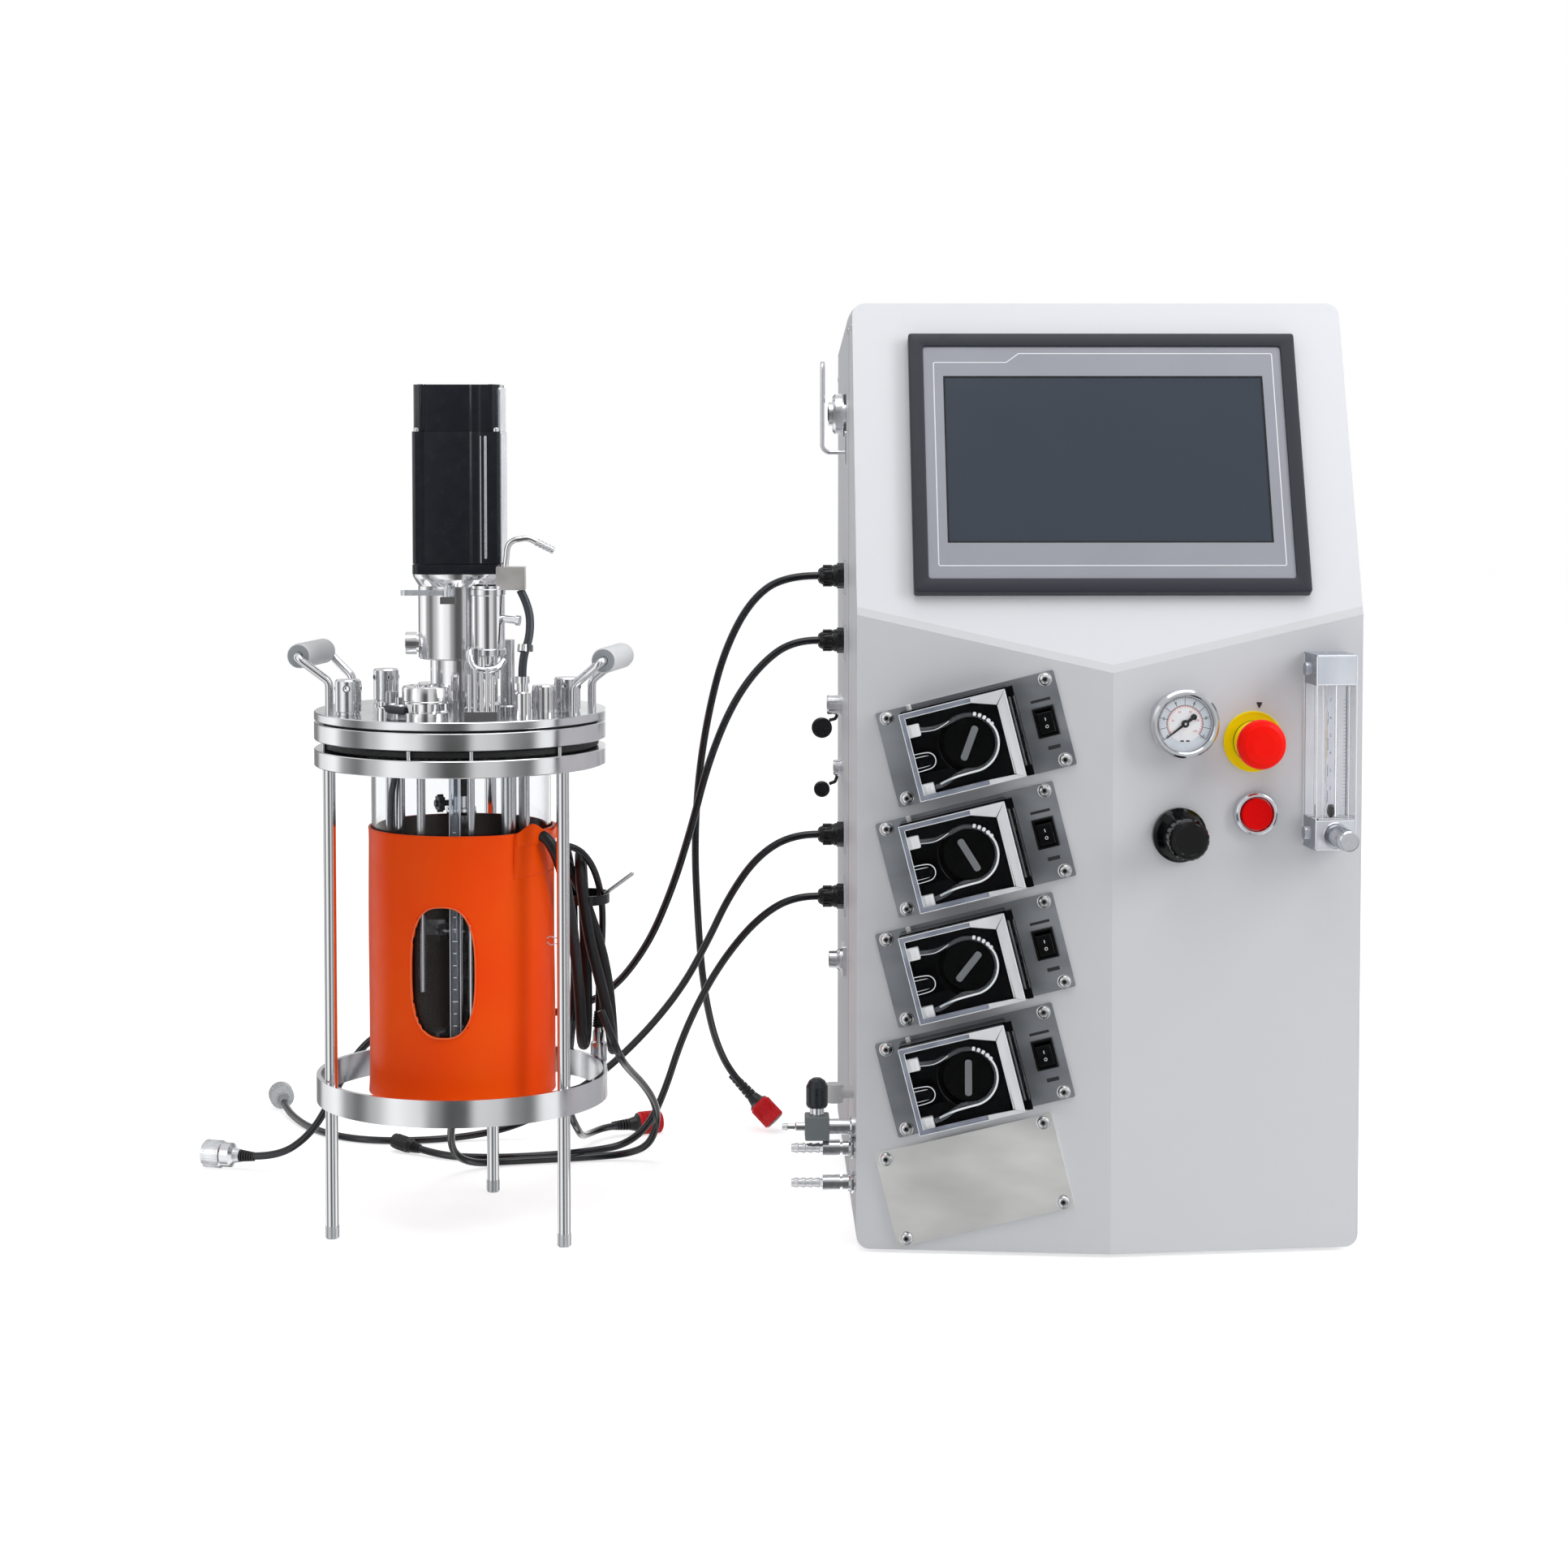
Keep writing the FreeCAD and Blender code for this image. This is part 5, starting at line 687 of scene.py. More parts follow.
for i, plate in zip(PUMPS, plates):
    strips, glints, chamfer = Shape(), Shape(), Shape()
    for box in strip_boxes:
        strips.prism(oblong(*box), COVER_FRONT - 0.1, COVER_FRONT + 0.5, 0.1)
    for box in glint_boxes:
        glints.prism(oblong(*box), COVER_FRONT - 0.38, COVER_FRONT + 0.4, 0.12)
    for outline in chamfer_faces:
        corners = []
        for x, z in outline:
            outer = abs(x - COVER_RIGHT) < 0.1 or abs(abs(z) - TOP) < 0.1
            corners.append((x, COVER_FRONT - (0.1 if outer else CHAMFER_PROUD), z))
        chamfer.slab(corners, (0, CHAMFER_THICK, 0))
    body = "pump_cover_%d_body" % i
    strips.show("cover_edge_painted_light_%d" % i, edge_painted_light, plate, body)
    glints.show("cover_glints_%d" % i, painted_highlight, plate, body)
    chamfer.show("cover_chamfer_%d" % i, chamfer_painted_reflection, plate, body, sharp=20)

# ---- Pump rotors
# Black moulded rotors that carry four rollers, pushed on the motors' shafts; a pale grey
# finger bar stands on the front disc.
BAR_FOOT = -21.2
ROLLERS_BETWEEN = (8.4, 17.6)
ROLLERS_DEEP = (-14, -8.6)
rotor_black = Finish("rotor_black", "040506", (300, 0.08, 0.17), shine=0.2)
roller_black = Finish("roller_black", "2A2C31", (600, 0.16, 0.3))
bar_grey = Finish("bar_grey", "717478", (600, 0.3, 0.42), shine=0.3)
for i, plate in zip(PUMPS, plates):
    name = "pump_rotor_%d" % i
    dress(rotor_black, name)
    dress_where(name, bar_grey, lambda middle, normal: middle.y < BAR_FOOT, plate)
    dress_where(name, roller_black, lambda middle, normal: (
        ROLLERS_BETWEEN[0] < math.hypot(middle.x - RACE_X, middle.z) < ROLLERS_BETWEEN[1]
        and ROLLERS_DEEP[0] < middle.y < ROLLERS_DEEP[1]), plate)

# ---- Rocker switches
# Black rockers in snap-in frames, all switched off, with a raised pad in the middle and
# the usual bar and ring for on and off.
ROCKER_X = 49.6
ROCKER_PIVOT = -1.5
ROCKER_TILT = 7


def washer(bore, radius, low, high):
    """The profile of a turned ring."""
    return [(bore, low), (radius, low), (radius, high), (bore, high), (bore, low)]


switch_black = Finish("switch_black", "0B0C0E", (400, 0.16, 0.28), shine=0.2)
dress(switch_black, *["rocker_%d" % i for i in PUMPS])
for i, plate in zip(PUMPS, plates):
    body = "rocker_%d_body" % i
    tilt = (plate @ shift(ROCKER_X, ROCKER_PIVOT, 0) @ turned_about("X", ROCKER_TILT)
            @ shift(0, -ROCKER_PIVOT, 0))
    Shape().strip(centred(6.8, 10.4, 1.2), centred(5.8, 9.4, 0.9), -5.0, -6.25).show(
        "rocker_pad_%d" % i, switch_black, tilt, body)
    marks = Shape().prism(oblong(-0.3, 0.3, 1.6, 3.8), -6.25, -5.4)
    marks.spun(washer(0.75, 1.15, 0, 0.9), shift(0, -5.35, -2.6) @ OUTWARD, 20)
    marks.show("rocker_marks_%d" % i, white_print, tilt, body)

# ---- Pressure gauge
# A round gauge with a chromed case, pale dial, black figures outside and red ones
# inside, a black needle and a flat clear lens.
FACET_TURN = 5.87
facet_rise = math.tan(math.radians(FACET_TURN))
ridge_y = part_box("lower_fascia")[0].y * 1000


def on_right(off, height):
    """A place on the right facet: X along it, -Y outward."""
    return (shift(cabinet_mid + off, ridge_y + off * facet_rise, height)
            @ turned_about("Z", FACET_TURN))


GAUGE = on_right(47.4, 371.6)
DIAL_RADIUS = 19.5
DIAL_DEPTH = 10
DIAL_FACE = -DIAL_DEPTH - 0.32
SWEEP_START = -127
SWEEP = 254
PRINT_ROUGH = (500, 0.4, 0.6)
dress(Finish("chrome", "BCBEC2", (250, 0.12, 0.2), 1.0), "gauge_case")
dial_print = Finish("dial_print", "1B1C20", PRINT_ROUGH)
red_print = Finish("red_print", "C8332B", PRINT_ROUGH)
dial_card = Finish("dial_card", "CDD4DC", PRINT_ROUGH, tint=(90, "C6CDD6", "D6DCE3"))
inner_card = Finish("inner_card", "E6E6EA", PRINT_ROUGH, tint=(90, "E0E0E5", "ECECEF"))


def skin(rows, closed=False):
    """Faces over a grid of points; a closed one joins its ends both ways."""
    made = bmesh.new()
    rows = [[made.verts.new(point) for point in row] for row in rows]
    if closed:
        rows = [row + row[:1] for row in rows]
        rows += rows[:1]
    for one, two in zip(rows, rows[1:]):
        for i in range(len(one) - 1):
            made.faces.new((one[i], one[i + 1], two[i + 1], two[i]))
    return made


def card_on_dial(name, finish, radius, low, high):
    """A card round the needle's shaft; its bore has no wall."""
    turned(name, finish, washer(1.2, radius, low, high)[:-1], GAUGE @ OUTWARD, 64)


def scale_on_dial(name, finish, strokes, arcs):
    """Strokes (count, from, to, width) and printed arcs (radius, width) on the sweep."""
    shape = Shape()
    for count, first, last, wide in strokes:
        for k in range(count + 1):
            shape.prism(oblong(-wide / 2, wide / 2, first, last), DIAL_FACE - 0.1,
                        DIAL_FACE + 0.1,
                        place=turned_about("Y", SWEEP_START + SWEEP * k / count))
    for radius, wide in arcs:
        rows = []
        for k in range(41):
            ends = [polar(r, 90 - SWEEP_START - SWEEP * k / 40) for r in (radius, radius + wide)]
            rows.append([(x, DIAL_FACE - 0.05, z) for x, z in ends])
        shape.join(skin(rows))
    shape.show(name, finish, GAUGE)


card_on_dial("gauge_dial", dial_card, DIAL_RADIUS - 0.05, DIAL_DEPTH, DIAL_DEPTH + 0.3)
scale_on_dial("gauge_scale", dial_print, ((50, 17.3, 18.3, 0.2), (10, 13.0, 18.3, 0.32)),
              ((18.2, 0.3), (12.5, 0.35)))
card_on_dial("gauge_inner_card", inner_card, 12.5, DIAL_DEPTH + 0.2, DIAL_DEPTH + 0.34)
scale_on_dial("gauge_inner_scale", red_print, ((28, 10.8, 12.0, 0.25),), ((11.9, 0.35),))


def lettering(name, text, size, place, finish):
    """Flat printed figures, centred on a place whose outward way is -Y."""
    curve = bpy.data.curves.new(name, "FONT")
    curve.body = text
    curve.size = size * 0.001
    curve.align_x = curve.align_y = "CENTER"
    curve.extrude = 0.00004
    curve.resolution_u = 3
    curve.materials.append(finish.made)
    made = bpy.data.objects.new(name, curve)
    made.matrix_world = Matrix.LocRotScale(place.translation * 0.001,
                                           (place @ OUTWARD).to_quaternion(), (1, 1, 1))
    bpy.context.collection.objects.link(made)
    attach(made, "base")


for k in range(0, 11, 2):
    for name, text, size, reach, rise, finish in (
            ("gauge_figure_%d", k, 3.2, 15.2, 0, dial_print),
            ("gauge_inner_figure_%d", k * 15, 2.0, 8.8, 0.05, red_print)):
        x, z = polar(reach, 90 - SWEEP_START - SWEEP * k / 10)
        lettering(name % k, str(text), size, GAUGE @ shift(x, DIAL_FACE - rise, z), finish)
marks = Shape()
for left, right in ((-3.2, -0.6), (0.8, 3.4)):
    marks.prism(oblong(left, right, -12.4, -11.4), DIAL_FACE - 0.1, DIAL_FACE)
marks.show("gauge_small_marks", dial_print, GAUGE)
needle_black = Finish("needle_black", "111214", (700, 0.32, 0.5))
dress(needle_black, "gauge_needle")
turned("gauge_needle_tail", needle_black,
       [(0, 11.0), (2.1, 11.0), (2.1, 11.7), (1.8, 11.9), (0, 11.9)],
       GAUGE @ turned_about("Y", SWEEP_START) @ shift(0, 0, -7.6) @ OUTWARD, 24,
       "gauge_needle_body")
turned("gauge_lens", Finish("lens", "FFFFFF", (60, 0.0, 0.02), clear=1.0, ior=1.12),
       [(0, 13.6), (DIAL_RADIUS - 0.1, 13.6), (DIAL_RADIUS - 0.1, 14.0), (0, 14.1)],
       GAUGE @ OUTWARD, 64)

# ---- Emergency stop and push button
# A red mushroom on a yellow collar and disc, and a flat red button in a bright metal
# ring.  Both are screwed through the prow from behind.
STOP = on_right(97.8, 357.8)
BUTTON = on_right(99.5, 307.9)
dress(Finish("stop_red", "FF1204", (120, 0.3, 0.44), shine=0.12,
             bumps=(900, 0.03, 0.25, 2)), "stop_button")
dress(Finish("button_red", "EE0206", (120, 0.36, 0.48), shine=0.08,
             bumps=(1200, 0.03, 0.25, 2)), "push_button")
dress(switch_black, "panel_bezels")
stop_yellow = Finish("stop_yellow", "FFE600", (120, 0.36, 0.5), shine=0.15,
                     bumps=(900, 0.03, 0.25, 2))
bezel_silver = Finish("bezel_silver", "BFC2C7", (500, 0.16, 0.3), 1.0)


def within(radius):
    """A test for faces within a radius of a control's axis."""
    return lambda middle, normal: math.hypot(middle.x, middle.z) < radius


dress_where("panel_bezels", stop_yellow, within(22), STOP)
dress_where("panel_bezels", bezel_silver, within(15), BUTTON)
# A line round the collar, the disc's thin raised lip, the button's gap as a dark ring of painted
# shade, and the ring of the button
for name, finish, profile, place, steps in (
        ("stop_collar_line", dark_print, washer(14.4, 14.75, 2.4, 3.2), STOP, 48),
        ("stop_disc_lip", stop_yellow, [(19.7, 1.4), (20.9, 1.4), (20.7, 2.0), (19.9, 2.0),
                                        (19.7, 1.4)], STOP, 64),
        ("button_gap", recess_shade, washer(10.9, 11.25, 3.2, 4.3), BUTTON, 48),
        ("button_ring", bezel_silver, [(11.4, 4.1), (11.6, 5.3), (12.3, 6.0), (13.5, 6.0),
                                       (14.6, 5.2), (15.1, 3.6), (15.1, 0.2), (13.4, 0.2),
                                       (11.4, 4.1)], BUTTON, 64)):
    turned(name, finish, profile, place @ OUTWARD, steps)
Shape().prism([(-2.0, 3.2), (-1.7, 2.2), (-0.3, -0.8), (0.3, -0.8), (1.9, 2.2), (2.0, 3.2)],
              -0.25, 0.2).show("reset_mark", dark_print, on_right(102.0, 381.6))

# ---- Air regulator
# A glossy black base with a nut, and a fluted black knob whose front face is dished.
# The knob is pressed on the regulator's stem, which comes through the prow.
REGULATOR = on_right(46.2, 294)
gloss_black = Finish("gloss_black", "050607", (300, 0.06, 0.14), shine=0.2)
dress_where("panel_bezels", gloss_black, within(20), REGULATOR)
dress(gloss_black, "regulator_knob")
turned("regulator_knob_face", gloss_black,
       [(0, 30.7), (9.6, 30.7), (10.4, 31.3), (11.6, 31.3), (12.3, 30.8), (12.3, 30.6),
        (0, 30.6)], REGULATOR @ OUTWARD, 48, "regulator_knob_body")

# ---- Gas flow meter
# A clear acrylic block with a tapered bore between two end blocks painted grey behind,
# graduated beside the bore; a bright knurled knob opens the needle valve.
METER = on_right(147.4, 285.4)
METER_HALF = 13.5
METER_DEEP = 30
METER_END = 21
METER_TUBE = 92
METER_TOP = 2 * METER_END + METER_TUBE
FRONT = -METER_DEEP - 1
bore_low, bore_high = METER_END, METER_END + METER_TUBE
dress(Finish("meter_clear", "FBFCFF", (60, 0.0, 0.06), clear=1.0, ior=1.33), "flow_meter")


def disc(radius, low, high):
    """The profile of a turned disc."""
    return [(0, low), (radius, low), (radius, high), (0, high)]


def on_end_block(middle, normal):
    return middle.z < bore_low - 0.1 or middle.z > bore_high + 0.1


dress_where("flow_meter", Finish("meter_grey", "858A94", (200, 0.24, 0.38), shine=0.2),
            on_end_block, METER)
# The end blocks' front faces are pale and streaked: a painted reflection on the acrylic over the
# grey paint.
dress_where("flow_meter", Finish("meter_front_painted_reflection", "DDE1E8", (200, 0.1, 0.22), 0.3,
                                 tint=(25, "BCC3CF", "EEF1F6", (1, 1, 2))),
            lambda middle, normal: on_end_block(middle, normal) and normal.y < -0.001, METER)
pale_ledge = Finish("pale_ledge", "EFF1F5", (300, 0.3, 0.42))
Shape().prism(oblong(-METER_HALF + 0.8, METER_HALF - 0.8, bore_low + 0.6, bore_high - 0.6),
              -2.4, -1.2).show("meter_back_card", pale_ledge, METER)
ledges = Shape()
for z in (bore_low, bore_high):
    for back, front in ((-METER_DEEP + 0.3, -17.5), (-12.5, -0.3)):
        ledges.prism(oblong(-METER_HALF + 0.3, METER_HALF - 0.3, z - 0.25, z + 0.35), back, front)
ledges.show("meter_ledges", pale_ledge, METER)
# The sawn and polished edges are drawn as bright lines the whole height of the block: painted
# highlights.
edges = Shape()
for x, y in ((-METER_HALF - 0.4, FRONT + 0.1), (METER_HALF + 0.4, FRONT + 0.1),
             (-METER_HALF - 0.4, -0.9)):
    edges.spun(disc(0.5, 1.2, METER_TOP - 1.2), shift(x, y), 8)
for x in (-9.4, 9.0):
    edges.spun(disc(0.35, bore_low + 0.5, bore_high - 0.5), shift(x, -METER_DEEP + 0.2), 8)
for z in (1.0, bore_low - 0.6, bore_high + 0.6, METER_TOP - 1.0):
    edges.prism(oblong(-METER_HALF - 0.2, METER_HALF + 0.2, z - 0.35, z + 0.35),
                FRONT - 0.15, FRONT + 0.4)
edges.show("meter_edges", painted_highlight, METER)
blue_print = Finish("blue_print", "6F7C95", PRINT_ROUGH)
marks = Shape()
printed = [(5.0, 5.0 + (3.4 if k % 5 == 0 else 1.8), bore_low + 9.88 + k * 2.4,
            bore_low + 10.12 + k * 2.4) for k in range(31)]
printed += [(-6.0, -5.6, bore_low + 12 + 18 * k, bore_low + 20 + 18 * k) for k in range(4)]
for box in printed:
    marks.prism(oblong(*box), -METER_DEEP - 0.06, -METER_DEEP + 0.05)
marks.show("meter_scale", blue_print, METER)
for k in range(1, 8):
    lettering("meter_figure_%d" % k, str(k), 3.0,
              METER @ shift(-4.0, -METER_DEEP - 0.04, bore_low + 12 * k - 2), blue_print)
screws = Shape()
for z in (bore_low - 0.5, bore_high + 1.5):
    screws.spun([(0, 0), (1.5, 0), (1.5, 1.0), (1.1, 1.4), (0, 1.4)],
                shift(-METER_HALF + 1.5, FRONT + 2.2, z) @ turned_about("Y", -90), 16)
screws.show("meter_screws", dark_print, METER)
float_black = Finish("float_black", "0E0F11", (600, 0.24, 0.4))
dress(float_black, "meter_float")
turned("meter_float_ball", float_black,
       [(0, 0.4), (2.0, 0.9), (3.3, 2.6), (3.6, 4.4), (3.3, 6.2), (2.0, 7.8), (0, 8.4)],
       METER @ shift(0, -METER_DEEP / 2, METER_END + 0.1), 28, "meter_float_body")
dress(bezel_silver, "meter_knob")
KNOB = METER @ shift(0, FRONT, METER_END / 2)
Shape().ribs(36, oblong(-0.3, 0.3, 6.9, 7.35), -24.5, -6.0, 0.1, "XZ").show(
    "meter_knob_ribs", bezel_silver, KNOB, "meter_knob_body")
# A dark ring in the knob's front groove is painted shade.
turned("meter_knob_groove_shade", dark_print,
       [(4.9, 31.9), (5.1, 31.2), (5.7, 31.2), (5.8, 31.9), (4.9, 31.9)], KNOB @ OUTWARD,
       body="meter_knob_body")
turned("meter_knob_plate", bezel_silver,
       [(2.6, 0), (9.2, 0), (9.2, 0.7), (8.6, 1.3), (2.6, 1.3)], KNOB @ OUTWARD)

# ---- Fittings on the cabinet's left wall
# Polished steel hook, air inlet, sockets and barbs; a grey drain valve with a blue-black
# knob; rubber dust caps; black nylon glands where the cables come out.
VALVE_BACK = 17
VALVE_HEIGHT = 85
VALVE_HALF = 8.8
VALVE_OUT = 18.3
TAB_BACK = 42
TAB_TOP = 120
GLAND_BACK = 225
GLAND_HEIGHTS = (460.7, 411.4, 262.7, 215.1)
valve_y = cabinet_front + VALVE_BACK


def hexagon(reach):
    return [polar(reach, degrees) for degrees in range(0, 360, 60)]


def on_wall(back, height):
    """A place on the left wall: Z outward, X up the wall."""
    return shift(cabinet_left, cabinet_front + back, height) @ turned_about("Y", -90)


bright_steel = Finish("bright_steel", "D4D5D8", (180, 0.1, 0.24), 1.0)
dress(bright_steel, "side_fittings")
valve_grey = Finish("valve_grey", "70777A", (300, 0.42, 0.58), 0.2, (1400, 0.05, 0.4))
dress_where("side_fittings", valve_grey, lambda middle, normal: (
    abs(middle.y - valve_y) < VALVE_HALF and abs(middle.z - VALVE_HEIGHT) < VALVE_HALF
    and -VALVE_HALF < middle.x < cabinet_left - VALVE_OUT))
dress_where("side_fittings", Finish("tab_plastic", "D4D6D6", (300, 0.4, 0.52)),
            lambda middle, normal: middle.y > cabinet_front + TAB_BACK and middle.z < TAB_TOP)
dress(Finish("knob_blue", "1B2028", (500, 0.24, 0.4), shine=0.4), "valve_knob")
gland_black = Finish("gland_black", "0F1114", (300, 0.22, 0.34), shine=0.4,
                     bumps=(1200, 0.05, 0.35))
dress(gland_black, "cable_glands", "dust_caps")
pale_plate = Finish("pale_plate", "DADDE2", (200, 0.4, 0.55), bumps=(800, 0.04, 0.3))
backs, grips, barbs = Shape(), Shape(), Shape()
for height in GLAND_HEIGHTS:
    at = on_wall(GLAND_BACK, height)
    backs.prism(centred(28, 28, 1.5), -0.2, 1.4, 0.3, "XY", at)
    grips.ribs(16, oblong(-0.8, 0.8, 7.2, 8.3), 10.5, 17.2, 0.3, place=at)
    grips.prism(hexagon(9.8), 1.4, 6.6, 0.4, "XY", at)
backs.show("gland_plates", pale_plate)
grips.show("gland_nuts", gland_black)
for height in (70, 45.4):
    barbs.prism(hexagon(7.9), 0.1, 3.4, 0.35, "XY", on_wall(VALVE_BACK, height))
barbs.show("barb_nuts", bright_steel)
AIR_INLET = on_wall(225, 583.6)
Shape().prism(oblong(-17, 15, -9, 9, 1), -0.1, 1.6, 0.3, "XY", AIR_INLET).show(
    "air_inlet_plate", valve_grey)
# The inlet's mouth is a dark disc of painted shade.
turned("air_inlet_mouth", recess_shade, [(0, 12.6), (5.4, 12.6), (5.4, 13.4), (4.2, 13.6),
                                      (0, 13.6)], AIR_INLET, 24)
Shape().prism(oblong(-11, 15, -5, 5, 2), -0.1, 1.4, 0.4, "XY").show(
    "hook_foot", bright_steel, on_wall(207, 556))
# The socket's mouth is a dark disc of painted shade.
turned("flange_socket_mouth", recess_shade, disc(4.4, 12.6, 13.15), on_wall(207, 169.5), 20)
turned("lower_cap_face", bright_steel, [(0, 5.6), (6.0, 5.6), (6.0, 6.5), (5.2, 6.9), (0, 6.9)],
       shift(cabinet_left - 16, cabinet_front + 293, 289) @ turned_about("X", -90), 28)

# ---- Glass jar
# A borosilicate jar with a rounded bottom and a flange at the rim.  It hangs by the
# flange between two steel rings.
AXIS_X, AXIS_Y = (v * 1000 for v in joints["stirrer_spin"]["pos_m"][:2])
AT_VESSEL = shift(AXIS_X, AXIS_Y)
dress(Finish("jar_glass", "FDFEFF", (40, 0.0, 0.015), clear=1.0, ior=1.2), "glass_jar")

# ---- Lid, seal and rings
# Lathe-turned stainless plates: the head plate on its black seal and clamp ring, and the
# stand ring below.  Fine tool marks run round them.
turned_steel = Finish("turned_steel", "D2D3D5", (30, 0.1, 0.2), 1.0, streak=0.3)
over_all = add_node(turned_steel.tree, "TexCoord").outputs["Object"]
round_axis = add_node(turned_steel.tree, "Mapping", {
    "Vector": over_all, "Location": (-AXIS_X * 0.001, -AXIS_Y * 0.001, 0)})
rings = add_node(turned_steel.tree, "TexWave", {
    "Vector": round_axis.outputs["Vector"], "Scale": 320, "Distortion": 0.6, "Detail": 1.0},
    wave_type="RINGS", rings_direction="Z")
turned_steel.relief(rings.outputs["Fac"], 0.005, 0.35)
dress(turned_steel, "head_plate", "clamp_ring", "stand_ring", "stand_frame")
seal_black = Finish("seal_black", "101113", (300, 0.5, 0.7))
dress(seal_black, "lid_seal")
# Spacer studs and the outer gasket lip show in the gap under the clamp ring.
turned("ring_gasket", seal_black,
       [(89, 347.4), (97.5, 347.4), (98.2, 348.2), (98.2, 351.6), (97.5, 352.4), (89, 352.4),
        (89, 347.4)], AT_VESSEL, 96)
studs = Shape()
for degrees in (254, 279, 318, 20, 65, 110, 155, 200):
    studs.spun(disc(1.5, 346.6, 352.9), shift(*polar(99.6, degrees)), 16)
studs.show("ring_studs", steel, AT_VESSEL)

# ---- Heating blanket
# An orange silicone sheet wrapped tight round the jar, with an oval window, an overlap
# seam to the right of it and a loose flap at the top where the lead enters.
BLANKET_LOW = 100
BLANKET_HIGH = 290
BLANKET_RADIUS = 66.0
BLANKET_THICK = 1.8
WINDOW_OFF = -8.0
WINDOW_MID = 194.2
WINDOW_HALF = (22.5, 45.8)
WINDOW_SQUARE = 2.7
GRID = 2.4
ROWS = int((BLANKET_HIGH - BLANKET_LOW) / GRID)
AROUND = 168


def window_reach(x, z):
    """Distance outside the window's outline, a long hole between oval and oblong."""
    x, z = x - WINDOW_OFF, z - WINDOW_MID
    wide, high = WINDOW_HALF
    size = (abs(x / wide) ** WINDOW_SQUARE + abs(z / high) ** WINDOW_SQUARE) ** (
        1 / WINDOW_SQUARE)
    return math.hypot(x, z) * (1 - 1 / max(size, 0.05))


def blanket_swell(degrees, z):
    """How far the sheet stands off its tight circle, in millimetres."""
    swell = 0.35 * math.sin(math.radians(degrees * 2 + z * 0.6))
    swell += 0.25 * math.sin(math.radians(degrees * 5 - z * 2.1))
    swell += 0.5 * math.exp(-min(z - BLANKET_LOW, BLANKET_HIGH - z) / 5)
    if z > 262:
        swell += 1.6 * math.exp(-((degrees + 62) / 9) ** 2) * (z - 262) / 28
    return swell


def onto_window(x, y, z):
    """A grid corner close to the window's outline, moved onto it."""
    for _ in range(6 if y <= 0 else 0):
        reach = window_reach(x, z)
        if abs(reach) > GRID * 0.62:
            break
        slope_x = window_reach(x + 0.01, z) - reach
        slope_z = window_reach(x, z + 0.01) - reach
        size = math.hypot(slope_x, slope_z) or 1
        x -= reach * slope_x / size
        z -= reach * slope_z / size
        y = -math.sqrt(BLANKET_RADIUS ** 2 - x ** 2)
    return x, y, z


sheet = Shape()
corners = []
for j in range(ROWS + 1):
    corners.append([])
    for i in range(AROUND):
        degrees = 360 * i / AROUND - 270
        x, y, z = onto_window(*polar(BLANKET_RADIUS, degrees),
                              BLANKET_LOW + (BLANKET_HIGH - BLANKET_LOW) * j / ROWS)
        grown = (BLANKET_RADIUS - BLANKET_THICK + blanket_swell(degrees, z)) / BLANKET_RADIUS
        corners[j].append(sheet.mesh.verts.new((x * grown, y * grown, z)))
for j in range(ROWS):
    for i in range(AROUND):
        k = (i + 1) % AROUND
        square = [corners[j][i], corners[j][k], corners[j + 1][k], corners[j + 1][i]]
        middle = sum((v.co for v in square), Vector()) / 4
        if middle.y >= 0 or window_reach(middle.x, middle.z) >= 0:
            sheet.mesh.faces.new(square)
bmesh.ops.delete(sheet.mesh, geom=[v for v in sheet.mesh.verts if not v.link_faces],
                 context="VERTS")
blanket_orange = Finish("blanket_orange", "FF5000", (70, 0.3, 0.42), shine=0.12,
                        bumps=(1600, 0.05, 0.35, 2), tint=(14, "FF4900", "FF5804"))
blanket_orange.emboss(22, 0.5, 0.25, stretch=(1, 1, 4))
# The sheet's inner face is dark brown: painted shade of the orange silicone inside the blanket.
lining_painted_shade = Finish("lining_painted_shade", "4A2822", 0.8, shine=0.2, bumps=(900, 0.06, 0.4),
                tint=(40, "30211F", "4B2A24"))


def thicken(shown, thick):
    """Give a sheet its thickness, outward."""
    solid = shown.modifiers.new("thick", "SOLIDIFY")
    solid.thickness = thick * 0.001
    solid.offset = 1
    return solid


blanket = sheet.show("blanket", blanket_orange, AT_VESSEL, sharp=50)
blanket.data.materials.append(lining_painted_shade.made)
thick = thicken(blanket, BLANKET_THICK)
thick.material_offset = 1
thick.use_even_offset = True
soft = blanket.modifiers.new("soft", "BEVEL")
soft.width = 0.0006
soft.segments = 2
soft.limit_method = "ANGLE"
soft.angle_limit = math.radians(50)
# The overlap: a tab of a second layer at the top, right of the seam.
SEAM = -52.0
TAB_LOW = 258


def overlap_point(i, j):
    z = TAB_LOW + (BLANKET_HIGH - 0.3 - TAB_LOW) * j / 14
    degrees = SEAM + 78 * i / 14
    rise = min(1, (z - TAB_LOW) / 10) * (1.0 if i < 13 else 0.3)
    return (*polar(BLANKET_RADIUS - 0.9 + rise + blanket_swell(degrees, z), degrees), z)


def flap_point(i, j):
    s, t = i / 20, j / 8
    lift = 3.2 * math.sin(math.pi * s) * t ** 1.4 + 1.5
    peak = (7.5 * math.exp(-((s - 0.22) / 0.16) ** 2)
            + 4.5 * math.exp(-((s - 0.85) / 0.14) ** 2))
    return (*polar(BLANKET_RADIUS + lift, SEAM + 1 + 50 * s), BLANKET_HIGH - 9 + t * (8 + peak))


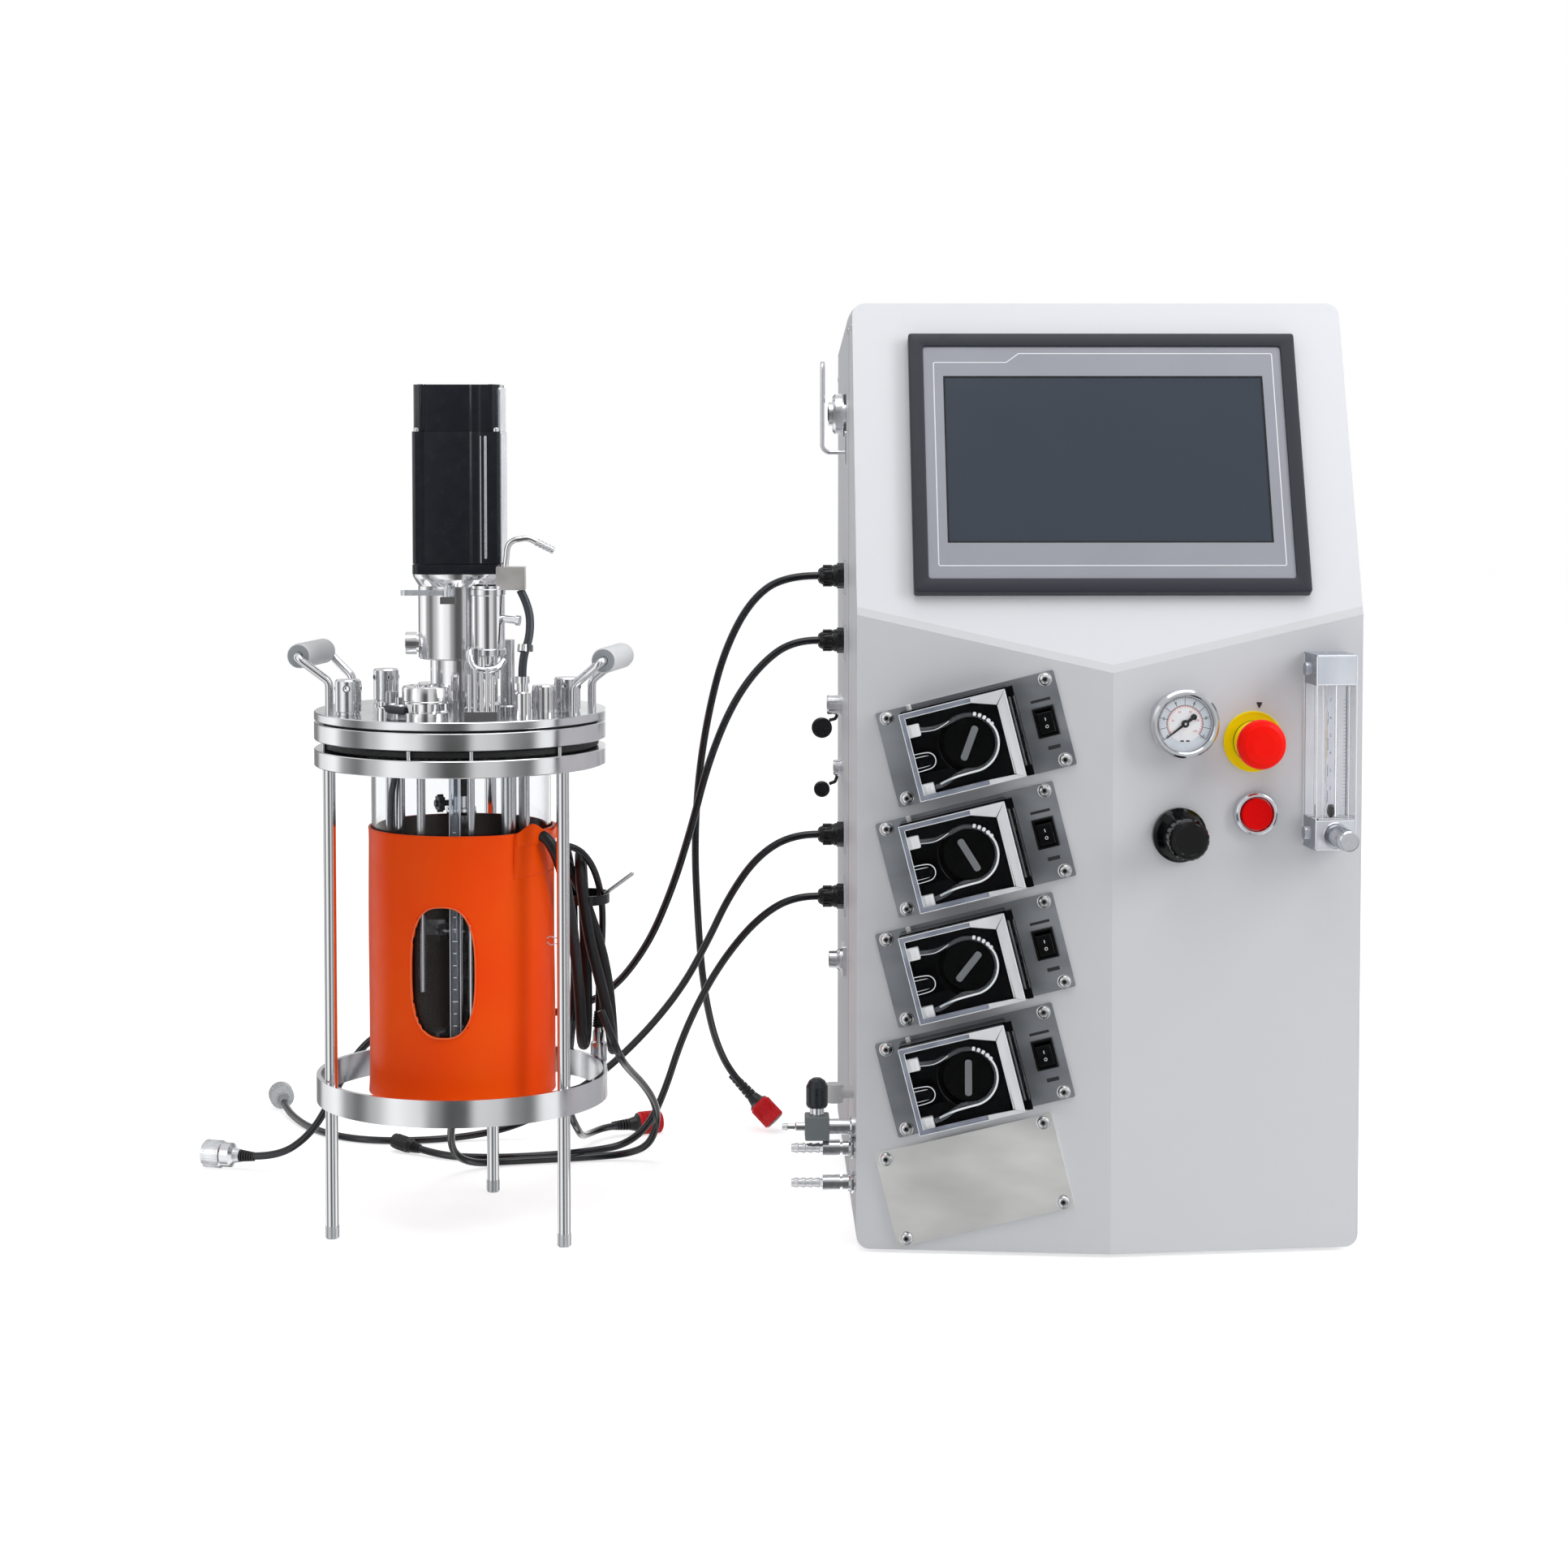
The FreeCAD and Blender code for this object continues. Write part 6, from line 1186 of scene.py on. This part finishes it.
overlap = Shape().join(skin([[overlap_point(i, j) for i in range(15)] for j in range(15)]))
overlap = overlap.show("blanket_overlap", blanket_orange, AT_VESSEL, sharp=50)
thicken(overlap, 0.9)
flap = Shape().join(skin([[flap_point(i, j) for i in range(21)] for j in range(9)]))
flap = flap.show("blanket_flap", blanket_orange, AT_VESSEL, sharp=60)
thicken(flap, 1.2)
rounder = flap.modifiers.new("rounder", "SUBSURF")
rounder.levels = rounder.render_levels = 1
# A moulded lip runs round the window; its lighter orange is a painted highlight where it catches
# the light.
lip = []
for k in range(48):
    x, z = [middle + math.copysign(abs(way) ** (2 / WINDOW_SQUARE), way) * (half + 0.4)
            for middle, half, way in zip((WINDOW_OFF, WINDOW_MID), WINDOW_HALF,
                                         polar(1, 7.5 * k))]
    lip.append((x, -math.sqrt((BLANKET_RADIUS + 0.35) ** 2 - x * x), z))
window_lip = tube_along("blanket_window_lip", lip + lip[:1], 0.6,
                        Finish("lip_orange_painted_highlight", "F4672A", (200, 0.34, 0.46)), AT_VESSEL, 2)
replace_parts(blanket, "heating_blanket")

# ---- Stand, nuts and handles
# Three polished rods on a low band; tall round nuts with cross holes hold the lid down;
# two bent rods on each side end in a ribbed grip that turns freely.
RODS_WITHIN = 100.4
GRIP_RADIUS = 9
GRIP_HALF = 27
GRIP_RIB = 1.5
dress(bright_steel, "hold_down_nuts", "handle_rods")
dress_where("stand_frame", Finish("leg_steel", "D6D7D9", (60, 0.09, 0.18, (1, 1, 10)), 1.0),
            lambda middle, normal: (math.hypot(middle.x, middle.y) < RODS_WITHIN
                                    and abs(normal.z) < 0.5), AT_VESSEL)
grip_white = Finish("grip_white", "DDDEE0", (200, 0.44, 0.6), bumps=(1200, 0.05, 0.35))
grip_end = Finish("grip_end", "9EA3A8", 0.5, bumps=(900, 0.05, 0.3))


def facing_along(point, way):
    """A place at a point, its Z along a direction."""
    return shift(*point) @ Vector(way).to_track_quat("Z", "Y").to_matrix().to_4x4()


ribbed = [(3.3, -GRIP_HALF), (8.2, -GRIP_HALF), (8.7, -GRIP_HALF + 0.6), (8.7, -GRIP_HALF + 2)]
while ribbed[-1][1] < GRIP_HALF - 2 - GRIP_RIB / 2:
    z = ribbed[-1][1]
    ribbed += [(GRIP_RADIUS, z + 0.3), (GRIP_RADIUS, z + 0.8), (8.6, z + 1.05),
               (8.6, z + GRIP_RIB)]
ribbed += [(8.7, GRIP_HALF - 0.6), (8.2, GRIP_HALF), (3.3, GRIP_HALF), (3.3, -GRIP_HALF)]
for name in ("grip_left", "grip_right"):
    spin = joints[name + "_spin"]
    at = facing_along([v * 1000 for v in spin["pos_m"]], spin["axis"])
    sleeve = Shape().spun(ribbed, None, 48)
    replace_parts(sleeve.show(name + "_sleeve", grip_white, at, name + "_body", 40), name)
    ends = Shape()
    for pitch in (0, 180):
        ends.spun([(3.25, GRIP_HALF - 0.3), (8.1, GRIP_HALF - 0.3), (8.0, GRIP_HALF + 0.02),
                   (3.25, GRIP_HALF + 0.02), (3.25, GRIP_HALF - 0.3)], turned_about("X", pitch))
    ends.show(name + "_ends", grip_end, at, name + "_body")

# ---- Drive
# A turned steel bearing housing with a side plug, the flared adapter with its slotted
# locking lever, and a black square servo motor whose faces stand proud of its corners.
housing_steel = Finish("housing_steel", "DCDCDE", (50, 0.06, 0.15, (1, 1, 8)), 1.0)
dress(housing_steel, "bearing_housing")
servo_black = Finish("servo_black", "191D25", (150, 0.18, 0.3), shine=0.45,
                     bumps=(1300, 0.03, 0.3))
dress(servo_black, "servo_motor")
SERVO_TURN = 0.3
SERVO_HALF = 31.0
SERVO_STEP = 571
flange_z, servo_top = (corner.z * 1000 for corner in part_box("servo_motor"))
servo_top += 0.5
flange_top = flange_z + 7
AT_SERVO = AT_VESSEL @ turned_about("Z", SERVO_TURN)
QUARTERS = (0, 90, 180, 270)


def motor_outline(half, corner):
    """A square with round corners and a groove beside each face's raised panel."""
    side = [(-half + corner, half), (-25.2, half), (-24.6, half - 0.7), (-22.8, half - 0.7),
            (-22.2, half + 0.2), (9.6, half + 0.2), (11, half - 0.7), (16.2, half - 0.7),
            (17, half), (half - corner, half), (half - corner * 0.29, half - corner * 0.29)]
    return [(x * cos + d * sin, x * sin - d * cos)
            for cos, sin in [polar(1, degrees) for degrees in QUARTERS] for x, d in side]


case = Shape().prism(motor_outline(SERVO_HALF, 2.2), flange_top + 0.5, SERVO_STEP, 0.3, "XY")
case.prism(motor_outline(SERVO_HALF - 0.9, 4.5), SERVO_STEP - 1, servo_top, 0.5, "XY")
case.prism(centred(62.8, 62.8, 4), flange_z + 0.1, flange_top, 0.5, "XY")
case.show("servo_case", servo_black, AT_SERVO)
# Bright rounded strips right of each face's panel are painted highlights, and the right-hand side
# is painted pale satin metal: a painted reflection of the black case seen at a slant.
satin_metal_and_painted_glint = Finish("satin_metal_and_painted_glint", "C9CDD4", (300, 0.24, 0.38), 0.6,
                    tint=(25, "B4B9C2", "E8EBEF", (1, 1, 8)))
dress(satin_metal_and_painted_glint, "locking_lever")
painted_glints = Shape()
for degrees in QUARTERS:
    for left, right, lift in ((16.9, 17.5, 1), (19.7, 21.5, 4)):
        painted_glints.prism(oblong(left, right, flange_top + lift, SERVO_STEP - 3,
                           (right - left) * 0.45), -SERVO_HALF - 0.5, -SERVO_HALF + 0.3, 0.15,
                    place=turned_about("Z", degrees))
painted_glints.show("servo_painted_glints", satin_metal_and_painted_glint, AT_SERVO)
painted_side = Shape().prism(oblong(-28.6, 28.6, flange_top + 1, SERVO_STEP - 0.4, 1),
                     -SERVO_HALF - 0.7, -SERVO_HALF + 0.8, 0.3)
painted_side.prism(oblong(-27, 27, SERVO_STEP - 0.6, servo_top - 2, 2), -SERVO_HALF - 0.1,
           -SERVO_HALF + 1.6, 0.3)
painted_side.show("servo_side_painted_reflection", satin_metal_and_painted_glint, AT_SERVO @ turned_about("Z", 90))
cap_screws, post_screws = Shape(), Shape()
for x in (-24.6, 24.6):
    for y in (-24.6, 24.6):
        cap_screws.spun(disc(2.6, servo_top - 0.4, servo_top + 0.3), shift(x, y), 18)
        post_screws.spun([(0, 0), (2.4, 0), (2.4, 2.2), (2.0, 2.6), (0, 2.6)],
                         shift(x * 1.13, y * 1.13, SERVO_STEP), 18)
cap_screws.show("servo_cap_screws", steel, AT_SERVO)
post_screws.show("servo_post_screws", steel, AT_SERVO)
turned("adapter_flare", housing_steel,
       [(28.7, 460.5), (30.2, 462.4), (32.4, 466), (33.6, 468.2), (33.6, flange_z - 0.2),
        (28.7, flange_z - 0.2), (28.7, 460.5)], AT_VESSEL, 72)

# ---- Stirrer
# A steel shaft in a black sleeve, a coupling with a black star screw, and two bladed
# discs; everything turns together.
SHAFT_RADIUS = 5.2
SLEEVE_FOOT = 310.9
SCREW_PLACE = (AT_VESSEL @ shift(-12.5, -5.5, 306) @ turned_about("Z", 24)
               @ turned_about("Y", -90))
dress(bright_steel, "stirrer")
sleeve_black = Finish("sleeve_black", "1A1B1E", 0.4, bumps=(1000, 0.04, 0.3))
dress_where("stirrer", sleeve_black, lambda middle, normal: (
    middle.z > SLEEVE_FOOT and math.hypot(middle.x, middle.y) > SHAFT_RADIUS), AT_VESSEL)
lobes = [polar(5.6 + 0.9 * math.cos(math.radians(60 * k)), 7.5 * k) for k in range(48)]
star = Shape().prism(lobes, 0, 4.5, 0.5, "XY", SCREW_PLACE)
star.spun([(0, 4.3), (2.6, 4.3), (2.6, 6.2), (0, 6.6)], SCREW_PLACE, 20)
star.spun(disc(2.2, -6.0, 0.2), SCREW_PLACE, 16)
star.show("coupling_star_screw", sleeve_black, body="stirrer_body")
turned("coupling_collar", housing_steel,
       [(5.05, 297), (10.2, 297), (10.6, 297.6), (10.6, 302.4), (10.2, 303), (5.05, 303),
        (5.05, 297)], AT_VESSEL, body="stirrer_body")

# ---- Tubes inside the jar
# Steel dip tubes and probes hang from the lid on compression nuts; a dark hose and a
# graduated clear tube hang beside them.
probe_steel = Finish("probe_steel", "C4C5C8", (60, 0.14, 0.28, (1, 1, 12)), 1.0)
dress(probe_steel, "lid_tubes")
hose_dark = Finish("hose_dark", "2E333B", (400, 0.28, 0.42))
tube_along("inner_hose", [(-35, -43, 366), (-36, -43, 352), (-40, -41, 336), (-45, -37, 320),
                          (-46.5, -34, 300), (-46.5, -34, 240)], 2.2, hose_dark, AT_VESSEL)
GRADUATED = AT_VESSEL @ shift(0, -52)
turned("graduated_tube", silicone, washer(2.6, 4.0, 118, 366), GRADUATED, 28)
marks = Shape()
for k in range(20):
    marks.prism(centred(3.6 if k % 5 == 0 else 2.2, 0.6), -4.3, -3.6,
                place=shift(0, 0, 130 + 8.5 * k))
for x in (-3.6, 3.6):
    marks.prism(oblong(x - 0.25, x + 0.25, 119, 365), -2.2, -1.6)
marks.show("graduated_tube_marks", Finish("pale_grey_print", "D5D9DE", (300, 0.45, 0.6)),
           GRADUATED)

# ---- Fittings on the lid
# A condenser that carries the exhaust block and its arched line, a septum cap with a
# knurled edge, ports, and a comb of thin tubes, all turned from stainless steel.
LID_TOP = 373
EXHAUST_LOW = 461
EXHAUST_HIGH = 477
EXHAUST_NEAR = 5.9
EXHAUST_HALF = 7.1
ON_LID = AT_VESSEL @ shift(0, 0, LID_TOP)
CONDENSER = ON_LID @ shift(24, -53)
CAP = ON_LID @ shift(-17.4, -70)
dress(housing_steel, "lid_fittings")
dress_where("lid_fittings", Finish("block_grey", "B5B3B0", (200, 0.34, 0.48), 0.2,
                                   (900, 0.05, 0.35), (60, "9C9A97", "C4C2BF")),
            lambda middle, normal: (
                EXHAUST_LOW - 0.1 < middle.z + LID_TOP < EXHAUST_HIGH + 0.1
                and middle.x > EXHAUST_NEAR and abs(middle.y) < EXHAUST_HALF), CONDENSER)
turned("septum_cap_rim", housing_steel,
       [(13, 11.6), (16.4, 11.9), (16.9, 12.6), (16.9, 21.2), (16.2, 22.2), (13, 22.4),
        (13, 11.6)], CAP, 64)
cap = Shape().spun([(0, 22.3), (6.5, 22.3), (6.5, 23.3), (5.4, 23.5), (0, 23.5)], None, 32)
for k in range(5):
    cap.spun(disc(1.5, 22.5, 23.2), shift(*polar(11.4, 90 + 72 * k)), 14)
cap.show("septum_cap_top", bright_steel, CAP)
collars = Shape().spun([(11.5, 42), (12.6, 42.8), (12.6, 46.6), (11.5, 47.4), (11.5, 42)],
                       None, 48)
collars.spun([(11.5, 84), (12.3, 84.6), (12.3, 88.4), (11.5, 89), (11.5, 84)], None, 48)
collars.spun(washer(6.2, 7.6, 26, 33), None, 36)
collars.show("condenser_collars", bright_steel, CONDENSER)
tube_along("condenser_hook", [(12.5, -62, 420), (12, -66.5, 418), (13, -69, 410),
                              (18, -70, 406), (27, -69.5, 406), (33, -66, 408),
                              (35.5, -61, 412)], 2.4, bright_steel, AT_VESSEL)
Shape().prism(oblong(14.5, 18.5, 398, 421, 1), -68, -64.6, 0.5).show(
    "condenser_clip", bright_steel, AT_VESSEL)
# Side inlet of the condenser's upper half, and clamps of the black hose
turned("condenser_inlet", bright_steel,
       [(0, 0), (2.6, 0), (2.6, 9), (3.6, 9.4), (3.6, 12), (0, 12)],
       AT_VESSEL @ shift(34.8, -55.5, 441) @ turned_about("Z", -14) @ turned_about("Y", 96), 24)
clip = Shape().spun(washer(2.85, 3.9, -2.4, 2.4),
                    shift(49.0, -65.2, 421) @ turned_about("Y", 4) @ turned_about("X", -14), 24)
clip.prism(oblong(52.4, 56.2, 418.6, 423.4), -66.6, -63.8, 0.3)
clip.show("hose_clip", bright_steel, AT_VESSEL)
# A ribbed end on the exhaust line
ribs = Shape()
for k in range(5):
    ribs.spun([(2.0, -1.2), (2.75, -1.0), (2.2, 1.2), (2.0, 1.2), (2.0, -1.2)],
              shift(0, 0, -1.4 - 2.8 * k), 24)
ribs.show("exhaust_line_ribs", bright_steel,
          AT_VESSEL @ facing_along((70, -52, EXHAUST_LOW + 27), (18, 0, -9)))
tube_along("inlet_hose", [(-51, -57, 378.6), (-45, -59, 378.4), (-39, -63, 377.8),
                          (-32, -67, 377.6)], 2.9, hose_dark, AT_VESSEL)
flutes = Shape()
for x, y, low, high, reach in ((62, -47, 4, 17, 8), (-29, 72, 2, 11, 9)):
    flutes.ribs(24, oblong(-0.4, 0.4, reach - 0.1, reach + 0.4), low, high, place=shift(x, y))
flutes.show("port_flutes", housing_steel, ON_LID)
# Steel rims round the cross holes of the tall nuts
rims = Shape()
for x, y, yaw in ((-76, -35, 0), (-60, 60, 25), (2, 84, 50), (77, -17, 75)):
    for degrees in QUARTERS:
        rims.spun([(1.95, 8.6), (2.7, 8.95), (2.7, 9.3), (1.95, 9.3), (1.95, 8.6)],
                  shift(x, y, 18) @ turned_about("Z", yaw + degrees) @ turned_about("Y", 90), 20)
rims.show("nut_hole_rims", steel, ON_LID)

# ---- Cables and hoses
# Black silicone-jacketed leads.  Four come out of the cabinet's glands and two from the
# blanket; their loose ends lie on the bench with the plugs on them.
CABLE = 2.9
GLAND_X = cabinet_left - 21
GLAND_Y = cabinet_front + GLAND_BACK
high_a, high_b, high_c, high_d = GLAND_HEIGHTS
PLUG_REACH = 36
SLEEVE_START = 9
cable_black = Finish("cable_black", "14171E", (90, 0.1, 0.2), bumps=(300, 0.02, 0.15))
dress(bright_steel, "cable_plugs")
plug_black = Finish("plug_black", "18191C", 0.4, bumps=(900, 0.05, 0.3))
plug_clear = Finish("plug_clear", "D9DDE0", (300, 0.2, 0.32), clear=0.4, ior=1.45)
plug_red = Finish("plug_red", "F52832", (300, 0.24, 0.36), shine=0.3, bumps=(900, 0.03, 0.3))


def plug_trim(name, end, way, ribs, radius, low, high, tail, face=None, sleeve=None,
              made_of=bright_steel, tail_finish=plug_black):
    """A plug's grip ribs, its strain relief over the cable, and the dark end face."""
    at = facing_along(end, Vector(way).normalized())
    grip = Shape().ribs(ribs, oblong(-0.35, 0.35, radius - 0.25, radius + 0.35), low, high, 0.12)
    relief = Shape()
    for k in range(6):
        z = -tail * (k + 1) / 6
        out = 4.6 - 0.22 * k
        relief.spun([(2.95, z), (out, z + 0.25), (out, z + tail / 6 - 0.6),
                     (2.95, z + tail / 6 - 0.35), (2.95, z)], None, 24)
    made = [grip.show(name + "_ribs", sleeve or made_of, at),
            relief.show(name + "_relief", tail_finish, at)]
    if sleeve:
        dress_where("cable_plugs", plug_black,
                    lambda middle, normal: middle.length < PLUG_REACH, at)
        dress_where("cable_plugs", sleeve, lambda middle, normal: (
            middle.length < PLUG_REACH and middle.z > SLEEVE_START), at)
    if face:
        reach, depth = face
        made.append(turned(name + "_face", plug_black,
                           [(0, depth - 0.3), (reach, depth - 0.3), (reach, depth + 0.12),
                            (reach - 0.8, depth + 0.2), (0, depth + 0.2)], at, 32))
    return made


def cord(name, points, radius, place=HERE, finish=cable_black, with_pieces=(),
         stands_for=True):
    """A free cable along given control points."""
    made = tube_along(name + "_lead", points, radius, finish, place, 4, 12)
    if stands_for:
        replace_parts(made, name)


routes = {
    "cable_1": [
        (GLAND_X, GLAND_Y, high_a), (-20, GLAND_Y, high_a), (-46, 64, 441),
        (-66, 74, 401), (-78, 86, 353), (-86, 98, 301), (-89, 112, 246), (-87, 128, 192),
        (-84, 148, 142), (-79, 172, 104), (-72, 196, 72), (-60, 214, 44), (-44, 208, 28)],
    "cable_2": [
        (GLAND_X, GLAND_Y, high_b), (-13, GLAND_Y, high_b), (-38, 58, 393),
        (-60, 57, 362), (-78, 60, 317), (-91, 68, 266), (-106, 80, 217), (-126, 88, 170),
        (-157, 90, 132), (-203, 84, 118), (-250, 72, 120), (-298, 60, 119), (-330, 54, 112),
        (-350, 54, 92), (-366, 56, 60), (-384, 62, 30), (-412, 71, 10.8), (-440, 80, 10.8)],
    "cable_3": [
        (GLAND_X, GLAND_Y, high_c), (-13, GLAND_Y, high_c), (-40, 62, 246),
        (-62, 74, 213), (-79, 92, 174), (-99, 111, 135), (-127, 130, 97), (-160, 149, 62),
        (-196, 166, 34), (-230, 176, 12), (-272, 172, 3.2), (-320, 158, 3.2),
        (-366, 166, 3.2), (-402, 202, 3.2), (-422, 242, 4), (-432, 266, 7), (-437, 283, 10)],
    "cable_4": [
        (GLAND_X, GLAND_Y, high_d), (-13, GLAND_Y, high_d), (-40, 66, 197),
        (-66, 78, 164), (-86, 94, 127), (-101, 111, 90), (-112, 125, 53), (-125, 132, 22),
        (-144, 132, 6), (-168, 124, 3.2), (-196, 112, 3.2), (-226, 104, 3.2),
        (-258, 102, 3.2), (-290, 110, 3.2), (-312, 128, 6)],
}
trims = {
    "cable_1": plug_trim("plug_1", routes["cable_1"][-1], (16, -6, -16), 30, 8.9, 10, 27, 24,
                         (7.4, 28), plug_red),
    "cable_2": plug_trim("plug_2", routes["cable_2"][-1], (-28, 9, 0), 36, 10.5, 16, 28, 12,
                         (8.6, 30)),
    "cable_3": plug_trim("plug_3", routes["cable_3"][-1], (-5, 17, 3), 24, 9.8, 4, 14.5, 8,
                         made_of=plug_clear, tail_finish=plug_clear),
    "cable_4": plug_trim("plug_4", routes["cable_4"][-1], (-22, 18, 2.8), 18, 5.8, 5, 18, 8,
                         (4.2, 20), plug_black),
}
for name, points in routes.items():
    cord(name, points, CABLE, with_pieces=trims[name])
cord("exhaust_hose", [(48.6, -67, 401.7), (48.6, -67, 414), (54, -63, 430), (53, -56, 449),
                      (46.5, -55, 461)], CABLE, AT_VESSEL, hose_dark)


def off_blanket(degrees, height, out):
    """A point that stands out from the blanket at an angle about the vessel's axis."""
    return (*polar(BLANKET_RADIUS - 0.1 + out, degrees), height)


cord("blanket_cable", [
    off_blanket(45, 284, 0), off_blanket(45, 284, 16), (71, 67, 269), (76, 67, 240),
    (77, 65, 205), (77, 65, 168), (75, 73, 132), (71, 91, 100), (67, 117, 72),
    (69, 149, 46), (73, 183, 26), (75, 217, 13), (81, 247, 9.4), (93, 269, 9.1),
    (109, 276, 9.1)], CABLE, AT_VESSEL, with_pieces=plug_trim(
        "plug_6", (AXIS_X + 109, AXIS_Y + 276, 9.1), (16, 7, 0), 30, 8.9, 10, 27, 14,
        (7.4, 28), plug_red))
cord("sensor_cable", [
    off_blanket(20, 272, 0), off_blanket(20, 272, 16), (91, 38, 258), (98, 54, 231),
    (98, 66, 199), (95, 71, 170), (94.4, 71.9, 149), (94.4, 71.9, 129)], 2.5,
    AT_VESSEL, with_pieces=plug_trim(
        "plug_5", (AXIS_X + 94.4, AXIS_Y + 71.9, 129), (0, 0, -1), 20, 5.7, 12, 25, 12,
        (3.9, 35)))
# The blanket's spare heater lead is folded into a hank behind the right-hand rod, with a
# flat tie round it; one more lead leaves the hank for a loop on the bench and comes back
# to the blanket's lower edge.
tie = Shape().join(skin([[((reach + 2) * 0.85 * along, (reach + 5) * aside, z)
                          for reach, z in ((15, 0), (16.2, 0), (16.2, 7), (15, 7))]
                         for along, aside in [polar(1, 10 * k) for k in range(36)]], True))
tie = tie.show("hank_tie", gland_black, AT_VESSEL @ shift(88, 57, 225))
cord("heater_lead", [
    off_blanket(-31, 287, 0), (62, -37.3, 287), (69, -34, 275), (74, -24, 257),
    (77, -10, 236), (79, 6, 212), (81, 22, 184), (82.5, 35, 157), (83, 40, 138),
    (83.5, 44, 124), (84.5, 54, 118.5), (85.5, 64, 124), (86, 68, 138), (86, 67, 165),
    (85, 65, 196), (84, 64, 226), (83, 64, 244), (82.5, 57, 261), (82.5, 45, 261),
    (83, 37, 246), (86, 35, 222), (90, 36, 198), (96, 38, 174), (101, 41, 152),
    (104, 42, 136), (105.5, 46, 122), (106, 56, 114), (105, 66, 121), (104, 71, 136),
    (102, 68, 160), (98, 59, 186), (92, 51, 208), (84, 49, 232), (76, 47, 250),
    (66, 44, 262), off_blanket(38, 272, 0)], 4.1, AT_VESSEL,
     Finish("sleeve_matt", "16181C", (90, 0.34, 0.5), shine=0.4, bumps=(1100, 0.08, 0.4)),
     [tie], False)
cord("spare_lead", [
    (98, 28, 150), (106, 27, 130), (112, 39, 112), (117, 72, 97), (126, 112, 78),
    (134, 152, 55), (135.4, 179, 34), (129, 183, 14), (111, 191, 5), (81, 189, 3.2),
    (48, 182, 3.2), (18, 176, 3.2), (-8, 162, 5), (-20, 140, 18), (-20, 112, 40),
    (-14, 90, 64), (-8, 75, 84), (-4, 68, 95), (-2, 65.6, 102)], CABLE,
     AT_VESSEL, stands_for=False)
# A thin steel probe stands out of the hank, and bare wires at the blanket's edge.
probe_foot = Vector((98.4, 65, 228.7))
probe = Vector((121, 65, 245.4)) - probe_foot
turned("hank_probe", probe_steel,
       [(0, 0), (1.5, 0), (1.5, probe.length - 1.4), (0.9, probe.length - 0.3),
        (0, probe.length)], AT_VESSEL @ facing_along(probe_foot, probe), 16)
for name, rise, fall in (("edge_wire_1", 211, 214), ("edge_wire_2", 209, 206)):
    tube_along(name, [(61.6, -22.6, rise), (65, -25, fall), (69, -26, rise),
                      (73, -24.5, fall)], 0.45, pale_plate, AT_VESSEL, 1)

# ---- Plug shells
# The clear ribbed connector's own body is moulded plastic, where the other plugs have
# metal shells.  It is the one that lies furthest back on the left.
PLUG_3_EDGE = -425
PLUG_3_FRONT = 270
dress_where("cable_plugs", plug_clear, lambda middle, normal: (
    middle.y > PLUG_3_FRONT and middle.x < PLUG_3_EDGE))

# ---- Finish
bpy.context.view_layer.update()
